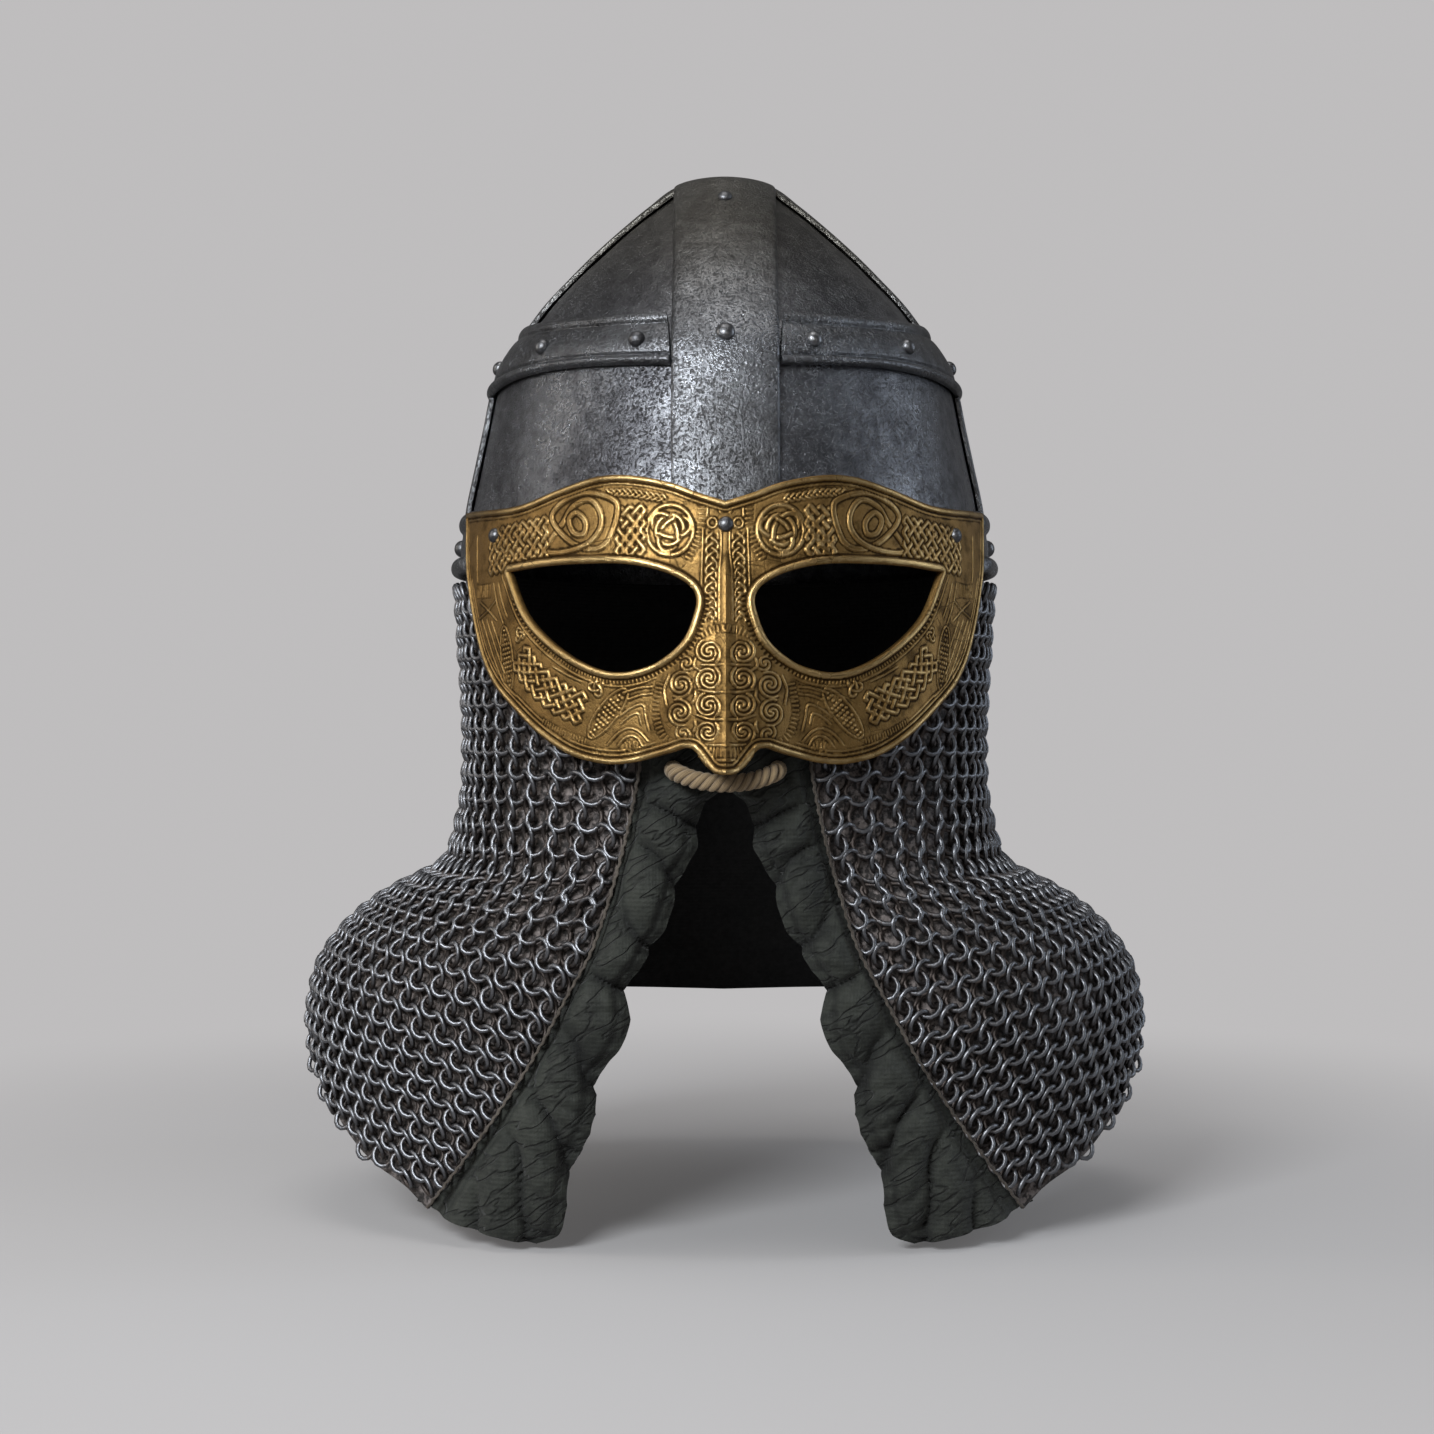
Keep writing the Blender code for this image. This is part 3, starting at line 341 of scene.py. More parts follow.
class Wiring:
    """Adds nodes to a tree and joins them."""

    def __init__(self, tree: Tree) -> None:
        """Works on this tree."""
        self.tree = tree

    def feed(self, node: Node, feeds: Feeds) -> None:
        """Feeds a node's inputs from sockets or with plain values.

        Args:
            node: The node.
            feeds: What goes in, by the input's name or number.
        """
        for key, value in feeds.items():
            if isinstance(value, Socket):
                self.tree.links.new(value, node.inputs[key])
            else:
                node.inputs[key].default_value = value

    def add(self, kind: str, feeds: Feeds | None = None, **settings: Any) -> Node:
        """A new node.

        Args:
            kind: Its type, such as ShaderNodeBump.
            feeds: What goes into its inputs.
            settings: Its own properties.

        Returns:
            The node.
        """
        node = self.tree.nodes.new(kind)
        for name, value in settings.items():
            setattr(node, name, value)
        self.feed(node, feeds or {})
        return node

    def group(self, tree: Tree, feeds: Feeds) -> Node:
        """A group node of another tree with its inputs fed."""
        return self.add("ShaderNodeGroup", feeds, node_tree=tree)

    def attribute(self, name: str) -> Socket:
        """The mesh's attribute of this name."""
        return self.add("ShaderNodeAttribute", attribute_name=name).outputs["Fac"]

    def sums(self, operation: str, first: Any, second: Any = 0.0) -> Socket:
        """The result of a Math node."""
        return self.add("ShaderNodeMath", {0: first, 1: second}, operation=operation).outputs[0]

    def times(self, first: Any, second: Any) -> Socket:
        """One value times another."""
        return self.sums("MULTIPLY", first, second)

    def plus(self, first: Any, second: Any) -> Socket:
        """One value added to another."""
        return self.sums("ADD", first, second)

    def less(self, first: Any, second: Any) -> Socket:
        """The first value less the second."""
        return self.sums("SUBTRACT", first, second)

    def larger(self, first: Any, second: Any) -> Socket:
        """The larger of two values."""
        return self.sums("MAXIMUM", first, second)

    def span(
        self, value: Any, low: float, high: float, to_low: float = 0.0, to_high: float = 1.0
    ) -> Socket:
        """Spreads a value smoothly over another range.

        Args:
            value: The value.
            low: Where its range starts.
            high: Where its range ends.
            to_low: What low becomes.
            to_high: What high becomes.

        Returns:
            The result, held between the last two.
        """
        feeds = {"Value": value, "From Min": low, "From Max": high}
        feeds |= {"To Min": to_low, "To Max": to_high}
        kind = "ShaderNodeMapRange"
        return self.add(kind, feeds, interpolation_type="SMOOTHSTEP").outputs["Result"]

    def blend(self, share: Any, first: Any, second: Any, how: str = "MIX") -> Socket:
        """A colour between two, or the two joined as the blend type says."""
        feeds = {"Factor": share, 6: first, 7: second}
        return self.add("ShaderNodeMix", feeds, data_type="RGBA", blend_type=how).outputs[2]

    def noise(
        self, vector: Any, scale: Any, detail: float = 3.0, roughness: float = 0.55
    ) -> Socket:
        """The value of a Noise Texture."""
        feeds = {"Vector": vector, "Scale": scale, "Detail": detail, "Roughness": roughness}
        return self.add("ShaderNodeTexNoise", feeds).outputs["Fac"]

    def bump(self, height: Any, distance: float) -> Socket:
        """The normal of a Bump node."""
        return self.add("ShaderNodeBump", {"Height": height, "Distance": distance}).outputs[0]

    def stretched(self, vector: Any, scale: tuple, rotation: tuple = (0.0, 0.0, 0.0)) -> Socket:
        """The vector, turned and then scaled along its axes."""
        turned = self.add("ShaderNodeMapping", {"Vector": vector, "Rotation": rotation})
        feeds = {"Vector": turned.outputs[0], "Scale": scale}
        return self.add("ShaderNodeMapping", feeds).outputs[0]


def grey(value: float, warm: float = 0.0) -> Color:
    """A grey, a little warmer or colder."""
    return (value * (1 + warm), value, value * (1 - warm), 1.0)


@dataclass(frozen=True)
class Effect:
    """A shader node group: its name, and its inputs and outputs with their socket types."""

    name: str
    inputs: tuple[tuple[str, str, Any], ...]
    outputs: tuple[tuple[str, str], ...]

    def tree(self, fill: Callable[[Wiring, Any], Feeds]) -> Tree:
        """The group's tree, made when it is first asked for.

        Args:
            fill: Adds the nodes that lead from the group's inputs, and gives what goes into
                its outputs.

        Returns:
            The tree.
        """
        known = bpy.data.node_groups.get(self.name)
        if known:
            return known
        made = bpy.data.node_groups.new(self.name, "ShaderNodeTree")
        for name, kind, value in self.inputs:
            socket = made.interface.new_socket(name, in_out="INPUT", socket_type=kind)
            if value is not None:
                socket.default_value = value
        for name, kind in self.outputs:
            made.interface.new_socket(name, in_out="OUTPUT", socket_type=kind)
        w = Wiring(made)
        start, end = w.add("NodeGroupInput"), w.add("NodeGroupOutput")
        w.feed(end, fill(w, start.outputs))
        return made


FLOAT, COLOR, VECTOR = "NodeSocketFloat", "NodeSocketColor", "NodeSocketVector"


def grain_nodes(w: Wiring, given: Any) -> Feeds:
    """Forged skin: a fine grain with pits of two sizes.

    Args:
        w: The group's wiring.
        given: The group's inputs.

    Returns:
        The skin's height, and a mask of the pits.
    """
    vector, scale = given["Vector"], given["Scale"]
    fine = w.noise(vector, w.times(scale, 900.0), 3.0, 0.7)
    broad = w.noise(vector, w.times(scale, 170.0), 3.0, 0.5)
    cells = []
    for size, low, high in ((260.0, 0.06, 0.22), (95.0, 0.02, 0.11)):
        feeds = {"Vector": vector, "Scale": w.times(scale, size)}
        spots = w.add("ShaderNodeTexVoronoi", feeds).outputs["Distance"]
        cells.append(w.span(spots, low, high, 1.0, 0.0))
    patchy = w.span(w.noise(vector, w.times(scale, 60.0), 2.0), 0.42, 0.62)
    specks = w.span(fine, 0.34, 0.48, 0.60, 0.0)
    pits = w.larger(w.times(w.larger(*cells), patchy), specks)
    pits = w.times(pits, given["Pitting"])
    height = w.plus(w.times(fine, 0.80), w.times(broad, 0.50))
    return {"Height": w.less(height, pits), "Pits": pits}


def grain_group() -> Tree:
    """The group for forged skin, made of grain_nodes."""
    inputs = (("Vector", VECTOR, None), ("Scale", FLOAT, 1.0), ("Pitting", FLOAT, 0.5))
    outputs = (("Height", FLOAT), ("Pits", FLOAT))
    return Effect("forged_grain", inputs, outputs).tree(grain_nodes)


def scratch_nodes(w: Wiring, given: Any) -> Feeds:
    """Thin scratches that lie in three directions.

    Args:
        w: The group's wiring.
        given: The group's inputs.

    Returns:
        A mask of the scratches.
    """
    lines = []
    for number, (turn, lean) in enumerate(((0.35, 0.2), (-0.9, 0.7), (1.4, -0.4))):
        spread = w.stretched(given["Vector"], (900.0, 900.0, 26.0), (lean, turn, 0.3))
        shifted = w.add("ShaderNodeVectorMath", {0: spread, 1: (number * 31.0, 7.0, 3.0)})
        scaled = {0: shifted.outputs[0], "Scale": given["Scale"]}
        moved = w.add("ShaderNodeVectorMath", scaled, operation="SCALE").outputs[0]
        lines.append(w.span(w.noise(moved, 1.0, 1.0, 0.4), 0.70, 0.78))
    both = w.larger(w.larger(lines[0], lines[1]), lines[2])
    return {"Mask": w.times(both, given["Amount"])}


def scratch_group() -> Tree:
    """The group for scratches, made of scratch_nodes."""
    inputs = (("Vector", VECTOR, None), ("Scale", FLOAT, 1.0), ("Amount", FLOAT, 0.5))
    return Effect("scratches", inputs, (("Mask", FLOAT),)).tree(scratch_nodes)


def stain_nodes(w: Wiring, given: Any) -> Feeds:
    """Two colours in soft clouds.

    Args:
        w: The group's wiring.
        given: The group's inputs.

    Returns:
        The colour, and the clouds' mask for the roughness.
    """
    vector, scale = given["Vector"], given["Scale"]
    broad = w.noise(vector, w.times(scale, 22.0), 5.0, 0.6)
    fine = w.noise(vector, w.times(scale, 210.0), 4.0, 0.6)
    mask = w.span(w.plus(w.times(broad, 0.6), w.times(fine, 0.4)), 0.36, 0.64)
    return {"Color": w.blend(mask, given["First"], given["Second"]), "Mask": mask}


def stain_group() -> Tree:
    """The group for stains, made of stain_nodes."""
    first, second = (0.1, 0.1, 0.1, 1.0), (0.2, 0.2, 0.2, 1.0)
    inputs = (("Vector", VECTOR, None), ("Scale", FLOAT, 1.0))
    inputs += (("First", COLOR, first), ("Second", COLOR, second))
    return Effect("stains", inputs, (("Color", COLOR), ("Mask", FLOAT))).tree(stain_nodes)


def new_material(name: str) -> tuple[Material, Wiring, Any, Any]:
    """An empty material with a Principled shader.

    Args:
        name: Its name.

    Returns:
        The material, its wiring, the shader and the Object coordinates.
    """
    material = bpy.data.materials.new(name)
    material.use_nodes = True
    wiring = Wiring(material.node_tree)
    shader = material.node_tree.nodes["Principled BSDF"]
    coordinates = wiring.add("ShaderNodeTexCoord").outputs["Object"]
    return material, wiring, shader, coordinates


@dataclass(frozen=True)
class SteelFinish:
    """Dark forged steel, with its colours, its gloss and how deep its skin is pitted."""

    name: str
    dark: Color
    light: Color
    gloss: tuple[float, float]
    bump: float = 0.00016
    grain: float = 1.0
    pitting: float = 0.6
    scratches: float = 0.15
    top_tint: Color = (1.0, 1.0, 1.0, 1.0)
    tint_from: float = -0.075
    tint_full: float = -0.015

    def material(self) -> Material:
        """Makes the material.

        Returns:
            The material.
        """
        material, w, shader, spot = new_material(self.name)
        feeds = {"Vector": spot, "Scale": self.grain, "Pitting": self.pitting}
        grain = w.group(grain_group(), feeds)
        feeds = {"Vector": spot, "Scale": 1.0, "First": self.dark, "Second": self.light}
        stains = w.group(stain_group(), feeds)
        feeds = {"Vector": spot, "Scale": 1.0, "Amount": self.scratches}
        scratches = w.group(scratch_group(), feeds).outputs["Mask"]
        height = w.add("ShaderNodeSeparateXYZ", {0: spot}).outputs["Z"]
        tinted = w.span(height, self.tint_from, self.tint_full)
        color = w.blend(tinted, stains.outputs["Color"], self.top_tint, "MULTIPLY")
        color = w.blend(w.times(grain.outputs["Pits"], 0.7), color, grey(0.02, 0.1))
        color = w.blend(w.times(scratches, 0.5), color, grey(0.45))
        low, high = self.gloss
        rough = w.span(stains.outputs["Mask"], 0.0, 1.0, high, low)
        rough = w.plus(rough, w.times(tinted, 0.06))
        rough = w.plus(rough, w.times(grain.outputs["Pits"], 0.25))
        rough = w.less(rough, w.times(scratches, 0.10))
        lowered = w.times(scratches, 0.6)
        relief = w.less(grain.outputs["Height"], lowered)
        normal = w.bump(relief, self.bump)
        feeds = {"Base Color": color, "Roughness": rough, "Metallic": 1.0, "Normal": normal}
        w.feed(shader, feeds)
        return material


@dataclass(frozen=True)
class RingFinish:
    """The mail's rings: dark steel whose tone differs from ring to ring, with painted shade on the
    half of each ring that lies back.
    """

    name: str = "ring_steel"
    recess_shade: Color = (0.085, 0.071, 0.065, 1.0)
    worn: Color = (0.180, 0.184, 0.198, 1.0)

    def material(self) -> Material:
        """Makes the material, which reads a ring's tone and how far it stands out.

        Returns:
            The material.
        """
        material, w, shader, spot = new_material(self.name)
        tone = w.attribute("tone")
        raised = w.attribute("raised")
        fine = w.noise(spot, 1100.0, 3.0)
        share = w.plus(raised, w.span(fine, 0.3, 0.7, -0.16, 0.16))
        share = w.plus(share, w.times(tone, 0.10))
        share = w.span(share, 0.42, 1.02)
        # Painted shade: each ring is darker on the half that lies back and on its wire's inner
        # side, paler where it stands out.
        color = w.blend(share, self.recess_shade, self.worn)
        rough = w.span(share, 0.0, 1.0, 0.60, 0.42)
        normal = w.bump(fine, 0.00014)
        feeds = {"Base Color": color, "Roughness": rough, "Metallic": 1.0, "Normal": normal}
        w.feed(shader, feeds)
        return material


@dataclass(frozen=True)
class BrassFinish:
    """Cast brass: dark in its ground, bright on its raised lines, with fine cracks."""

    name: str = "aged_brass"
    ground: Color = (0.036, 0.020, 0.007, 1.0)
    body: Color = (0.232, 0.138, 0.047, 1.0)
    rubbed: Color = (0.45, 0.310, 0.136, 1.0)

    def material(self) -> Material:
        """Makes the material, which reads the relief's height from an attribute.

        Returns:
            The material.
        """
        material, w, shader, spot = new_material(self.name)
        relief = w.attribute("relief")
        grain = w.group(grain_group(), {"Vector": spot, "Scale": 1.6, "Pitting": 0.35})
        clouds = w.noise(spot, 120.0, 5.0, 0.65)
        worn = w.plus(relief, w.span(clouds, 0.3, 0.7, -0.18, 0.18))
        color = w.blend(w.span(worn, 0.10, 0.52), self.ground, self.body)
        color = w.blend(w.span(worn, 0.62, 1.05), color, self.rubbed)
        feeds = {"Vector": spot, "Scale": 150.0}
        edges = w.add("ShaderNodeTexVoronoi", feeds, feature="DISTANCE_TO_EDGE")
        patches = w.span(w.noise(spot, 45.0, 2.0), 0.50, 0.60)
        cracks = w.times(w.span(edges.outputs[0], 0.0, 0.035, 1.0, 0.0), patches)
        color = w.blend(w.times(cracks, 0.6), color, (0.03, 0.018, 0.006, 1.0))
        color = w.blend(w.times(grain.outputs["Pits"], 0.8), color, self.ground)
        rough = w.span(worn, 0.1, 0.9, 0.58, 0.30)
        height = w.less(grain.outputs["Height"], w.times(cracks, 0.5))
        normal = w.bump(height, 0.00014)
        feeds = {"Base Color": color, "Roughness": rough, "Metallic": 1.0, "Normal": normal}
        w.feed(shader, feeds)
        return material


@dataclass(frozen=True)
class LeatherFinish:
    """Soft leather or dense cloth with a fine weave, with painted shade in its creases and darker
    along its wrinkle lines.
    """

    name: str
    dark: Color
    light: Color
    roughness: float = 0.72
    weave: float = 620.0
    wrinkles: float = 0.0
    mottle: float = 0.0

    def material(self) -> Material:
        """Makes the material.

        Returns:
            The material.
        """
        material, w, shader, spot = new_material(self.name)
        feeds = {"Vector": spot, "Scale": 1.6, "First": self.dark, "Second": self.light}
        stains = w.group(stain_group(), feeds)
        fine = w.noise(spot, 420.0, 4.0, 0.6)
        creases = w.noise(w.stretched(spot, (130.0, 130.0, 330.0), (0.0, 0.5, 0.0)), 1.0, 4.0)
        rows = w.add("ShaderNodeTexWave", {"Vector": spot, "Scale": self.weave}).outputs["Fac"]
        rise = w.add("ShaderNodeSeparateXYZ", {0: spot}).outputs["Z"]
        across = w.sums("SINE", w.times(rise, self.weave * 6.3))
        threads = w.plus(w.times(rows, 0.25), w.times(across, 0.12))
        height = w.plus(threads, w.plus(w.times(creases, 1.6), fine))
        lines = w.noise(w.stretched(spot, (42.0, 42.0, 150.0), (0.0, 0.55, 0.0)), 1.0, 2.0)
        lines = w.sums("ABSOLUTE", w.less(lines, 0.5))
        lines = w.times(w.span(lines, 0.0, 0.045, 1.0, 0.0), self.wrinkles)
        height = w.less(height, w.times(lines, 3.0))
        normal = w.bump(height, 0.00035)
        rough = w.span(fine, 0.3, 0.7, self.roughness - 0.10, self.roughness + 0.10)
        specks = w.times(w.span(fine, 0.42, 0.58), self.mottle)
        # Painted shade from a mesh attribute: the folds' valleys, the seam and the lining's inside;
        # also darker along the wrinkle lines and in random specks.
        crease = w.attribute("crease")
        share = w.times(crease, 0.75)
        share = w.larger(share, w.times(lines, 0.6))
        share = w.larger(share, specks)
        color = w.blend(share, stains.outputs["Color"], grey(0.004))
        feeds = {"Base Color": color, "Roughness": rough}
        feeds |= {"Normal": normal, "Sheen Weight": 0.06, "Sheen Roughness": 0.45}
        w.feed(shader, feeds | {"Specular IOR Level": 0.25})
        return material


@dataclass(frozen=True)
class RopeFinish:
    """Twisted plant fibre, paler on the outer side of each strand, with painted shade where strands
    meet.
    """

    name: str = "rope_fibre"
    dark: Color = (0.060, 0.037, 0.018, 1.0)
    light: Color = (0.42, 0.30, 0.165, 1.0)

    def material(self) -> Material:
        """Makes the material, whose fibres run along the strand's own UV map.

        Returns:
            The material.
        """
        material, w, shader, spot = new_material(self.name)
        surface = w.add("ShaderNodeUVMap", uv_map="surface").outputs[0]
        fibres = w.noise(w.stretched(surface, (34.0, 5.0, 1.0)), 1.0, 4.0, 0.7)
        clouds = w.noise(spot, 260.0, 3.0)
        # Painted shade: the fibres darken towards each strand's inner side, where strands meet.
        depth = w.attribute("outer")
        share = w.times(w.span(fibres, 0.25, 0.75), w.span(depth, 0.40, 0.95))
        share = w.plus(w.times(share, 0.85), w.times(clouds, 0.15))
        color = w.blend(share, self.dark, self.light)
        normal = w.bump(fibres, 0.0004)
        feeds = {"Base Color": color, "Roughness": 0.9, "Normal": normal}
        w.feed(shader, feeds | {"Sheen Weight": 0.15})
        return material


# The steel skull

GAP = 0.0003


@dataclass
class Dome:
    """The skull's outer surface, wider from front to back than from side to side."""

    profile: Table = (
        (0.0000, 0.0017), (0.0190, -0.0015), (0.0289, -0.0088), (0.0404, -0.0187),
        (0.0519, -0.0294), (0.0618, -0.0396), (0.0700, -0.0485), (0.0766, -0.0573),
        (0.0835, -0.0662), (0.0890, -0.0765), (0.0936, -0.0975), (0.0967, -0.1120),
        (0.1001, -0.1285), (0.1031, -0.1535),
    )
    plan_ratio: float = 1.17
    samples: int = 3000
    probe: float = 0.0004
    halves: Array = field(init=False)
    heights: Array = field(init=False)

    def __post_init__(self) -> None:
        """Samples the profile once."""
        self.rows = with_lengths(self.profile)
        self.shares = np.linspace(0.0, 1.0, self.samples)
        self.halves, self.heights = along(self.rows, self.shares).T

    def half_at(self, z: Array | float) -> Array:
        """Half width at a height. It falls below zero above the apex."""
        z = np.asarray(z, float)
        found = np.interp(-z, -self.heights, self.halves)
        found = found + (np.clip(z, self.heights[-1], None) - z) * 0.1
        return np.where(z >= self.heights[0], self.heights[0] - z, found)

    def share_of_height(self, z: float) -> float:
        """How far down the profile a height lies, from 0 to 1."""
        return float(np.interp(-z, -self.heights, self.shares))

    def share_of_half(self, half: float) -> float:
        """How far down the profile a half width lies, from 0 to 1."""
        return float(np.interp(half, self.halves, self.shares))

    def outside(self, points: Array) -> Array:
        """How far outside the skull points lie, level with it."""
        around = np.hypot(points[..., 0], points[..., 1] / self.plan_ratio)
        return around - self.half_at(points[..., 2])

    def normal(self, points: Array) -> Array:
        """Directions out of the skull at points on it."""
        steps = np.eye(3) * self.probe
        slopes = [self.outside(points + step) - self.outside(points - step) for step in steps]
        return unit(np.stack(slopes, axis=-1))

    def point(self, turn: Array, height: Array, lift: Array | float) -> Array:
        """Points on the skull, by their turn from the right side and their height."""
        half = np.maximum(self.half_at(height), 0.0)
        spots = stacked(half * np.cos(turn), self.plan_ratio * half * np.sin(turn), height)
        return spots + self.normal(spots) * np.asarray(lift, float)[..., None]

    def dropped(self, starts: Array, inward: Array, lift: Array) -> Array:
        """Where lines from starts along inward meet the skull, lifted off it again."""
        near, far = np.full(starts.shape[:-1], -0.001), np.full(starts.shape[:-1], 0.05)
        for _ in range(26):
            middle = (near + far) / 2
            out = self.outside(starts + inward * middle[..., None]) > 0
            near, far = np.where(out, middle, near), np.where(out, far, middle)
        spots = starts + inward * near[..., None]
        return spots + self.normal(spots) * lift[..., None]


@dataclass
class SkullPlates:
    """The four plates of the skull, each a quarter of the dome."""

    dome: Dome
    wall: float = 0.0016
    first_share: float = 0.06
    dent_size: float = 0.021
    columns: int = 44
    rows: int = 50
    dent: float = 0.00022

    def build(self, finish: Material) -> None:
        """Makes the four plates."""
        for side in Side:
            for end, way in (("front", -1), ("back", 1)):
                self.plate(side, end, way, finish)

    def plate(self, side: Side, end: str, way: int, finish: Material) -> None:
        """One plate, a sheet with a wall and slight hammer dents.

        Args:
            side: Its side of the helm.
            end: front or back.
            way: The end's sign along Y.
            finish: Its material.
        """
        mirrored = side.value * way < 0

        def place(across: Array, up: Array) -> Array:
            """Points of the plate by its shares round the skull and up."""
            turn = math.pi / 2 * (1 - across if mirrored else across)
            share = self.first_share + (1 - self.first_share) * (1 - up)
            half, height = along(self.dome.rows, share).T
            spots = stacked(
                half * np.cos(turn), self.dome.plan_ratio * half * np.sin(turn), height
            )
            spots[:, :2] = np.maximum(spots[:, :2], GAP) * (side.value, way)
            dents = (wander(spots, self.dent_size, 3) - 1) * self.dent
            return spots + self.dome.normal(spots) * dents[:, None]

        bm = blank(self.columns, self.rows)
        bend(bm, place)
        walled(bm, self.wall)
        node = f"skull_plate_{end}_{side.word}"
        piece(f"plate_{end}_{side.word}", bm, finish, [node])


FLAT_FORM = Section(
    (
        (-1.0, -0.0005), (-1.0, 0.0014), (-0.955, 0.0021), (-0.5, 0.0022), (0.0, 0.0022),
        (0.5, 0.0022), (0.955, 0.0021), (1.0, 0.0014), (1.0, -0.0005), (0.0, -0.0005),
    )
)
CROWN_FORM = Section(
    (
        (-1.0, -0.0005), (-1.0, 0.0017), (-0.965, 0.0026), (-0.90, 0.0029), (-0.5, 0.0030),
        (0.0, 0.0031), (0.5, 0.0030), (0.90, 0.0029), (0.965, 0.0026), (1.0, 0.0017),
        (1.0, -0.0005), (0.0, -0.0005),
    )
)
MIDDLE_FORM = Section(
    (
        (0.000, -0.0005), (-0.005, 0.0020), (0.025, 0.0033), (0.075, 0.0037), (0.125, 0.0032),
        (0.160, 0.0018), (0.185, 0.0010), (0.215, 0.0016), (0.240, 0.0021), (0.500, 0.0023),
        (0.770, 0.0021), (0.800, 0.0011), (0.825, 0.0012), (0.850, 0.0024), (0.910, 0.0031),
        (0.970, 0.0028), (1.000, 0.0014), (1.000, -0.0005),
    )
)
BROW_FORM = Section(
    (
        (0.000, -0.0005), (0.000, 0.0026), (0.040, 0.0046), (0.140, 0.0053), (0.240, 0.0045),
        (0.290, 0.0024), (0.320, 0.0018), (0.500, 0.0023), (0.680, 0.0018), (0.715, 0.0025),
        (0.760, 0.0036), (0.850, 0.0041), (0.940, 0.0035), (0.990, 0.0020), (1.000, -0.0005),
    )
)


@dataclass
class Bands:
    """The bands that cross the crown and go round the skull."""

    dome: Dome
    seat: float = 0.0006
    crown_half: float = 0.0190
    side_half: float = 0.0170
    crown_front_end: float = -0.1358
    end_gap: float = 0.0009
    edge_lean: float = 0.0012
    thin_from: float = -0.1120
    thin_at: float = -0.1215
    thin_share: float = 0.5
    brow_top: float = -0.1300
    brow_top_behind: float = -0.1372
    brow_bottom: float = -0.1543
    middle_end_gap: float = 0.0004
    mask_end_low: float = 66.4
    mask_end_high: float = 71.2
    bead_rise: float = 2.4
    hidden_wall: float = 0.0020
    # Edges of the band round the middle at the helm's side, and how far they move elsewhere
    middle_high: float = -0.0641
    middle_low: float = -0.0835
    high_swell: float = 0.0066
    low_swell: float = 0.0022
    # How far the side bands' ends run on under the crown band and the middle band
    tuck_top: float = 0.012
    tuck_middle: float = 0.004
    overlap: float = 0.0002
    crown_stations: int = 190
    middle_stations: int = 130
    brow_stations: int = 230

    def build(self, finish: Material) -> None:
        """Makes the crown band, the side bands, the middle bands and the brow band."""
        self.crown(finish)
        for side in Side:
            self.side_lengths(side, finish)
            self.middle(side, finish)
        self.brow(finish)

    def flat(
        self, spines: Array, across_way: Array, form: Section, half: float, lifts: Array
    ) -> Placer:
        """Points of a flat band, round its section and along its spine.

        Args:
            spines: Points of the skull under the band's middle.
            across_way: Direction across the band.
            form: The band's section.
            half: Half its width.
            lifts: Share of the section's lift at each spine point.

        Returns:
            A function that places a tube's vertices.
        """
        stations = len(spines) - 1
        inward = -self.dome.normal(spines)
        lift = self.seat + form.ring[:, 1] * lifts[:, None]
        starts = spines[:, None] + across_way * (form.ring[:, :1] * half)
        ways = np.broadcast_to(inward[:, None], starts.shape)
        found = self.dome.dropped(starts, ways, lift)

        def place(around: Array, length: Array) -> Array:
            """The points found, by shares round the section and along the band."""
            return found[np.rint(length * stations).astype(int), form.index(around)]

        return place

    def crown(self, finish: Material) -> None:
        """The band over the top, from behind the mask to the brow band.

        Args:
            finish: The material.
        """
        front = self.dome.share_of_height(self.crown_front_end)
        back = self.dome.share_of_height(self.brow_top + self.end_gap)
        places = np.linspace(-front, back, self.crown_stations + 1)
        half, height = along(self.dome.rows, np.abs(places)).T
        y = np.copysign(self.dome.plan_ratio * half, places)
        spines = stacked(np.zeros_like(y), y, height)
        thin = smooth_step(-self.thin_from, -self.thin_at, -height) * (y < 0)
        lifts = 1 - (1 - self.thin_share) * thin
        place = self.flat(spines, np.array([1.0, 0, 0]), CROWN_FORM, self.crown_half, lifts)
        bm = tube(CROWN_FORM.count, self.crown_stations, place)
        piece("crown_strap", bm, finish, ["crown_band"])

    def middle_top(self, turn: Array | float) -> Array:
        """Height of the middle band's upper edge, by its turn from the side."""
        return self.middle_high + self.high_swell * np.cos(turn) ** 4

    def middle_bottom(self, turn: Array | float) -> Array:
        """Height of the middle band's lower edge, by its turn from the side."""
        return self.middle_low + self.low_swell * np.sin(2 * turn) ** 2

    def side_lengths(self, side: Side, finish: Material) -> None:
        """The upper and the lower length of a side band.

        Args:
            side: Its side of the helm.
            finish: The material.
        """
        share = self.dome.share_of_height
        first = self.dome.share_of_half(self.crown_half + self.edge_lean + self.end_gap)
        upper_end = share(self.middle_top(0) + self.end_gap) + self.tuck_middle
        lower_start = share(self.middle_bottom(0) - self.overlap)
        lengths = (
            ("upper", first - self.tuck_top, upper_end, 60),
            ("lower", lower_start, share(self.brow_top + self.overlap), 40),
        )
        for word, start, end, stations in lengths:
            half, height = along(self.dome.rows, np.linspace(start, end, stations + 1)).T
            spines = stacked(side.value * half, 0.0, height)
            across = np.array([0.0, side.value, 0.0])
            lifts = np.ones(stations + 1)
            place = self.flat(spines, across, FLAT_FORM, self.side_half, lifts)
            bm = tube(FLAT_FORM.count, stations, place)
            node = f"side_band_{word}_{side.word}"
            piece(f"side_strap_{word}_{side.word}", bm, finish, [node])

    def middle(self, side: Side, finish: Material) -> None:
        """Half of the beaded band round the middle.

        Args:
            side: Its side of the helm.
            finish: The material.
        """

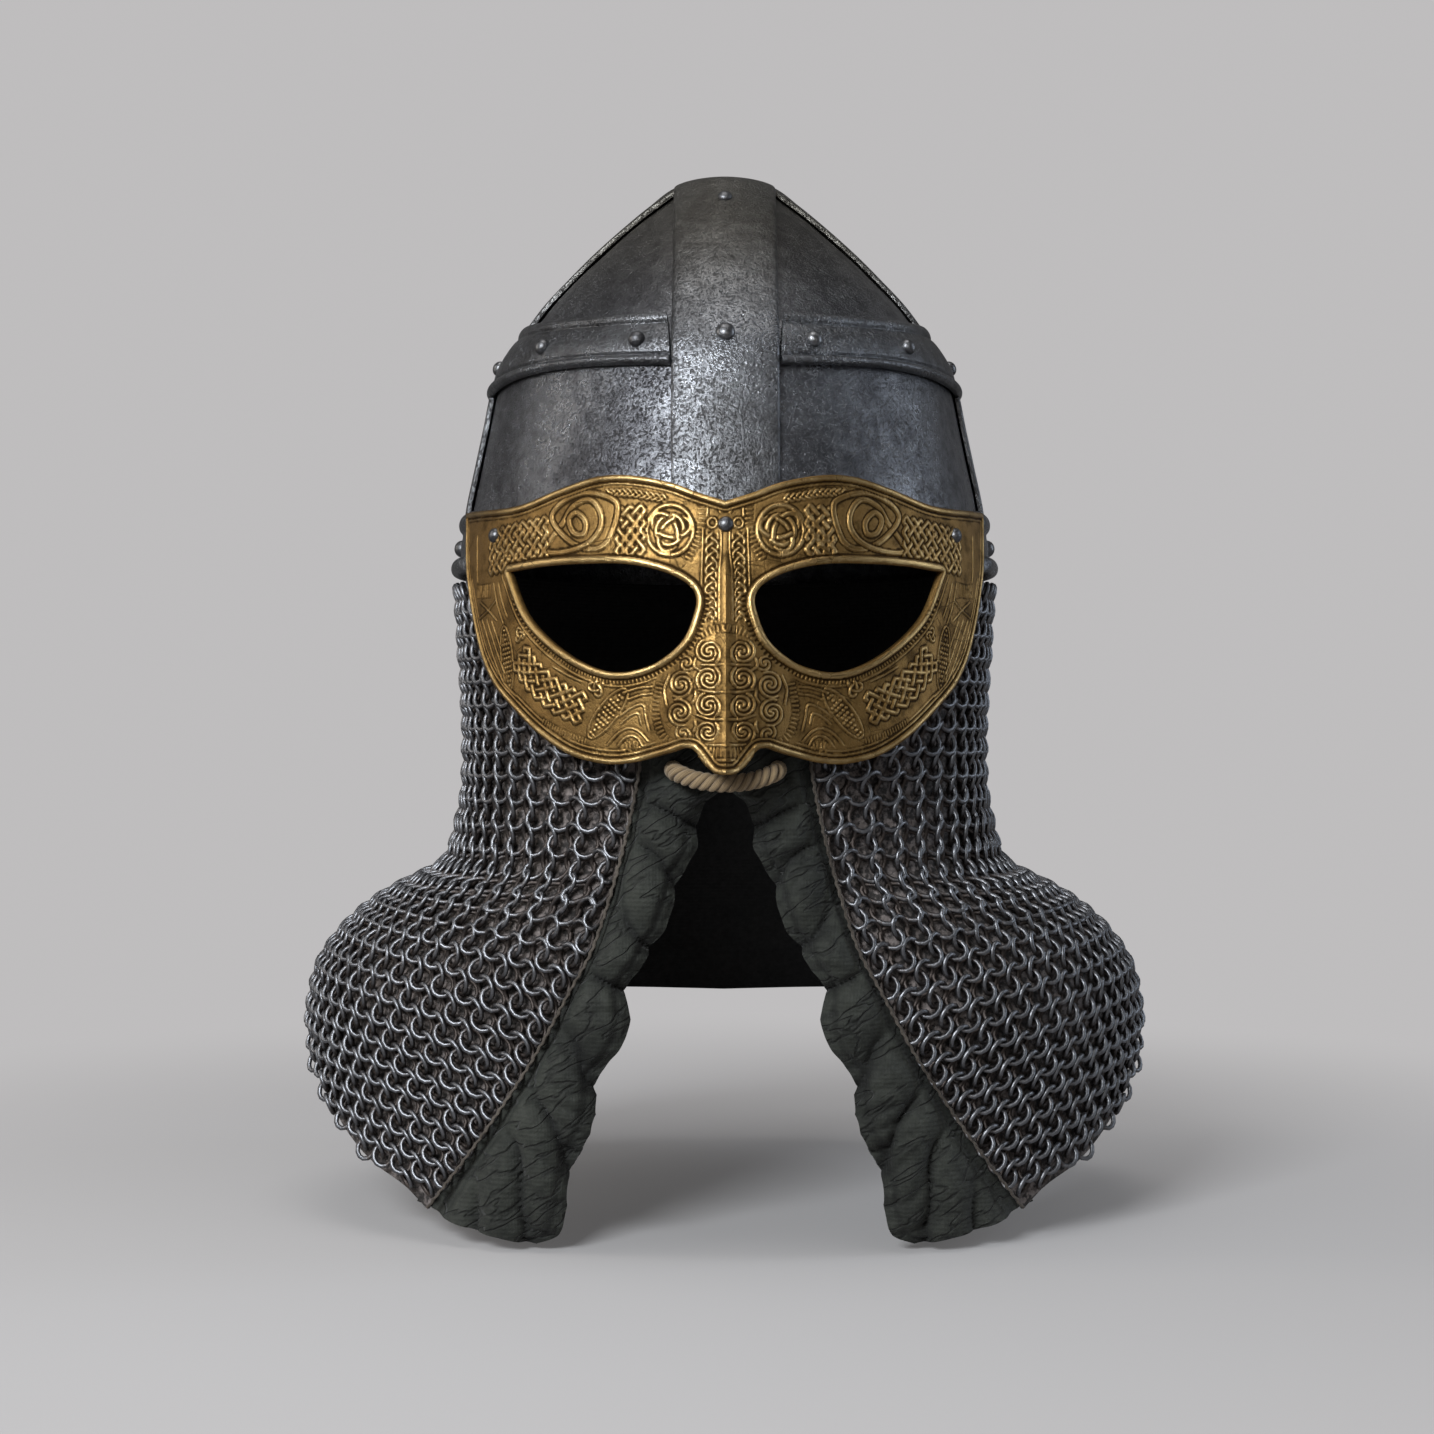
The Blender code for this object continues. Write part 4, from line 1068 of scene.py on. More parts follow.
        def place(around: Array, length: Array) -> Array:
            """Points of the band by shares round its section and along it."""
            across, lift = MIDDLE_FORM.at(around)
            level = self.middle_bottom(0) + across * (self.middle_top(0) - self.middle_bottom(0))
            limit = self.crown_half + self.middle_end_gap
            turn = (2 * length - 1) * np.arccos(limit / self.dome.half_at(level))
            low, high = self.middle_bottom(turn), self.middle_top(turn)
            spots = self.dome.point(turn, low + across * (high - low), self.seat + lift)
            return spots * (side.value, 1, 1)

        bm = tube(MIDDLE_FORM.count, self.middle_stations, place)
        node = f"middle_band_{side.word}"
        piece(f"middle_strap_{side.word}", bm, finish, [node])

    def behind_mask(self, turn: Array, across: Array | float) -> Array:
        """1 where the brow band lies under the mask, 0 where it shows."""
        from_front = np.abs(np.degrees(np.arctan2(np.cos(turn), -np.sin(turn))))
        end = self.mask_end_low + (self.mask_end_high - self.mask_end_low) * across
        t = np.clip((from_front - end) / self.bead_rise, 0.0, 1.0)
        return 1 - t * t * (3 - 2 * t)

    def brow(self, finish: Material) -> None:
        """The beaded band round the rim, flat where the mask covers it.

        Args:
            finish: The material.
        """

        def place(around: Array, length: Array) -> Array:
            """Points of the band by shares round its section and round the skull."""
            across, lift = BROW_FORM.at(around)
            turn = 2 * math.pi * length
            hidden = self.behind_mask(turn, across)
            low = self.behind_mask(turn, 0.0)
            top = self.brow_top + (self.brow_top_behind - self.brow_top) * low
            height = self.brow_bottom + across * (top - self.brow_bottom)
            lift = lift + (np.minimum(lift, self.hidden_wall) - lift) * hidden
            return self.dome.point(turn, height, self.seat + lift)

        bm = tube(BROW_FORM.count, self.brow_stations, place, ring=True)
        piece("brow_strap", bm, finish, ["brow_band"])


@dataclass(frozen=True)
class Head:
    """A rivet head's radius, its height, and how much of it is a flat rim."""

    radius: float
    height: float
    rim: float = 0.0


@dataclass
class Rivets:
    """All rivet heads, seated on the bands and on the mask."""

    bands: Bands
    mask: "MaskForm"
    steps: int = 18
    sink: float = 0.0003
    band_face: float = 0.0023
    crown_face: float = 0.0031
    brow_face: float = 0.0022
    middle_share: float = 0.45
    mask_face: float = 0.0018
    middle_head: Head = Head(0.0031, 0.0029)
    crown_head: Head = Head(0.0035, 0.0029)
    top_head: Head = Head(0.0028, 0.0021)
    brow_head: Head = Head(0.0034, 0.0034)
    mask_head: Head = Head(0.0028, 0.0024)
    stud: Head = Head(0.0022, 0.0013)
    crown_heights: tuple[float, float] = (-0.0125, -0.0731)
    middle_turns: tuple[float, ...] = (-69.5, -41.0, -2.0, 41.0, 69.5)
    brow_turns: tuple[float, ...] = (0.0, 45.0, 90.0, 135.0, 180.0)
    mask_spots: tuple[tuple[str, float, float], ...] = (
        ("middle", 0.0, -0.1417),
        ("right", 0.0836, -0.1421),
        ("left", -0.0836, -0.1421),
    )

    def head(self, bm: BMesh, head: Head, spot: Array, out: Array) -> None:
        """Adds a domed head, spun from its half section.

        Args:
            bm: The bmesh that it joins.
            head: Its sizes.
            spot: The middle of its foot.
            out: The direction that it faces.
        """
        angles = np.linspace(0.0, math.pi / 2, 7)
        inner = head.radius * (1 - head.rim)
        outline = [(head.radius, -self.sink), (head.radius, head.height * head.rim * 0.9)]
        outline += [
            (inner * math.cos(a), head.height * (0.1 + 0.9 * math.sin(a))) for a in angles
        ]
        spun(bm, profile(bm, outline), self.steps)
        made = [vert for vert in bm.verts if not vert.tag]
        bmesh.ops.remove_doubles(bm, verts=made, dist=1e-6)
        made = [vert for vert in bm.verts if not vert.tag]
        turned = Vector((0, 0, 1)).rotation_difference(Vector(out)).to_matrix().to_4x4()
        place = Matrix.Translation(Vector(spot)) @ turned
        bmesh.ops.transform(bm, matrix=place, verts=made)
        for vert in made:
            vert.tag = True

    def group(
        self,
        name: str,
        heads: Sequence[tuple[Head, Array, Array]],
        nodes: Sequence[str],
        finish: Material,
    ) -> None:
        """One piece from several heads.

        Args:
            name: The piece's name.
            heads: Each head's sizes, its place and the direction that it faces.
            nodes: The CAD nodes that they replace.
            finish: The material.
        """
        bm = bmesh.new()
        for head, spot, out in heads:
            self.head(bm, head, spot, out)
        closed(bm)
        piece(name, bm, finish, nodes, 50.0)

    def on_skull(self, turn: float, height: float, lift: float) -> tuple[Array, Array]:
        """A point of the skull, lifted, and its direction out.

        Args:
            turn: Its turn from the right side, in radians.
            height: Its height.
            lift: How far it is lifted.

        Returns:
            The point and the direction.
        """
        spot = self.bands.dome.point(np.array(turn), np.array(height), 0.0)
        out = self.bands.dome.normal(spot)
        return spot + out * lift, out

    def build(self, finish: Material) -> None:
        """Makes the rivets of each band and of the mask.

        Args:
            finish: The material.
        """
        seat, bands = self.bands.seat, self.bands
        for end, way in (("front", -1), ("back", 1)):
            heads = []
            for height, size in zip(self.crown_heights, (self.top_head, self.crown_head)):
                place = self.on_skull(way * math.pi / 2, height, seat + self.crown_face)
                heads.append((size, *place))
            nodes = [f"rivet_crown_{end}_{number}" for number in (1, 2)]
            self.group(f"crown_rivets_{end}", heads, nodes, finish)
        top = np.array([0.0, 0.0, bands.dome.heights[0] + seat + self.crown_face])
        stud = [(self.stud, top, np.array([0.0, 0.0, 1.0]))]
        self.group("crown_stud", stud, ["apex_stud"], finish)
        for side in Side:
            heads, mirror = [], np.array([side.value, 1, 1])
            for degrees in self.middle_turns:
                turn = math.radians(degrees)
                low, high = bands.middle_bottom(turn), bands.middle_top(turn)
                height = low + self.middle_share * (high - low)
                spot, out = self.on_skull(turn, height, seat + self.band_face)
                heads.append((self.middle_head, spot * mirror, out * mirror))
            nodes = [f"rivet_middle_{side.word}_{number}" for number in range(1, 6)]
            self.group(f"middle_rivets_{side.word}", heads, nodes, finish)
        heads, height = [], bands.brow_bottom + 0.5 * (bands.brow_top - bands.brow_bottom)
        for degrees in self.brow_turns:
            place = self.on_skull(math.radians(degrees), height, seat + self.brow_face)
            heads.append((self.brow_head, *place))
        nodes = [f"rivet_brow_{number}" for number in range(1, 6)]
        self.group("brow_rivets", heads, nodes, finish)
        for word, x, z in self.mask_spots:
            spot, out = self.mask.back(np.array(x), np.array(z)), self.mask.normal(x, z)
            heads = [(self.mask_head, spot + out * self.mask_face, out)]
            self.group(f"mask_rivet_{word}", heads, [f"rivet_mask_{word}"], finish)


# The brass mask


@dataclass
class MaskForm:
    """The mask's back surface and its outline, as in the solid."""

    half_width: float = 0.1064
    depth: float = 0.1241
    plan_ratio: float = 1.17
    # The brow leans in above this height
    lean: float = 0.13
    lean_from: float = -0.154
    # How far the nose, its tip and its ridge stand forward, and between which depths they begin
    nose_out: float = 0.0115
    nose_depths: tuple[float, float] = (0.150, 0.214)
    nose_halves: tuple[float, float] = (0.012, 0.018)
    tip_out: float = 0.0045
    tip_depths: tuple[float, float] = (0.2140, 0.2260)
    tip_half: float = 0.0085
    ridge_out: float = 0.0016
    ridge_depths: tuple[float, float] = (0.150, 0.160)
    ridge_half: float = 0.0030
    top: Table = (
        (0.0000, -0.1335), (0.0095, -0.1304), (0.0197, -0.1265), (0.0345, -0.1236),
        (0.0451, -0.1238), (0.0573, -0.1270), (0.0751, -0.1322), (0.0971, -0.1315),
    )
    cheek: Table = (
        (0.0971, -0.1315), (0.0956, -0.1560), (0.0902, -0.1822), (0.0841, -0.1961),
        (0.0747, -0.2068), (0.0649, -0.2158), (0.0540, -0.2226), (0.0419, -0.2256),
        (0.0329, -0.2252), (0.0212, -0.2223), (0.0138, -0.2198),
    )
    nose: Table = (
        (0.0138, -0.2198), (0.0104, -0.2202), (0.0058, -0.2256), (0.0027, -0.2282),
        (0.0000, -0.2290),
    )
    eye: Table = (
        (0.0775, -0.1560), (0.0649, -0.1548), (0.0492, -0.1545), (0.0344, -0.1551),
        (0.0212, -0.1581), (0.0125, -0.1628), (0.0096, -0.1675), (0.0103, -0.1737),
        (0.0138, -0.1824), (0.0212, -0.1887), (0.0329, -0.1929), (0.0419, -0.1927),
        (0.0525, -0.1883), (0.0634, -0.1802), (0.0713, -0.1709), (0.0775, -0.1560),
    )

    def __post_init__(self) -> None:
        """Measures the way round the mask, to lay it out flat."""
        turns = np.linspace(0.0, math.pi / 2, 2000)
        speed = np.hypot(self.half_width * np.cos(turns), self.depth * np.sin(turns))
        steps = (speed[1:] + speed[:-1]) / 2 * np.diff(turns)
        self.flat_s = np.concatenate([[0.0], np.cumsum(steps)])
        self.flat_x = self.half_width * np.sin(turns)

    def to_flat(self, x: Array | float) -> Array:
        """How far round the mask a distance from the middle lies."""
        return np.interp(x, self.flat_x, self.flat_s)

    def to_x(self, s: Array) -> Array:
        """Distance from the middle of a place this far round the mask."""
        return np.interp(s, self.flat_s, self.flat_x)

    def back(self, x: Array, z: Array) -> Array:
        """Points of the back surface, which wraps the brow and stands forward at the nose.

        Args:
            x: Distances from the middle.
            z: Heights.

        Returns:
            The points.
        """
        lean = self.lean * np.maximum(0.0, z - self.lean_from)
        half, depth = self.half_width - lean, self.depth - lean * self.plan_ratio
        y = -depth * np.sqrt(np.maximum(1 - (x / half) ** 2, 0.0))
        nose = smooth_step(*self.nose_depths, -z)
        narrow, wider = self.nose_halves
        across = np.minimum(np.abs(x) / (narrow + wider * nose), 1.0)
        y = y - self.nose_out * nose * (1 - across**2) ** 2
        tip = smooth_step(*self.tip_depths, -z)
        y = y - self.tip_out * tip * np.maximum(1 - np.abs(x) / self.tip_half, 0)
        ridge = smooth_step(*self.ridge_depths, -z)
        y = y - self.ridge_out * ridge * np.maximum(1 - np.abs(x) / self.ridge_half, 0)
        return stacked(x, y, z)

    def normal(self, x: Array | float, z: Array | float) -> Array:
        """Directions out of the mask's front."""
        x, z, step = np.asarray(x, float), np.asarray(z, float), 0.0005
        across = self.back(x + step, z) - self.back(x - step, z)
        up = self.back(x, z + step) - self.back(x, z - step)
        return unit(np.cross(across, up))

    def even(self, rows: Table, spacing: float) -> Array:
        """A smooth curve through rows, laid out flat.

        Args:
            rows: The points to go through.
            spacing: Distance between the curve's own points.

        Returns:
            The curve's points.
        """
        lengths = with_lengths(rows)
        curve = along(lengths, np.linspace(0.0, 1.0, int(lengths[-1, 0] / spacing)))
        return np.column_stack([self.to_flat(curve[:, 0]), curve[:, 1]])

    def outline(self, spacing: float = 0.0004) -> Array:
        """Right half of the outline laid out flat, closed along the middle."""
        curves = [self.even(rows, spacing)[:-1] for rows in (self.top, self.cheek, self.nose)]
        return np.vstack([*curves, self.even(self.nose, spacing)[-1:]])

    def eye_ring(self, spacing: float = 0.0004) -> Array:
        """The right eye hole's outline laid out flat, closed."""
        return self.even(self.eye, spacing)


def nearest_on(points: Array, ring: Array) -> tuple[Array, Array]:
    """The nearest places of a line of points, and the distances to them.

    Args:
        points: The places to start from.
        ring: The line's points.

    Returns:
        The nearest places, and their distances.
    """
    best = np.full(len(points), np.inf)
    spots = np.zeros_like(points)
    for a, b in zip(ring[:-1], ring[1:]):
        way = b - a
        t = np.clip((points - a) @ way / max(way @ way, 1e-16), 0.0, 1.0)
        found = a + t[:, None] * way
        far = np.hypot(*(points - found).T)
        closer = far < best
        best[closer], spots[closer] = far[closer], found[closer]
    return spots, best


def within(points: Array, ring: Array) -> Array:
    """Which points lie inside a closed ring.

    Args:
        points: The points.
        ring: The ring's corners.

    Returns:
        True or false for each point.
    """
    inside = np.zeros(len(points), bool)
    for a, b in zip(ring, np.roll(ring, -1, axis=0)):
        if a[1] != b[1]:
            spans = (a[1] > points[:, 1]) != (b[1] > points[:, 1])
            edge = a[0] + (points[:, 1] - a[1]) / (b[1] - a[1]) * (b[0] - a[0])
            inside ^= spans & (points[:, 0] < edge)
    return inside


def smooth_path(points: Spots, endless: bool = False, step: float = 0.35) -> Array:
    """A smooth line through points, with its own points a step apart.

    Args:
        points: The points to go through.
        endless: Whether it comes back to the first.
        step: Distance between its points.

    Returns:
        The line's points.
    """
    corners = np.array(list(points), float)
    if endless:
        corners = np.vstack([corners[-2:], corners, corners[:3]])
    rows = with_lengths(corners)
    low, high = (rows[2, 0], rows[-3, 0]) if endless else (rows[0, 0], rows[-1, 0])
    count = max(3, int((high - low) / step))
    return hermite(rows, np.linspace(low, high, count))


def crossings(paths: Sequence[Array]) -> list[tuple[int, float, int, float]]:
    """Where lines cross one another or themselves.

    Args:
        paths: The lines.

    Returns:
        For each crossing a line and a place on it, and the other line and its place.
    """
    starts = np.vstack([path[:-1] for path in paths])
    ways = np.vstack([np.diff(path, axis=0) for path in paths])
    owner = np.concatenate([np.full(len(path) - 1, i) for i, path in enumerate(paths)])
    place = np.concatenate([np.arange(len(path) - 1) for path in paths])
    cross = np.cross(ways[:, None], ways[None])
    cross[np.abs(cross) < 1e-12] = 1e-12
    delta = starts[None] - starts[:, None]
    t = np.cross(delta, ways[None]) / cross
    u = np.cross(delta, ways[:, None]) / cross
    hit = (t >= 0) & (t < 1) & (u >= 0) & (u < 1)
    apart = (owner[:, None] != owner[None]) | (np.abs(place[:, None] - place[None]) > 2)
    found = []
    for i, j in zip(*np.nonzero(np.triu(hit & apart, 1))):
        found.append((owner[i], place[i] + t[i, j], owner[j], place[j] + u[i, j]))
    return found


def over_and_under(paths: Sequence[Array]) -> list[Array]:
    """Levels that take every line over and under by turns, 1 on top and -1 below.

    Args:
        paths: The lines, each of which ends where it began or not.

    Returns:
        A level for each point of each line.
    """
    found = crossings(paths)
    places: list[list[float]] = [[] for _ in paths]
    for a, at_a, b, at_b in found:
        places[a].append(at_a)
        places[b].append(at_b)
    order = [np.sort(np.array(row)) for row in places]
    sign = {0: 1}
    for _ in range(len(paths)):
        for a, at_a, b, at_b in found:
            k = int(np.searchsorted(order[a], at_a)) + int(np.searchsorted(order[b], at_b))
            flip = -1 if k % 2 == 0 else 1
            if a in sign and b not in sign:
                sign[b] = sign[a] * flip
            elif b in sign and a not in sign:
                sign[a] = sign[b] * flip
        missing = [i for i in range(len(paths)) if i not in sign]
        if missing and not any((a in sign) != (b in sign) for a, _, b, _ in found):
            sign[missing[0]] = 1
    levels = []
    for i, path in enumerate(paths):
        if not len(order[i]):
            levels.append(np.zeros(len(path)))
            continue
        values = sign.get(i, 1) * np.where(np.arange(len(order[i])) % 2 == 0, 1.0, -1.0)
        endless = np.hypot(*(path[0] - path[-1])) < 0.2
        period = len(path) - 1 if endless else None
        levels.append(np.interp(np.arange(len(path)), order[i], values, period=period))
    return levels


@dataclass
class Relief:
    """Heights over the flat mask, in millimetres, raised and cut line by line."""

    s: Array
    z: Array

    def __post_init__(self) -> None:
        """Starts from a level plate."""
        self.height = np.zeros((len(self.z), len(self.s)))
        self.step = self.s[1] - self.s[0]

    def window(self, low: Array, high: Array) -> tuple[slice, slice]:
        """The rows and columns between two corners.

        Args:
            low: The lower corner.
            high: The higher corner.

        Returns:
            The rows and the columns.
        """
        first = np.searchsorted(self.z, low[1]), np.searchsorted(self.s, low[0])
        last = np.searchsorted(self.z, high[1]), np.searchsorted(self.s, high[0])
        return slice(first[0], last[0]), slice(first[1], last[1])

    def strands(
        self,
        paths: Sequence[Array],
        width: float = 1.1,
        gap: float = 0.34,
        rise: float = 0.42,
        floor: float = -0.22,
        weave: bool = True,
        furrow: float = 0.0,
    ) -> None:
        """Raised strands with a groove along both sides, which pass over and under.

        Args:
            paths: Their middle lines.
            width: Their width.
            gap: Width of the groove beside them.
            rise: Their height over the plate.
            floor: The height of the groove.
            weave: Whether they interlace where they cross.
            furrow: Depth of a furrow down the middle.
        """
        near = np.full_like(self.height, np.inf)
        top = np.full_like(self.height, -5.0)
        reach = width / 2 + gap
        levels = over_and_under(paths) if weave else [np.zeros(len(path)) for path in paths]
        for path, level in zip(paths, levels):
            for a, b, low, high in zip(path[:-1], path[1:], level[:-1], level[1:]):
                way = b - a
                size = way @ way
                if size < 1e-9:
                    continue
                box = self.window(np.minimum(a, b) - reach, np.maximum(a, b) + reach)
                ds, dz = self.s[box[1]] - a[0], (self.z[box[0]] - a[1])[:, None]
                t = (ds * way[0] + dz * way[1]) / size
                held = np.clip(t, 0.0, 1.0)
                far = np.hypot(ds - held * way[0], dz - held * way[1])
                here = low + (high - low) * held
                old_near, old_top = near[box], top[box]
                above = here > old_top + 0.5
                same = (np.abs(here - old_top) <= 0.5) & (far < old_near)
                better = (t > -0.6) & (t < 1.6) & (far < reach) & (above | same)
                old_near[better], old_top[better] = far[better], here[better]
        share = np.clip(near / (width / 2), 0.0, 1.0)
        ridge = floor + (rise - floor) * np.sqrt(np.maximum(1 - share**3.2, 0.0))
        ridge -= furrow * np.exp(-((share / 0.22) ** 2))
        ridge += 0.10 * top * (share < 1) * (1 - share**2)
        cut = near < reach
        self.height[cut] = np.where(share < 1, ridge, floor)[cut]

    def ticks(self, path: Array, length: float, pitch: float, width: float = 0.55) -> None:
        """Short raised bars across a line.

        Args:
            path: The line.
            length: Length of the bars.
            pitch: Distance between them.
            width: Their width.
        """
        rows = with_lengths(path)
        count = max(2, int(rows[-1, 0] / pitch))
        marks = hermite(rows, np.linspace(0, rows[-1, 0], count))
        ways = unit(np.gradient(marks, axis=0))
        across = np.column_stack([-ways[:, 1], ways[:, 0]]) * length / 2
        bars = [np.array([mark - side, mark + side]) for mark, side in zip(marks, across)]
        self.strands(bars, width, 0.30, 0.22, -0.22, False)

    def dots(self, spots: Spots, radius: float = 0.62) -> None:
        """Raised beads in a sunk ground.

        Args:
            spots: Their middles.
            radius: Their radius.
        """
        for spot in spots:
            centre = np.array(spot, float)
            box = self.window(centre - radius * 1.7, centre + radius * 1.7)
            ds, dz = self.s[box[1]] - centre[0], (self.z[box[0]] - centre[1])[:, None]
            share = np.hypot(ds, dz) / radius
            bead = -0.22 + 0.58 * np.sqrt(np.maximum(1 - share**2, 0.0))
            part = self.height[box]
            part[share < 1.45] = np.minimum(part, -0.22)[share < 1.45]
            part[share < 1] = bead[share < 1]

    def softened(self, heights: Array, rounds: int) -> Array:
        """Heights averaged with their neighbours, again and again.

        Args:
            heights: The heights.
            rounds: How often.

        Returns:
            The averages.
        """
        for _ in range(rounds):
            padded = np.pad(heights, 1, mode="edge")
            heights = (
                padded[1:-1, 1:-1] * 2
                + padded[:-2, 1:-1]
                + padded[2:, 1:-1]
                + padded[1:-1, :-2]
                + padded[1:-1, 2:]
            ) / 6
        return heights


def spiral(
    centre: Sequence[float], radius: float, turn: float, way: int, turns: float = 1.5
) -> Array:
    """One arm of a spiral, from its eye out to its radius.

    Args:
        centre: Its eye.
        radius: Its outer radius.
        turn: The angle in degrees at which it ends.
        way: 1 to wind to the left, -1 to the right.
        turns: How often it winds.

    Returns:
        Its points.
    """
    shares = np.linspace(0.04, 1.0, int(34 * turns))
    angles = math.radians(turn) + way * 2 * math.pi * turns * (shares - 1)
    return np.array(centre) + (radius * shares)[:, None] * np.column_stack(
        [np.cos(angles), np.sin(angles)]
    )


def plait(box: Sequence[float], across: int, up: int, slant: float = 0.0) -> list[Array]:
    """A woven panel: one endless strand that bounces between the sides of a box.

    Args:
        box: Its low and high corner.
        across: How often the strand bounces off the upper and lower sides.
        up: How often it bounces off the ends. The two numbers share no factor.
        slant: How far the panel's right end lies above its left end.

    Returns:
        The strand, as one line.
    """
    t = np.linspace(0.0, 2.0, 60 * (across + up) + 1)
    sides = []
    for times, shift in ((up, 0.0), (across, 0.5 / up)):
        wave = np.abs((t * times + shift) % 2 - 1)
        wave = wave * 0.86 + 0.14 * (0.5 - 0.5 * np.cos(math.pi * wave))
        sides.append(wave)
    low, high = np.array(box[:2], float), np.array(box[2:], float)
    line = low + np.column_stack(sides) * (high - low)
    line[:, 1] += slant * (sides[0] - 0.5)
    return [line]


def braid(
    start: Sequence[float], end: Sequence[float], half: float, pitch: float, count: int = 3
) -> list[Array]:
    """Strands that swing from side to side along a line and plait with one another.

    Args:
        start: Where the line starts.
        end: Where it ends.
        half: How far a strand swings to either side.
        pitch: Length of one swing there and back.
        count: How many strands.

    Returns:
        The strands.
    """
    low, high = np.array(start, float), np.array(end, float)
    length = float(np.hypot(*(high - low)))
    shares = np.linspace(0.0, 1.0, int(length / 0.3))
    way = (high - low) / length
    side = np.array([-way[1], way[0]])
    strands = []
    for number in range(count):
        phase = 2 * math.pi * (shares * length / pitch + number / count)
        strands.append(low + shares[:, None] * (high - low) + np.sin(phase)[:, None] * side * half)
    return strands


def follow(line: Array, spine: Array) -> Array:
    """A line drawn along the first axis, laid along a spine instead.

    Args:
        line: The line.
        spine: The spine's points.

    Returns:
        The line's new points.
    """
    rows = with_lengths(spine)
    spots = np.stack([np.interp(line[:, 0], rows[:, 0], rows[:, i]) for i in (1, 2)], axis=1)
    ahead = unit(np.gradient(spine, axis=0))
    ways = np.stack([np.interp(line[:, 0], rows[:, 0], ahead[:, i]) for i in (0, 1)], axis=1)
    return spots + np.stack([-ways[:, 1], ways[:, 0]], axis=1) * line[:, 1:2]


def turned(flat: Array, degrees: float) -> Array:
    """Flat points, turned to the left about their origin."""
    c, s = math.cos(math.radians(degrees)), math.sin(math.radians(degrees))
    return flat @ np.array([[c, s], [-s, c]])


def loop(centre: Sequence[float], sizes: Sequence[float], turn: float) -> Array:
    """A closed oval of two half sizes, turned by an angle in degrees."""
    angles = np.linspace(0.0, 2 * math.pi, 121)
    flat = np.column_stack([sizes[0] * np.cos(angles), sizes[1] * np.sin(angles)])
    return np.array(centre) + turned(flat, turn)


def knot(centre: Sequence[float], size: float, turn: float) -> Array:
    """A closed three lobed knot, which crosses itself three times."""
    t = np.linspace(0.0, 2 * math.pi, 181)
    flat = np.column_stack([np.sin(t) + 2 * np.sin(2 * t), np.cos(t) - 2 * np.cos(2 * t)]) / 3
    return np.array(centre) + turned(size * flat, turn)


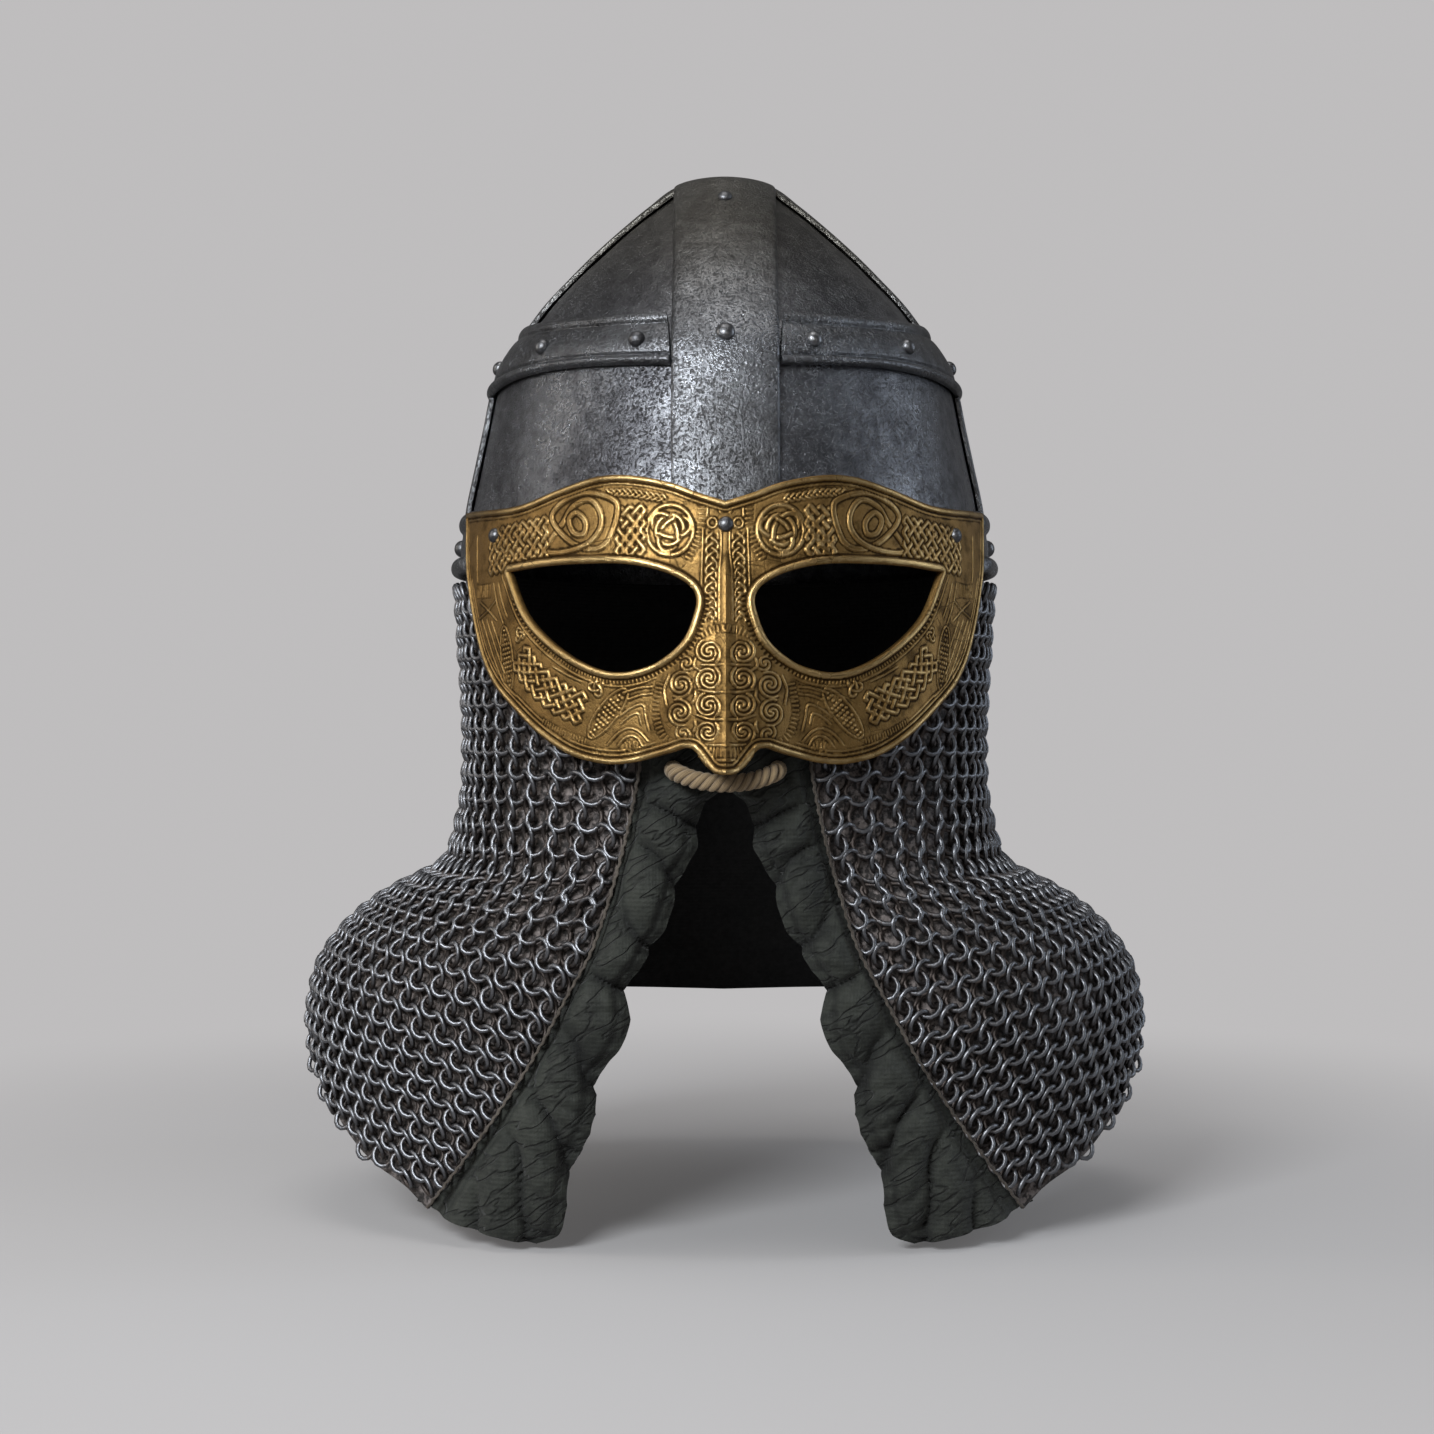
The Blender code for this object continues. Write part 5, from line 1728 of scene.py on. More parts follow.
@dataclass
class SpectacleMask:
    """The brass face mask: two raised rims, a border and carved interlace and scrolls."""

    form: MaskForm
    cell: float = 0.00033
    wall: float = 0.0018
    reach: tuple[float, float] = (-0.2294, -0.1232)
    side_reach: float = 0.0975
    # The brass's tone on level ground, its rise with each millimetre, how much hollows darken it,
    # over how many cells a hollow is felt, and the tone of the plate's edge and back
    level_tone: float = 0.42
    tone_rise: float = 0.55
    hollow_tone: float = 1.5
    hollow_cells: int = 14
    back_tone: float = 0.35
    rim_ticks: int = 132
    # Where the back is cut, so that it bends round the face: first, past the last, and step, in
    # millimetres to the side and up
    side_cuts: tuple[int, int, int] = (4, 132, 6)
    level_cuts: tuple[int, int, int] = (-226, -122, 8)
    # Beads and grooves beside the outline and the eye hole, in millimetres. Columns: where each
    # starts and ends, its middle and half width, its height over its base, and its base
    border: Table = (
        (0.0, 2.1, 1.0, 1.15, 0.75, -0.1),
        (2.1, 2.7, 0.0, 1.0, 0.0, -0.35),
        (2.7, 3.5, 3.1, 0.42, 0.28, 0.0),
        (3.5, 3.9, 0.0, 1.0, 0.0, -0.22),
    )
    rim: Table = (
        (0.0, 2.45, 1.20, 1.45, 1.20, -0.15),
        (2.45, 2.9, 0.0, 1.0, 0.0, -0.35),
    )
    # The ticked band under the eye hole: how far from it, below which height, the middle that
    # the ticks point to, their mean height and how far they rise and fall, in millimetres
    ticked: tuple[float, float] = (2.9, 4.1)
    ticks_below: float = -166.0
    eye_middle: tuple[float, float] = (42.5, -168.0)
    tick_level: float = -0.10
    tick_rise: float = 0.30

    def build(self, finish: Material) -> None:
        """Makes the mask's right half and its mirror image.

        Args:
            finish: The material.
        """
        outline, eye = self.form.outline(), self.form.eye_ring()
        columns = int(self.form.to_flat(self.side_reach) / self.cell)
        rows = int((self.reach[1] - self.reach[0]) / self.cell)
        s = np.arange(columns + 1) * self.cell
        z = self.reach[0] + np.arange(rows + 1) * self.cell
        grid = np.column_stack([np.tile(s, rows + 1), np.repeat(z, columns + 1)])
        inside = within(grid, outline) & ~within(grid, eye)
        edge = nearest_on(grid, outline)[1] * 1000
        eye_far = nearest_on(grid, eye)[1] * 1000
        relief = Relief(s * 1000, z * 1000)
        shape = relief.height.shape
        self.carve(relief, edge.reshape(shape), eye_far.reshape(shape))
        heights = relief.softened(relief.height, 1)
        hollow = heights - relief.softened(heights, self.hollow_cells)
        tone = self.level_tone + self.tone_rise * heights + self.hollow_tone * hollow
        tone = np.clip(tone, 0.0, 1.0)
        flat = self.trimmed(columns, rows, inside, grid, outline, eye)
        self.map_out(flat, relief, heights, tone, finish)

    def trimmed(
        self, columns: int, rows: int, inside: Array, grid: Array, outline: Array, eye: Array
    ) -> BMesh:
        """The flat plate, cut from a grid to its outline and its eye hole.

        Args:
            columns: Cells across.
            rows: Cells up.
            inside: Which corners of the grid lie on the plate.
            grid: The corners' places.
            outline: The plate's outline.
            eye: The eye hole's outline.

        Returns:
            The plate's front at z = 1, its edge and its back at z = 0.
        """
        bm = blank(columns, rows)
        bm.verts.ensure_lookup_table()
        shares = np.array([vert.co for vert in bm.verts])[:, :2] + 0.5
        index = np.rint(shares[:, 1] * rows) * (columns + 1) + np.rint(shares[:, 0] * columns)
        index = index.astype(int)
        for vert, spot, kept in zip(bm.verts, grid[index], inside[index]):
            vert.co, vert.tag = (*spot, 1.0), bool(kept)
        lost = [face for face in bm.faces if sum(vert.tag for vert in face.verts) < 3]
        bmesh.ops.delete(bm, geom=lost, context="FACES")
        loose = [vert for vert in bm.verts if not vert.link_faces]
        bmesh.ops.delete(bm, geom=loose, context="VERTS")
        rim = [v for v in bm.verts if v.is_boundary and v.co.x > self.cell / 2]
        spots = np.array([vert.co for vert in rim])[:, :2]
        outer, outer_far = nearest_on(spots, outline)
        inner, inner_far = nearest_on(spots, np.vstack([eye, eye[:1]]))
        for vert, a, b, nearer in zip(rim, outer, inner, outer_far < inner_far):
            vert.co.xy = a if nearer else b
        edges = [edge for edge in bm.edges if edge.is_boundary]
        dropped = bmesh.ops.extrude_edge_only(bm, edges=edges)["geom"]
        for vert in (item for item in dropped if isinstance(item, bmesh.types.BMVert)):
            vert.co.z = 0.0
        open_edges = [edge for edge in bm.edges if edge.is_boundary]
        back = bmesh.ops.triangle_fill(bm, use_beauty=True, edges=open_edges)["geom"]
        back = [item for item in back if isinstance(item, bmesh.types.BMFace)]
        for place in range(*self.side_cuts):
            back = self.cut(bm, back, (place / 1000, 0, 0), (1, 0, 0))
        for place in range(*self.level_cuts):
            back = self.cut(bm, back, (0, place / 1000, 0), (0, 1, 0))
        bmesh.ops.recalc_face_normals(bm, faces=bm.faces[:])
        return bm

    def cut(self, bm: BMesh, faces: list, spot: tuple, way: tuple) -> list:
        """Cuts the back's faces along a plane.

        Args:
            bm: The plate.
            faces: The faces.
            spot: A point of the plane.
            way: The plane's normal.

        Returns:
            All the faces after the cut.
        """
        faces = [face for face in faces if face.is_valid]
        edges = {edge for face in faces for edge in face.edges}
        verts = {vert for face in faces for vert in face.verts}
        geom = [*faces, *edges, *verts]
        cut = bmesh.ops.bisect_plane(bm, geom=geom, dist=1e-5, plane_co=spot, plane_no=way)
        return [item for item in cut["geom"] if isinstance(item, bmesh.types.BMFace)]

    def map_out(
        self, bm: BMesh, relief: Relief, heights: Array, tone: Array, finish: Material
    ) -> None:
        """Bends the flat plate round the face, raises its relief and mirrors it.

        Args:
            bm: The flat plate.
            relief: The places of the heights.
            heights: Heights over the plate, in millimetres.
            tone: The brass's tone at each height.
            finish: The material.
        """
        mesh = meshed("mask_right", bm)
        spots = np.empty(len(mesh.vertices) * 3)
        mesh.vertices.foreach_get("co", spots)
        spots = spots.reshape(-1, 3)
        across = np.clip((spots[:, 0] * 1000 - relief.s[0]) / relief.step, 0, len(relief.s) - 1)
        up = np.clip((spots[:, 1] * 1000 - relief.z[0]) / relief.step, 0, len(relief.z) - 1)
        cells = np.rint(up).astype(int), np.rint(across).astype(int)
        front = spots[:, 2] > 0.5
        lift = np.where(front, self.wall + heights[cells] / 1000, 0.0)
        x, z = self.form.to_x(spots[:, 0]), spots[:, 1]
        bent = self.form.back(x, z) + self.form.normal(np.maximum(x, 1e-7), z) * lift[:, None]
        bent[:, 0] = np.where(spots[:, 0] < 1e-6, 0.0, np.maximum(bent[:, 0], 0.0))
        mesh.vertices.foreach_set("co", bent.ravel())
        shade = mesh.attributes.new("relief", "FLOAT", "POINT")
        shade.data.foreach_set("value", np.where(front, tone[cells], self.back_tone))
        mirrored = mesh.copy()
        mirrored.name = "mask_left"
        mirrored.vertices.foreach_set("co", (bent * (-1, 1, 1)).ravel())
        mirrored.flip_normals()
        for name, half in (("mask_right", mesh), ("mask_left", mirrored)):
            dressed(name, half, finish, ["spectacle_mask"], 80.0)

    def at(self, points: Spots) -> Array:
        """Points given by distance from the middle and height, laid out flat."""
        rows = np.array(list(points), float)
        return np.column_stack([self.form.to_flat(rows[:, 0] / 1000) * 1000, rows[:, 1]])

    def carve(self, relief: Relief, edge: Array, eye: Array) -> None:
        """Cuts the whole relief.

        Args:
            relief: The heights to change.
            edge: Distance to the outline.
            eye: Distance to the eye hole.
        """
        self.carve_brow(relief)
        self.carve_nose(relief)
        self.carve_cheek(relief, edge, eye)
        self.carve_borders(relief, edge, eye)

    def carve_borders(self, relief: Relief, edge: Array, eye: Array) -> None:
        """The border round the outline and the rim round the eye hole.

        Args:
            relief: The heights to change.
            edge: Distance to the outline.
            eye: Distance to the eye hole.
        """
        for far, rows in ((edge, self.border), (eye, self.rim)):
            for low, high, middle, half, rise, base in rows:
                bead = np.sqrt(np.maximum(1 - ((far - middle) / half) ** 2, 0.0))
                part = (far >= low) & (far < high)
                relief.height[part] = (rise * bead + base)[part]
        s, z = self.at([self.eye_middle])[0]
        turn = np.arctan2(relief.z[:, None] - z, relief.s[None] - s)
        band = (eye >= self.ticked[0]) & (eye < self.ticked[1])
        band &= relief.z[:, None] < self.ticks_below
        ticks = self.tick_level + self.tick_rise * np.cos(turn * self.rim_ticks)
        relief.height[band] = ticks[band]

    def carve_brow(self, relief: Relief) -> None:
        """Interlace over the brow: a ringed knot, a lattice, two great loops and a plait.

        Args:
            relief: The heights to change.
        """
        far = self.form.to_flat(np.array([0.0192, 0.0322, 0.0740])) * 1000
        centre = (far[0], -143.6)
        rings = [loop(centre, sizes, turn) for sizes, turn in (((4.8, 5.4), 20), ((8.3, 8.9), 0))]
        relief.strands([knot(centre, 7.6, 12.0), *rings], 1.6, 0.38, furrow=0.12)
        relief.strands(plait((far[1] - 4.6, -152.6, far[1] + 6.4, -134.8), 3, 4, -0.6), 1.75)
        top = smooth_path(self.at([(20.5, -132.4), (27.0, -131.2), (34.0, -129.9), (41.5, -129.6)]))
        self.laid(relief, top, 1.25, 6.4, 0.85)
        first = [(37.6, -134.2), (43.0, -130.4), (50.5, -129.4), (58.0, -132.6), (61.4, -137.2)]
        first += [(58.4, -142.8), (52.0, -148.2), (45.0, -149.6), (40.6, -146.4)]
        second = [(47.8, -147.4), (43.6, -142.0), (43.8, -136.2), (47.6, -131.8), (53.6, -134.0)]
        second += [(57.2, -139.6), (61.0, -144.6), (63.6, -149.4), (56.6, -150.2)]
        third = [(49.0, -139.8), (52.4, -136.2), (55.0, -138.8), (53.0, -143.6), (49.6, -144.0)]
        ribbons = [smooth_path(self.at(line), True) for line in (first, second)]
        ribbons.append(smooth_path(self.at(third), True))
        relief.strands(ribbons, 2.1, 0.42, furrow=0.22)
        box = (far[2] - 15.6, -154.8, far[2] + 19.6, -138.6)
        relief.strands(plait(box, 9, 4, -3.6), 1.7)
        band = [(8.0, -134.6), (8.1, -140.5), (9.4, -147.4), (12.6, -153.6)]
        relief.ticks(smooth_path(self.at(band)), 2.3, 1.45, 0.75)
        eyes = [loop((4.5, -141.2), (1.6, 1.8), 0.0)]
        eyes.append(smooth_path([(1.6, -137.4), (3.4, -134.9), (5.6, -133.8), (6.3, -138.6)]))
        relief.strands(eyes, 0.85, 0.3, 0.36, -0.25, False)

    def laid(
        self, relief: Relief, spine: Array, half: float, pitch: float, wide: float
    ) -> None:
        """A three-strand braid along a spine.

        Args:
            relief: The heights to change.
            spine: The spine's points.
            half: How far a strand swings to either side.
            pitch: Length of one swing there and back.
            wide: A strand's width.
        """
        straight = braid((0.0, 0.0), (with_lengths(spine)[-1, 0], 0.0), half, pitch)
        relief.strands([follow(line, spine) for line in straight], wide, 0.32)

    def fine(self, relief: Relief, lines: Iterable[Spots], wide: float) -> None:
        """Narrow raised lines that don't interlace.

        Args:
            relief: The heights to change.
            lines: For each line its points, by distance from the middle and height.
            wide: Their width.
        """
        paths = [smooth_path(self.at(line)) for line in lines]
        relief.strands(paths, wide, 0.30, 0.34, -0.24, False)

    def carve_nose(self, relief: Relief) -> None:
        """A plaited strip beside the nose's ridge, a fan of ticks and a panel of spirals.

        Args:
            relief: The heights to change.
        """
        relief.strands(braid((4.5, -145.0), (4.6, -176.0), 2.15, 10.4), 1.15, 0.3)
        edges = (
            ((1.4, -144.4), (1.4, -160.0), (1.4, -175.8)),
            ((7.8, -143.6), (8.0, -158.0), (8.0, -175.8)),
        )
        self.fine(relief, edges, 0.7)
        fan = [(0.4, -178.6), (4.2, -179.1), (8.0, -180.8), (10.8, -183.8)]
        relief.ticks(smooth_path(fan), 2.3, 1.3, 0.7)
        arms = []
        for x, z, radius, turn, way in (
            (5.2, -186.8, 4.6, 60, 1),
            (12.8, -190.6, 2.9, 200, -1),
            (5.2, -196.0, 4.6, -60, -1),
            (14.6, -198.0, 4.6, 120, 1),
            (5.2, -205.3, 4.6, 70, 1),
            (15.0, -207.6, 4.6, -110, -1),
            (5.4, -214.2, 4.2, -50, -1),
            (13.9, -214.8, 2.8, 60, 1),
        ):
            turns = 1.4 if radius > 3 else 0.95
            for half in (0, 180):
                arms.append(spiral((x, z), radius, turn + half, way, turns))
        relief.strands(arms, 0.92, 0.3, 0.40, -0.25, False)
        links = (
            ((9.6, -188.8), (10.2, -191.6), (8.2, -193.2)),
            ((9.8, -200.4), (9.6, -202.2), (10.6, -204.2)),
            ((18.9, -194.8), (20.6, -199.6), (19.8, -205.0)),
            ((9.7, -210.6), (9.6, -212.2), (10.2, -214.2)),
            ((0.8, -191.0), (3.8, -191.4), (7.8, -191.2)),
            ((0.8, -200.6), (4.0, -200.7), (8.4, -199.8)),
            ((0.8, -209.9), (4.8, -209.9), (9.4, -208.4)),
            ((0.6, -219.2), (5.2, -219.0), (10.6, -217.8), (15.4, -218.4)),
            ((0.4, -224.2), (2.4, -224.0), (4.6, -223.0)),
        )
        lines = [smooth_path(row) for row in links]
        relief.strands(lines, 0.85, 0.3, 0.38, -0.25, False)
        relief.ticks(smooth_path([(0.6, -221.7), (3.4, -221.5), (6.0, -220.9)]), 2.8, 1.05, 0.5)
        band = [(22.2, -197.6), (23.2, -203.0), (23.3, -209.0), (21.0, -215.4), (17.4, -218.4)]
        relief.ticks(smooth_path(self.at(band)), 2.3, 1.4, 0.72)

    def carve_cheek(self, relief: Relief, edge: Array, eye: Array) -> None:
        """Lines that follow the cheek, beaded leaves, interlace, sleeves and ribs.

        Args:
            relief: The heights to change.
            edge: Distance to the outline.
            eye: Distance to the eye hole.
        """
        low = (relief.z[:, None] < -157.0) & (relief.s[None] > 24.0)
        for distance, far in ((edge, 4.7), (eye, 5.0)):
            off = np.abs(distance - far)
            share = np.clip(off / 0.42, 0.0, 1.0)
            ridge = -0.24 + 0.52 * np.sqrt(1 - share**2)
            part = low & (off < 0.68)
            relief.height[part] = ridge[part]
        self.carve_leaf(relief, (79.6, -177.4), (77.4, -197.6), 13)
        self.carve_leaf(relief, (35.2, -200.6), (46.6, -215.0), 12)
        spine = [(73.6, -186.6), (70.0, -192.2), (63.8, -198.6), (56.4, -203.6), (49.6, -206.4)]
        line = smooth_path(self.at(spine))
        box = (0.0, -5.7, with_lengths(line)[-1, 0], 5.7)
        woven = [follow(strand, line) for strand in plait(box, 8, 3)]
        relief.strands(woven, 1.6, 0.38)
        for x, z, size, turn in ((73.4, -179.2, 2.7, 40.0), (44.8, -198.6, 3.3, 100.0)):
            relief.strands([knot(self.at([(x, z)])[0], size, turn)], 0.95, 0.3)
        self.carve_sleeves(relief)

    def carve_leaf(
        self, relief: Relief, top: Sequence[float], low: Sequence[float], rows: int
    ) -> None:
        """A pointed leaf filled with beads, inside a raised line.

        Args:
            relief: The heights to change.
            top: Its upper end.
            low: Its lower end.
            rows: Rows of beads.
        """
        ends = self.at([top, low])
        way = unit(ends[1] - ends[0])
        side, half = np.array([-way[1], way[0]]), np.linalg.norm(ends[1] - ends[0]) / 2
        turn = math.degrees(math.atan2(way[1], way[0]))
        rim = loop(ends.mean(0), (half + 1.6, 3.7), turn)
        relief.strands([rim], 0.8, 0.3, 0.34, -0.24, False)
        beads = []
        for row in range(rows):
            spot = ends[0] + way * 2 * half * row / (rows - 1)
            inner = 2 < row < rows - 3
            columns = (-1, 0, 1) if inner else (0,)
            if row % 2:
                columns = (-1.5, -0.5, 0.5, 1.5) if inner else (-0.5, 0.5)
            beads += [spot + side * 1.45 * column for column in columns]
        relief.dots(beads, 0.66)

    def carve_sleeves(self, relief: Relief) -> None:
        """The folds, ribs and fringes between the cheek's other fields.

        Args:
            relief: The heights to change.
        """
        folds = (
            ((34.6, -200.2), (29.6, -198.8), (25.2, -198.4)),
            ((33.4, -202.8), (29.4, -201.4), (25.0, -201.0)),
            ((36.8, -209.0), (32.4, -205.8), (28.4, -204.8), (27.2, -209.4), (26.0, -213.8)),
            ((36.4, -211.6), (32.8, -208.6), (30.2, -207.8), (29.0, -211.6)),
            ((41.0, -219.0), (37.2, -214.8), (33.2, -213.0), (29.8, -214.2), (26.2, -217.6)),
            ((37.4, -219.4), (35.0, -216.6), (32.4, -215.6), (30.2, -216.8), (28.6, -219.2)),
            ((50.4, -196.4), (55.6, -194.0), (60.6, -191.0)),
            ((89.8, -166.2), (86.0, -169.8), (82.6, -173.6)),
            ((82.8, -166.0), (86.0, -169.4), (90.0, -172.4)),
            ((88.8, -173.0), (86.2, -180.6), (83.4, -188.4), (79.6, -196.6), (74.8, -201.6)),
            ((86.8, -173.0), (84.4, -180.0), (82.0, -186.6), (79.4, -193.0)),
            ((84.8, -173.6), (82.6, -179.4), (81.0, -184.0)),
            ((84.0, -159.8), (82.4, -167.6), (80.0, -174.8)),
            ((82.0, -159.8), (80.4, -166.6), (78.4, -172.4)),
            ((91.4, -141.2), (91.2, -150.0), (90.8, -158.6)),
        )
        self.fine(relief, folds, 0.8)
        for row, length, pitch in (
            (((91.0, -162.2), (88.0, -162.4), (85.4, -162.4)), 4.6, 1.1),
            (((34.4, -219.2), (32.4, -218.8), (30.6, -219.2)), 2.4, 0.95),
            (((64.4, -210.6), (57.0, -214.8), (49.0, -217.6)), 1.7, 1.15),
        ):
            relief.ticks(smooth_path(self.at(row)), length, pitch, 0.6)


# Mail and lining


@dataclass
class Curtain:
    """The mail curtain's outer surface, by the turn from the front in degrees and the height."""

    # Columns: height, half width, depth at the front, depth at the back
    shape: Table = (
        (-0.1548, 0.1070, 0.1180, 0.1230),
        (-0.1820, 0.1052, 0.1170, 0.1210),
        (-0.2090, 0.1036, 0.1150, 0.1190),
        (-0.2240, 0.1036, 0.1130, 0.1180),
        (-0.2390, 0.1042, 0.1110, 0.1178),
        (-0.2510, 0.1068, 0.1100, 0.1182),
        (-0.2610, 0.1095, 0.1095, 0.1190),
        (-0.2674, 0.1148, 0.1095, 0.1202),
        (-0.2754, 0.1301, 0.1100, 0.1230),
        (-0.2826, 0.1416, 0.1105, 0.1260),
        (-0.2930, 0.1529, 0.1115, 0.1300),
        (-0.3060, 0.1615, 0.1125, 0.1335),
        (-0.3200, 0.1649, 0.1135, 0.1355),
        (-0.3320, 0.1659, 0.1140, 0.1370),
        (-0.3600, 0.1670, 0.1150, 0.1380),
        (-0.3910, 0.1670, 0.1150, 0.1380),
    )
    # Front edge. Columns: height, distance from the middle
    edge: Table = (
        (-0.2140, 0.0305), (-0.2287, 0.0320), (-0.2510, 0.0365), (-0.2752, 0.0430),
        (-0.2930, 0.0491), (-0.3070, 0.0567), (-0.3309, 0.0697), (-0.3536, 0.0845),
        (-0.3694, 0.0958), (-0.3893, 0.1108),
    )
    # Top edge and hem. Columns: turn from the front, height
    collar: Table = (
        (17.1, -0.2140), (25.7, -0.2130), (34.0, -0.2090), (42.4, -0.2000), (50.4, -0.1880),
        (56.0, -0.1750), (60.6, -0.1600), (64.0, -0.1550), (90.0, -0.1548), (180.0, -0.1548),
    )
    hem: Table = (
        (41.5, -0.3893), (46.4, -0.3810), (53.8, -0.3740), (60.8, -0.3656), (68.9, -0.3537),
        (76.7, -0.3410), (83.0, -0.3320), (92.0, -0.3265), (115.0, -0.3235), (145.0, -0.3265),
        (180.0, -0.3300),
    )

    def __post_init__(self) -> None:
        """Measures the front edge."""
        self.edge_rows = with_lengths((x, z) for z, x in self.edge)

    def outside(self, angle: Array, z: Array) -> Array:
        """Points of the right half by the angle from the front in radians."""
        half, front, back = np.moveaxis(hermite(self.shape, z), -1, 0)
        depth = np.where(np.cos(angle) > 0, front, back)
        return stacked(half * np.sin(angle), -depth * np.cos(angle), z)

    def normal(self, turn: Array, height: Array) -> Array:
        """Directions out of the right half."""
        angle, step = np.radians(turn), 0.0006
        around = self.outside(angle + step, height) - self.outside(angle - step, height)
        up = self.outside(angle, height + step) - self.outside(angle, height - step)
        return unit(np.cross(around, up))

    def point(self, turn: Array, height: Array, inset: Array | float) -> Array:
        """Points of the right half, set in from its outside."""
        spots = self.outside(np.radians(turn), np.asarray(height, float))
        return spots - self.normal(turn, height) * np.asarray(inset, float)[..., None]

    def edge_turn(self, x: Array, height: Array) -> Array:
        """The turn at which the curtain lies this far from the middle."""
        half = hermite(self.shape, height)[..., 0]
        return np.degrees(np.arcsin(np.minimum(x / half, 1.0)))

    def front_turn(self, height: Array) -> Array:
        """The turn of the front edge at a height."""
        return self.edge_turn(hermite(self.edge, height)[..., 0], height)

    def place(self, column: Array, row: Array) -> tuple[Array, Array]:
        """Where a share of the curtain lies.

        Args:
            column: Share of the way back from the front edge.
            row: Share of the way down to the hem.

        Returns:
            The turn from the front in degrees, and the height.
        """
        first, low = self.collar[0][0], self.hem[0][0]
        collar_turn, hem_turn = first + column * (180 - first), low + column * (180 - low)
        top = hermite(self.collar, collar_turn)[..., 0]
        bottom = hermite(self.hem, hem_turn)[..., 0]
        edge_x, edge_z = np.moveaxis(along(self.edge_rows, row), -1, 0)
        opened = (self.edge_turn(edge_x, edge_z) - first) / (low - first)
        lowered = (edge_z - self.edge[0][0]) / (self.edge[-1][0] - self.edge[0][0])
        return collar_turn + opened * (hem_turn - collar_turn), top + (bottom - top) * lowered


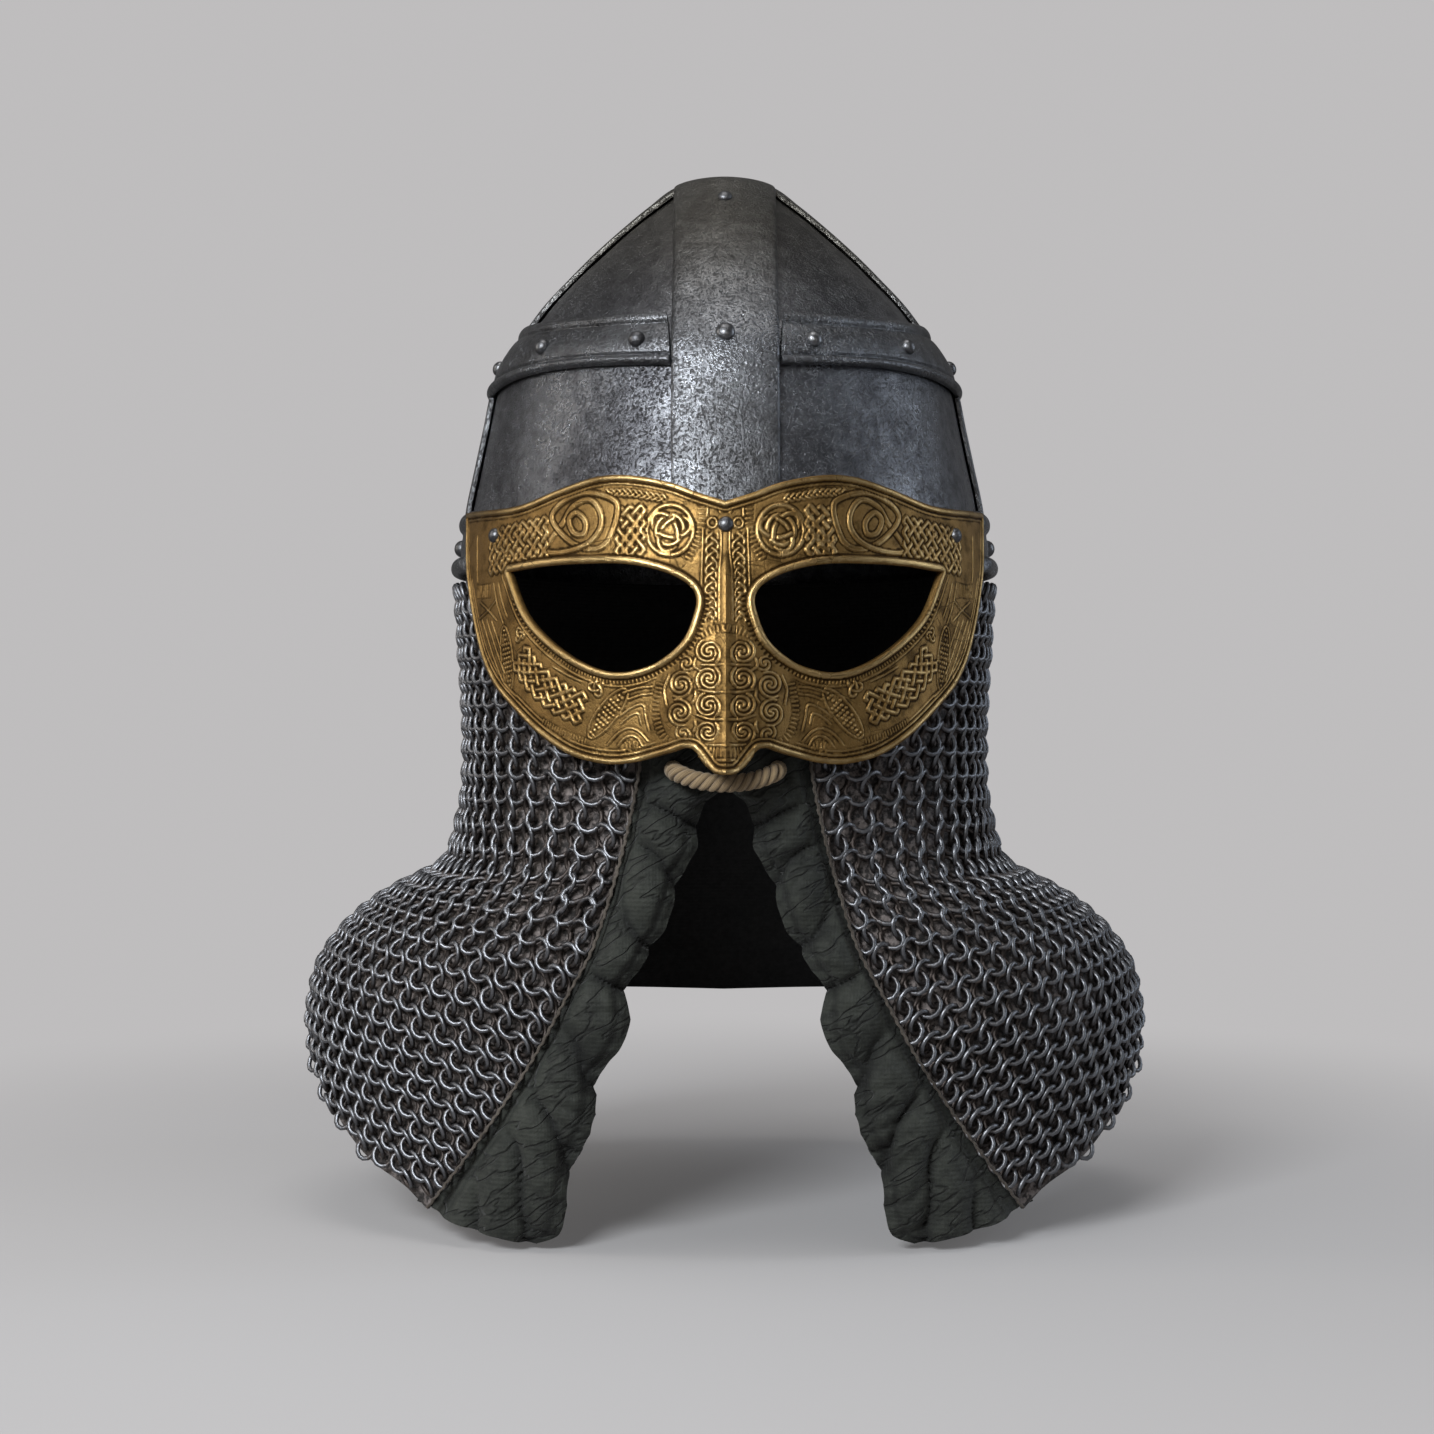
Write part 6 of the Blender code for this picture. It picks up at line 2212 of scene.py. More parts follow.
@dataclass
class MailRings:
    """The mail: rows of rings, each through two rings above and two below."""

    curtain: Curtain
    columns: int = 36
    wire: float = 0.00092
    # Half sizes, as shares of the step to the next ring and to the second row down
    half_width: float = 0.345
    half_height: float = 0.485
    skew: float = 0.14
    # Where a ring of each kind hangs in its cell, and the direction in which it stands out
    shifts: tuple[tuple[float, float], ...] = ((0.16, 0.0), (0.60, 0.66))
    ways_out: tuple[float, float] = (-135.0, 45.0)
    lift: float = 0.0021
    inset: float = 0.0015
    squeeze: float = 0.3
    around: int = 12
    sides: int = 5
    spread: float = 0.9
    lower_from: float = -0.272
    # How far the rings keep from the curtain's top edge and from its hem
    top_margin: float = 0.0020
    hem_margin: float = 0.0024
    # Heights between which the columns' crowding towards the front edge sets in
    crowded: tuple[float, float] = (-0.300, -0.225)
    # How much rings differ in place, in turn in radians, and in size and wire as a share
    loose_place: float = 0.00010
    loose_turn: float = 0.12
    loose_size: float = 0.02
    loose_wire: float = 0.04
    # Turns and heights for which the levels are measured
    first_turn: float = 15.0
    drop: tuple[float, float] = (-0.150, -0.430)
    # Heights of every second row, from the neck down
    levels: tuple[float, ...] = (
        -0.1560, -0.1650, -0.1740, -0.1828, -0.1918, -0.2008, -0.2096, -0.2185, -0.2273, -0.2363,
        -0.2457, -0.2554, -0.2643, -0.2727, -0.2810, -0.2897, -0.2980, -0.3061, -0.3147, -0.3224,
        -0.3304, -0.3377, -0.3446, -0.3510, -0.3576, -0.3645, -0.3707, -0.3770, -0.3835,
    )

    def __post_init__(self) -> None:
        """Finds where each level lies at every turn, so that rows stay evenly apart."""
        self.turns = np.linspace(self.first_turn, 180.0, 56)
        self.steps = np.linspace(*self.drop, 561)
        spots = self.curtain.outside(np.radians(self.turns)[:, None], self.steps[None])
        gone = np.cumsum(np.linalg.norm(np.diff(spots, axis=1), axis=-1), axis=1)
        gone = np.pad(gone, ((0, 0), (1, 0)))
        front = self.curtain.front_turn(self.steps)
        wanted = [np.interp(turn, self.turns, gone[:, i]) for i, turn in enumerate(front)]
        self.lowered = np.stack([np.interp(wanted, row, self.steps) for row in gone])

    def place_in(self, table: Array, value: Array) -> Array:
        """How many steps of an even table a value lies past its first, held inside the table."""
        return np.clip((value - table[0]) / (table[1] - table[0]), 0, len(table) - 1.001)

    def height_at(self, turn: Array, level: Array) -> Array:
        """The height of a level at a turn. At the front edge it is the level itself.

        Args:
            turn: Turns from the front in degrees.
            level: The levels.

        Returns:
            The heights.
        """
        across, down = self.place_in(self.turns, turn), self.place_in(self.steps, level)
        i, j = across.astype(int), down.astype(int)
        u, v, table = across - i, down - j, self.lowered
        near = table[i, j] * (1 - v) + table[i, j + 1] * v
        far = table[i + 1, j] * (1 - v) + table[i + 1, j + 1] * v
        return near * (1 - u) + far * u

    def template(self) -> tuple[Array, Array, Array]:
        """One ring, spun from its wire's section.

        Returns:
            For each corner its angle round the ring and round the wire, and the faces.
        """
        bm = bmesh.new()
        upright = Matrix.Translation((1.0, 0, 0)) @ Matrix.Rotation(math.pi / 2, 4, "X")
        bmesh.ops.create_circle(bm, segments=self.sides, radius=0.2, matrix=upright)
        spun(bm, bm.verts[:] + bm.edges[:], self.around)
        bmesh.ops.recalc_face_normals(bm, faces=bm.faces[:])
        corners = np.array([vert.co for vert in bm.verts])
        faces = np.array([[vert.index for vert in face.verts] for face in bm.faces])
        bm.free()
        round_ring = np.arctan2(corners[:, 1], corners[:, 0])
        across = np.hypot(corners[:, 0], corners[:, 1]) - 1.0
        return round_ring, np.arctan2(corners[:, 2], across), faces

    def lattice(self) -> tuple[Array, Array, Array]:
        """Where the left half's rings hang.

        Returns:
            Columns as shares of the way back, levels, and 0 or 1 for the kind of row.
        """
        count = len(self.levels)
        places = []
        for kind, (across, down) in enumerate(self.shifts):
            for row in range(count - 1):
                height = np.interp(row + down, np.arange(count), self.levels)
                for column in range(-1, self.columns):
                    places.append(((column + across) / self.columns, height, kind))
        share, level, kind = np.array(places).T
        turn = self.turn_at(share, level)
        height = self.height_at(turn, level)
        top = hermite(self.curtain.collar, turn)[..., 0]
        low = hermite(self.curtain.hem, turn)[..., 0]
        kept = (height < top - self.top_margin) & (height > low + self.hem_margin)
        kept &= (share > 0.0) & (share < 1.001)
        return share[kept], level[kept], kind[kept]

    def turn_at(self, share: Array, height: Array) -> Array:
        """The turn from the front of a column at a height."""
        first = self.curtain.front_turn(height)
        fade = smooth_step(*self.crowded, height)
        bent = share + self.spread * fade * share * np.maximum(1 - share, 0) ** 3
        return first + (180.0 - first) * bent

    def half(self) -> tuple[Array, Array, Array, Array]:
        """The left half's rings.

        Returns:
            The corners of every ring, how far each stands out from 0 to 1, the rings' levels,
            and a ring's faces.
        """
        round_ring, round_wire, faces = self.template()
        share, level, kind = self.lattice()
        source = np.random.default_rng(5)
        count = len(share)

        def spot(shares: Array, levels: Array) -> Array:
            """Points of the left half by shares of the way back and levels."""
            turns = self.turn_at(shares, levels)
            heights = self.height_at(turns, levels)
            return self.curtain.point(turns, heights, self.inset) * (-1, 1, 1)

        step = 0.5 / self.columns
        right = spot(share - step, level) - spot(share + step, level)
        turn, levels = self.turn_at(share, level), np.array(self.levels)
        gaps = np.interp(-level, -(levels[1:] + levels[:-1]) / 2, -np.diff(levels))
        ends = [self.height_at(turn, level + way * gaps / 2) for way in (1, -1)]
        ends = [self.curtain.point(turn, height, self.inset) for height in ends]
        up = (ends[0] - ends[1]) * (-1, 1, 1) - self.skew * right
        outward = unit(np.cross(right, up))
        middle = spot(share, level) + outward * source.normal(0, self.loose_place, (count, 1))
        way_out = np.radians(np.where(kind == 0, *self.ways_out))
        way_out = way_out + source.normal(0, self.loose_turn, count)
        size = 1 + source.normal(0, self.loose_size, (count, 2))
        first = (share < 1 / self.columns) & (kind == 0)

        def line(angle: Array) -> Array:
            """Points of the rings' middle lines."""
            a = np.cos(angle) * self.half_width * size[:, :1]
            b = np.sin(angle) * self.half_height * size[:, 1:]
            a = np.where(first[:, None] & (a > 0), a * self.squeeze, a)
            out = np.cos(angle - way_out[:, None]) * self.lift
            spots = middle[:, None] + a[..., None] * right[:, None] + b[..., None] * up[:, None]
            return spots + out[..., None] * outward[:, None]

        angles = round_ring[None]
        centres = line(angles)
        ahead = unit(line(angles + 0.05) - line(angles - 0.05))
        away = centres - middle[:, None]
        away = unit(away - (away * ahead).sum(-1, keepdims=True) * ahead)
        side = np.cross(ahead, away)
        wire = self.wire * (1 + source.normal(0, self.loose_wire, (count, 1, 1)))
        round_wire = round_wire[None, :, None]
        off_wire = np.cos(round_wire) * away - np.sin(round_wire) * side
        # How far each point stands out; the ring material paints shade where this is low, on the
        # half of each ring that lies back and on the wire's inner side.
        raised = 0.5 + 0.42 * np.cos(angles - way_out[:, None])
        raised = raised + 0.10 * (off_wire * outward[:, None]).sum(-1)
        return centres + off_wire * wire, raised, level, faces

    def build(self, finish: Material) -> None:
        """Makes the rings in four pieces, the upper and the lower mail on both sides.

        Args:
            finish: The material.
        """
        corners, raised, level, faces = self.half()
        source = np.random.default_rng(11)
        for side in Side:
            kept = np.ones(len(level), bool)
            if side is Side.RIGHT:
                kept = np.abs(corners.mean(1)[:, 0]) > 0.001
            halves = {"upper": level > self.lower_from, "lower": level <= self.lower_from}
            for word, part in halves.items():
                chosen = kept & part
                rings = corners[chosen] * (-side.value, 1, 1)
                count, each = rings.shape[:2]
                starts = np.arange(count)[:, None, None] * each
                order = faces if side is Side.LEFT else faces[:, ::-1]
                mesh = bpy.data.meshes.new(f"mail_rings_{word}_{side.word}")
                joined = (order[None] + starts).reshape(-1, 4)
                mesh.from_pydata(rings.reshape(-1, 3).tolist(), [], joined.tolist())
                tones = np.repeat(source.uniform(0, 1, count), each)
                for key, values in (("tone", tones), ("raised", raised[chosen].ravel())):
                    layer = mesh.attributes.new(key, "FLOAT", "POINT")
                    layer.data.foreach_set("value", values)
                dressed(mesh.name, mesh, finish, ["mail_curtain"], 180.0)


@dataclass
class Lining:
    """The leather behind the mail, one wall from edge to edge."""

    curtain: Curtain
    wall: float = 0.0013
    depth: float = 0.0042
    first_column: float = 0.004
    tuck: float = 0.0050
    tuck_inset: float = 0.0026
    # How far it ends below the mail's top edge and hem
    top_drop: float = 0.0010
    hem_drop: float = 0.0015
    uneven: float = 0.0004
    columns: int = 150
    rows: int = 62
    inside_shade: float = 1.3
    flat: tuple[float, float] = (0.86, 0.235)
    area: float = 0.122

    def build(self, finish: Material) -> None:
        """Makes the lining, slightly uneven.

        Args:
            finish: The material.
        """

        def place(across: Array, up: Array) -> Array:
            """Points of the wall.

            Args:
                across: Shares round the helm.
                up: Shares up.

            Returns:
                The points.
            """
            share = 1 - np.abs(2 * across - 1)
            column = self.first_column + (1 - self.first_column) * share
            turn, height = self.curtain.place(column, 1 - up)
            tucked = smooth_step(0.93, 1.0, up) * smooth_step(63.0, 70.0, turn)
            height = height - self.top_drop * up - self.hem_drop * (1 - up)
            side = np.where(across < 0.5, 1.0, -1.0)
            spots = self.curtain.point(turn, height, self.depth + self.tuck_inset * tucked)
            spots[:, 2] += self.tuck * tucked
            uneven = (wander(spots, 0.03, 8) + 1) * self.uneven
            spots = spots - self.curtain.normal(turn, height) * uneven[:, None]
            spots[:, 0] *= side
            return spots

        bm = blank(self.columns, self.rows)
        bend(bm, place)
        # Painted shade: the wall's inner side gets inside_shade, which darkens it almost to black.
        layer = bm.verts.layers.float.new("crease")
        outside = len(bm.verts)
        walled(bm, self.wall)
        for number, vert in enumerate(bm.verts):
            vert[layer] = 0.0 if number < outside else self.inside_shade
        made = piece("lining_wall", bm, finish, ["lining"], 60.0)


@dataclass
class LiningFlaps:
    """The lining's two front flaps, gathered along their inner edge."""

    curtain: Curtain
    wall: float = 0.0016
    # Inner, ruffled edge. Columns: distance from the middle, height
    inner: Table = (
        (0.0012, -0.2150), (0.0016, -0.2350), (0.0078, -0.2405), (0.0128, -0.2580),
        (0.0195, -0.2755), (0.0265, -0.2910), (0.0345, -0.3030), (0.0370, -0.3225),
        (0.0455, -0.3380), (0.0500, -0.3560), (0.0560, -0.3735), (0.0620, -0.3945),
        (0.0689, -0.3987),
    )
    inset: float = 0.0046
    roll: float = 0.0045
    fullness: float = 0.0035
    first_column: float = -0.16
    folds: float = 9.0
    fold_depth: float = 0.0062
    small_depth: float = 0.0024
    uneven: float = 0.0008
    # The seam along the inner edge: how far in it runs, its half width and its depth
    seam_in: float = 0.0036
    seam_half: float = 0.0009
    seam_depth: float = 0.0016
    ruffle: float = 0.0007
    behind_mail: float = 0.0012
    # How far the folds and lumps of two sizes push the inner edge to and fro
    fold_swing: float = 0.0042
    lump_swing: float = 0.0009
    ruffle_swing: float = 0.0003
    # The rope's hole and the dent round it
    tie: tuple[float, float] = (0.0195, -0.2278)
    tie_dent: float = 0.0022
    tie_reach: float = 0.0065
    columns: int = 40
    rows: int = 200
    flat: tuple[float, float] = (0.075, 0.22)
    area: float = 0.0105

    def puffs(self, phase: Array, sharp: float = 0.62) -> Array:
        """Broad rounded folds with narrow valleys between them, from 0 to 1."""
        return np.abs(np.sin(math.pi * phase)) ** sharp

    def folds_at(self, row: Array, column: Array, spots: Array) -> tuple[Array, Array, Array]:
        """The flap's folds.

        Args:
            row: Shares down the flap.
            column: Shares from the mail to the inner edge.
            spots: The flap's points before they are folded.

        Returns:
            The broad puffs and the small ones from 0 to 1, and the fold's height.
        """
        uneven = wander(spots, 0.030, 21)
        slant = 0.65 + 1.4 * smooth_step(0.55, 1.0, row)
        phase = self.folds * row - slant * column + 0.24 * uneven
        deep = smooth_step(0.02, 0.50, column) * smooth_step(0.02, 0.16, row)
        broad = self.puffs(phase, 0.5)
        height = (broad - 0.62) * self.fold_depth * deep
        small = self.puffs(self.folds * 2.3 * row - 0.8 * column + 0.8 * uneven, 0.6)
        inner = smooth_step(0.35, 0.95, column) * smooth_step(0.08, 0.18, row)
        height += (small - 0.6) * self.small_depth * inner
        height += self.uneven * wander(spots, 0.011, 33)
        return 1 - (1 - broad) * deep, 1 - (1 - small) * inner, height

    def laid(self, row: Array, column: Array) -> tuple[Array, Array, Array]:
        """The flap's points before they are folded.

        Args:
            row: Shares down the flap.
            column: Shares from the mail to the inner edge.

        Returns:
            The points, their distance from the inner edge, and the height of the mail's edge.
        """
        edge_x, edge_z = np.moveaxis(along(self.curtain.edge_rows, row), -1, 0)
        inner_x, inner_z = np.moveaxis(along(with_lengths(self.inner), row), -1, 0)
        width = np.hypot(inner_x - edge_x, inner_z - edge_z)
        x, z = edge_x + (inner_x - edge_x) * column, edge_z + (inner_z - edge_z) * column
        return stacked(x, z, 0.0), (1 - column) * width, edge_z

    def seam(self, far: Array) -> Array:
        """1 on the seam and 0 away from it, by the distance from the inner edge."""
        return np.exp(-(((far - self.seam_in) / self.seam_half) ** 2))

    def crease(self, row: Array, column: Array) -> Array:
        """How much painted shade each point gets, deepest in the folds' valleys and on the seam.

        Args:
            row: Shares down the flap.
            column: Shares from the mail to the inner edge.

        Returns:
            Depths from 0 to 1.
        """
        spots, far, _ = self.laid(row, column)
        broad, small, _ = self.folds_at(row, column, spots)
        # Painted shade: darkest in the valleys between puffs, and along the seam's groove.
        seam = self.seam(far) * smooth_step(0.14, 0.2, row)
        broad, small = smooth_step(0.75, 0.20, broad), smooth_step(0.60, 0.15, small)
        return np.clip(broad + 0.6 * small + 0.7 * seam, 0.0, 1.0)

    def point(self, row: Array, column: Array) -> Array:
        """Points of the left flap.

        Args:
            row: Shares down the flap.
            column: Shares from the mail to the inner edge.

        Returns:
            The points.
        """
        spots, far, edge_z = self.laid(row, column)
        broad, _, fold = self.folds_at(row, column, spots)
        x, z = spots[:, 0], spots[:, 1]
        gathered = smooth_step(0.14, 0.22, row)
        length = stacked(row * self.curtain.edge_rows[-1, 0], 0.0, 0.0)
        ruffle = wander(length, 0.0042, 17)
        fold += ruffle * self.ruffle * smooth_step(0.009, 0.001, far) * gathered
        fold -= self.seam_depth * self.seam(far) * gathered
        out_of_mail = smooth_step(0.02, 0.22, column)
        rolled = self.roll * smooth_step(0.0075, 0.0, far) ** 2
        full = self.fullness * np.sin(math.pi * np.clip(column, 0, 1)) * out_of_mail
        behind = self.behind_mail * smooth_step(0.03, -0.03, column)
        inset = self.inset * (1 - 0.6 * out_of_mail) + rolled - full - fold + behind
        hole = np.hypot(x - self.tie[0], z - self.tie[1])
        inset += self.tie_dent * np.exp(-((hole / self.tie_reach) ** 2))
        bulge = (broad - 0.75) * self.fold_swing + wander(length, 0.011, 41) * self.lump_swing
        bulge = bulge + ruffle * self.ruffle_swing
        x = np.maximum(x - bulge * smooth_step(0.5, 1.0, column) * gathered, 0.0006)
        spots = self.curtain.point(self.curtain.edge_turn(x, edge_z), edge_z, inset)
        spots[:, 2] += z - edge_z
        return spots * (-1, 1, 1)

    def build(self, finish: Material) -> None:
        """Makes both flaps.

        Args:
            finish: The material.
        """

        def column(across: Array) -> Array:
            """Shares from the mail to the inner edge, below 0 behind the mail."""
            return self.first_column + (1 - self.first_column) * across

        def place(across: Array, up: Array) -> Array:
            """Points of the left flap by its shares across and up."""
            return self.point(1 - up, column(across))

        for side in Side:
            bm = blank(self.columns, self.rows)
            across, up, _ = np.array([vert.co for vert in bm.verts]).T + 0.5
            # Painted shade for the leather's colour, in the folds' valleys and on the seam.
            layer = bm.verts.layers.float.new("crease")
            for vert, value in zip(bm.verts, self.crease(1 - up, column(across))):
                vert[layer] = value
            bend(bm, place)
            if side is Side.RIGHT:
                bmesh.ops.scale(bm, vec=(-1, 1, 1), verts=bm.verts[:])
                bmesh.ops.reverse_faces(bm, faces=bm.faces[:])
            walled(bm, self.wall)
            node = f"lining_flap_{side.word}"
            made = piece(f"flap_{side.word}", bm, finish, [node], 75.0)


@dataclass
class Piping:
    """The thin strip along the seam between the mail and each flap."""

    curtain: Curtain
    width: float = 0.0013
    wall: float = 0.0011
    start: float = 0.015
    run: float = 0.975
    form: Table = ((0.0, -0.6), (1.0, -0.6), (1.0, 1.0), (0.0, 1.0))
    gap: float = 0.0005
    stand: float = 0.0012
    wave: float = 0.0003
    wave_rate: float = 310.0
    stations: int = 170

    def build(self, finish: Material) -> None:
        """Makes the strip on both sides.

        Args:
            finish: The material.
        """
        section = Section(self.form)
        for side in Side:

            def place(around: Array, length: Array, way: int = side.value) -> Array:
                """Points of the strip by shares round its section and along it."""
                across, lift = section.at(around)
                row = self.start + self.run * length
                edge_x, edge_z = np.moveaxis(along(self.curtain.edge_rows, row), -1, 0)
                half, front, _ = np.moveaxis(hermite(self.curtain.shape, edge_z), -1, 0)
                wave = self.wave * np.sin(length * self.wave_rate)
                x = edge_x - self.gap - self.width * across + wave
                lift = GAP + self.wall * lift + self.stand
                return stacked(way * x, -front * np.sqrt(1 - (x / half) ** 2) - lift, edge_z)

            bm = tube(section.count, self.stations, place)
            node = f"mail_edge_{side.word}"
            piece(f"edge_strip_{side.word}", bm, finish, [node])


@dataclass
class RopeTie:
    """The short three-strand rope through the flaps, with a stop knot behind each."""

    route: Table = (
        (0.0000, -0.1262, -0.2322), (0.0098, -0.1252, -0.2312), (0.0168, -0.1214, -0.2288),
        (0.0184, -0.1152, -0.2278), (0.0184, -0.1040, -0.2278), (0.0184, -0.0960, -0.2278),
    )
    strand: float = 0.00142
    offset: float = 0.00188
    lay: float = 0.0096
    stations: int = 220
    sides: int = 14
    # The stop knots: radius of their turns and of their strand, how many half turns, and how far
    # they start before the rope's end and run on
    knot: float = 0.0034
    knot_strand: float = 0.0021
    knot_turns: float = 4.2
    knot_before: float = 0.0030
    knot_run: float = 0.0075

    def line(self, shares: Array) -> Array:
        """Points of the rope's middle line."""
        left = [(-x, y, z) for x, y, z in self.route[:0:-1]]
        return along(with_lengths([*left, *self.route]), shares)

    def frame_at(self, spots: Array) -> tuple[Array, Array]:
        """Directions square to a line of points, level with it and across it."""
        ahead = unit(np.gradient(spots, axis=0))
        side = unit(np.cross(ahead, (0.0, 0.0, 1.0)))
        return side, np.cross(side, ahead)

    def sheath(self, bm: BMesh, middles: Array, aways: Array, radius: float) -> None:
        """Adds a closed tube round a line.

        Args:
            bm: The mesh that it joins.
            middles: The line's points.
            aways: At each point the direction away from the rope's middle.
            radius: The tube's radius.
        """
        ahead = unit(np.gradient(middles, axis=0))
        first = unit(aways - (aways * ahead).sum(-1, keepdims=True) * ahead)
        second = np.cross(ahead, first)
        stations = len(middles) - 1

        def place(around: Array, length: Array) -> Array:
            """Points of the tube by shares round its section and along it."""
            angle = 2 * math.pi * around[:, None]
            at = np.rint(length * stations).astype(int)
            return middles[at] + (np.cos(angle) * first[at] + np.sin(angle) * second[at]) * radius

        mesh = meshed("strand", tube(self.sides, stations, place))
        before = len(bm.verts)
        bm.from_mesh(mesh)
        bpy.data.meshes.remove(mesh)
        bm.verts.ensure_lookup_table()
        # How far out on the strand each point lies, which the rope's material uses for painted
        # shade where strands meet.
        layer = bm.verts.layers.float["outer"]
        for vert in bm.verts[before:]:
            near = int(np.argmin(((middles - np.array(vert.co)) ** 2).sum(-1)))
            way = np.array(vert.co) - middles[near]
            vert[layer] = 0.5 + 0.5 * float(way @ unit(aways[near])) / radius

    def build(self, finish: Material) -> None:
        """Makes the strands and the two knots.

        Args:
            finish: The material.
        """
        bm = bmesh.new()
        bm.loops.layers.uv.new("surface")
        bm.verts.layers.float.new("outer")
        spots = self.line(np.linspace(0.0, 1.0, self.stations))
        side, across = self.frame_at(spots)
        length = with_lengths(spots)[:, 0]
        for number in range(3):
            angle = 2 * math.pi * (length / self.lay + number / 3)
            away = np.cos(angle)[:, None] * side + np.sin(angle)[:, None] * across
            self.sheath(bm, spots + away * self.offset, away, self.strand)
        x, y, z = self.route[-1]
        angle = np.linspace(0.0, self.knot_turns * math.pi, 64)
        away = stacked(np.cos(angle), 0 * angle, np.sin(angle))
        for way in (-1, 1):
            depth = y - self.knot_before + self.knot_run * angle / angle[-1]
            centre = stacked(way * x, depth, z)
            self.sheath(bm, centre + away * self.knot, away, self.knot_strand)
        piece("rope", bm, finish, ["rope_tie"], 60.0)


# The studio


@dataclass(frozen=True)
class Lamp:
    """A soft light: its place, its width and height, its power in watts and its colour."""

    name: str
    spot: tuple[float, float, float]
    size: tuple[float, float]
    power: float
    color: tuple[float, float, float]
    aim: tuple[float, float, float] = (0.0, 0.0, -0.16)

    def build(self) -> None:
        """Hangs the light up, facing the point that it aims at."""
        light = bpy.data.lights.new(self.name, "AREA")
        light.shape, light.size, light.size_y = "RECTANGLE", *self.size
        light.energy, light.color = self.power, self.color
        made = shown(self.name, light)
        made.location = self.spot
        facing = Vector(self.aim) - Vector(self.spot)
        made.rotation_euler = facing.to_track_quat("-Z", "Y").to_euler()


COLD, WARM = (0.78, 0.88, 1.0), (1.0, 0.94, 0.86)
LAMPS = (
    Lamp("key", (-0.52, -1.12, 0.34), (0.55, 0.36), 21.0, (0.93, 0.97, 1.0)),
    Lamp("top", (-0.10, -0.20, 1.30), (0.9, 0.8), 7.5, (1.0, 0.985, 0.965)),
    Lamp("rim_right", (1.15, 0.05, 0.10), (0.30, 0.90), 3.2, COLD),
    Lamp("rim_left", (-1.20, -0.05, 0.18), (0.30, 0.90), 3.6, WARM),
    Lamp("front_low", (0.30, -1.40, -0.10), (0.7, 0.5), 1.2, WARM, aim=(0.0, 0.0, -0.28)),
)


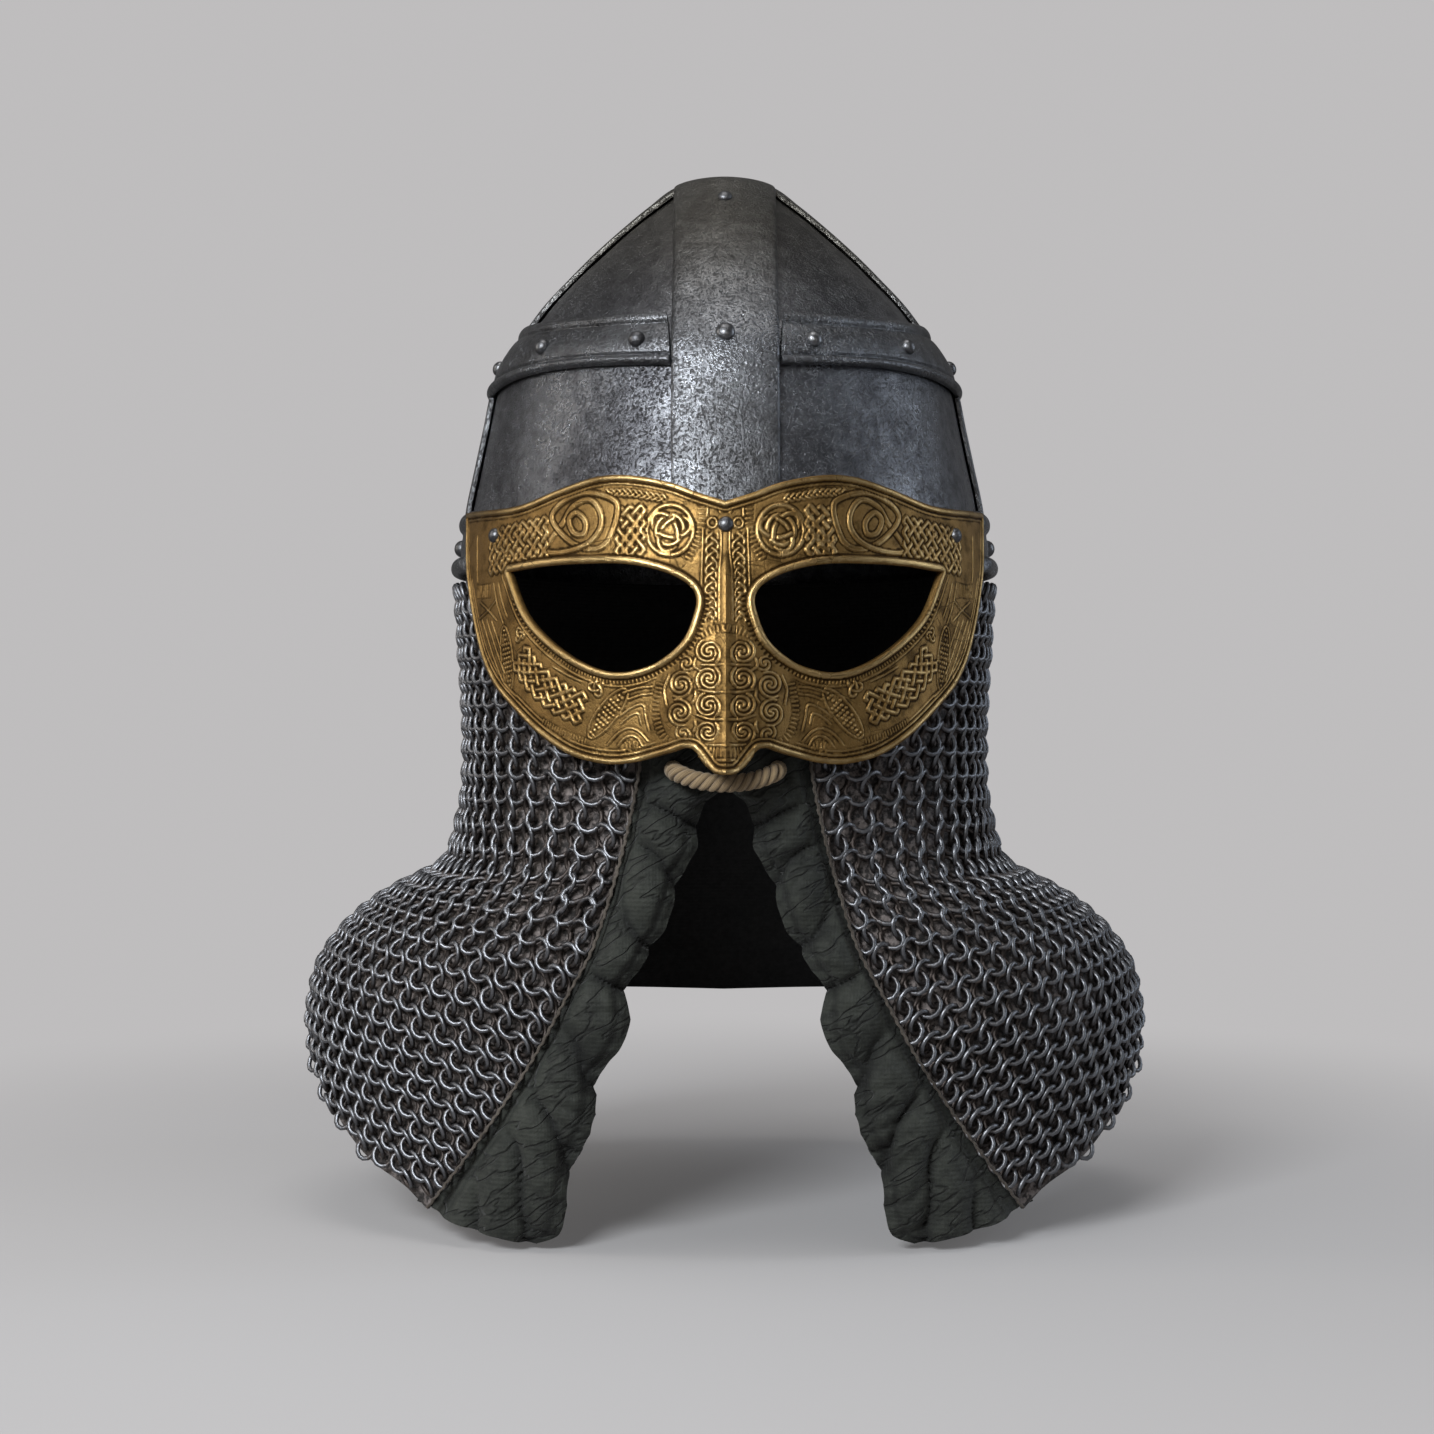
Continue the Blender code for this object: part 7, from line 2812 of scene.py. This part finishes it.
@dataclass
class Studio:
    """A pale floor that rises into a round backdrop, soft lights and the camera."""

    floor_height: float = -0.4010
    # Half section of floor and backdrop. Columns: distance from the middle, height over the floor
    outline: Table = (
        (0.0, 0.0), (0.5, 0.0), (1.4, 0.0), (2.4, 0.0), (3.0, 0.15), (3.35, 0.6), (3.5, 1.4),
        (3.5, 3.4),
    )
    pale: Color = (0.520, 0.510, 0.514, 1.0)
    floor: Color = (0.44, 0.430, 0.434, 1.0)
    dim: Color = grey(0.115, -0.02)
    # Distances from the origin between which the floor turns into an even glow
    glow_from: float = 0.30
    glow_full: float = 0.75
    lens: float = 62.76
    camera_spot: tuple[float, float, float] = (-0.003, -1.0, -0.209)

    def floor_material(self) -> Material:
        """Pale matt floor that glows evenly far from the helm.

        Returns:
            The material.
        """
        material, w, shader, spot = new_material("studio_floor")
        far = w.add("ShaderNodeVectorMath", {0: spot}, operation="LENGTH").outputs["Value"]
        share = w.span(far, self.glow_from, self.glow_full)
        plain = {"Base Color": self.floor, "Roughness": 1.0, "Specular IOR Level": 0.0}
        w.feed(shader, plain)
        seen = w.add("ShaderNodeLightPath").outputs["Is Camera Ray"]
        power = w.plus(w.times(seen, 0.75), 0.25)
        glow = w.add("ShaderNodeEmission", {"Color": self.pale, "Strength": power})
        mixed = w.add("ShaderNodeMixShader", {0: share, 1: shader.outputs[0], 2: glow.outputs[0]})
        out = material.node_tree.nodes["Material Output"]
        w.tree.links.new(mixed.outputs[0], out.inputs["Surface"])
        return material

    def backdrop(self) -> None:
        """Floor and backdrop in one, spun from a half section."""
        bm = bmesh.new()
        spun(bm, profile(bm, [(x, z + self.floor_height) for x, z in self.outline]), 64)
        bmesh.ops.remove_doubles(bm, verts=bm.verts[:], dist=1e-5)
        mesh = meshed("floor", bm)
        mesh.shade_smooth()
        mesh.materials.append(self.floor_material())
        shown("floor", mesh)

    def world(self) -> None:
        """A dim grey world, pale where the camera sees it."""
        world = bpy.data.worlds.new("studio_world")
        world.use_nodes = True
        w = Wiring(world.node_tree)
        seen = w.add("ShaderNodeLightPath").outputs["Is Camera Ray"]
        shade = world.node_tree.nodes["Background"]
        w.tree.links.new(w.blend(seen, self.dim, self.pale), shade.inputs["Color"])
        bpy.context.scene.world = world

    def camera(self) -> None:
        """The camera, level and in front."""
        lens = bpy.data.cameras.new("camera")
        lens.sensor_width, lens.lens = 36.0, self.lens
        made = shown("camera", lens)
        made.location = self.camera_spot
        made.rotation_euler = (math.pi / 2, 0.0, 0.0)
        bpy.context.scene.camera = made

    def build(self) -> None:
        """Sets everything up."""
        self.backdrop()
        self.world()
        self.camera()
        for lamp in LAMPS:
            lamp.build()
        settings = bpy.context.scene.view_settings
        settings.view_transform, settings.look = "Standard", "None"


# Everything


def main() -> None:
    """Builds every class in order."""
    logging.basicConfig(level=logging.INFO, format="%(name)s %(message)s")
    skull_steel = SteelFinish(
        "skull_steel_dark",
        dark=(0.064, 0.064, 0.070, 1.0),
        light=(0.188, 0.193, 0.208, 1.0),
        gloss=(0.27, 0.37),
        bump=0.00045,
        pitting=0.75,
        top_tint=(0.80, 0.74, 0.62, 1.0),
    ).material()
    strap_steel = SteelFinish(
        "strap_steel",
        dark=(0.074, 0.074, 0.077, 1.0),
        light=(0.190, 0.196, 0.210, 1.0),
        gloss=(0.26, 0.36),
        bump=0.00045,
        pitting=0.7,
        top_tint=(0.82, 0.76, 0.64, 1.0),
    ).material()
    rivet_steel = SteelFinish(
        "rivet_steel_bright",
        dark=(0.075, 0.075, 0.080, 1.0),
        light=(0.190, 0.192, 0.200, 1.0),
        gloss=(0.28, 0.40),
        bump=0.00010,
        grain=1.5,
    ).material()
    leather = LeatherFinish(
        "lining_leather_dark",
        dark=(0.0135, 0.0148, 0.0125, 1.0),
        light=(0.030, 0.0325, 0.027, 1.0),
        wrinkles=0.8,
    ).material()
    strip = LeatherFinish(
        "strip_leather",
        dark=(0.035, 0.028, 0.022, 1.0),
        light=(0.085, 0.072, 0.060, 1.0),
    ).material()
    backing = LeatherFinish(
        "lining_leather_brown",
        dark=(0.045, 0.037, 0.034, 1.0),
        light=(0.240, 0.208, 0.198, 1.0),
        mottle=0.85,
    ).material()
    dome, form, curtain = Dome(), MaskForm(), Curtain()
    SkullPlates(dome).build(skull_steel)
    bands = Bands(dome)
    bands.build(strap_steel)
    Rivets(bands, form).build(rivet_steel)
    SpectacleMask(form).build(BrassFinish().material())
    MailRings(curtain).build(RingFinish().material())
    Lining(curtain).build(backing)
    LiningFlaps(curtain).build(leather)
    Piping(curtain).build(strip)
    RopeTie().build(RopeFinish().material())
    Studio().build()


if __name__ == "__main__":
    main()
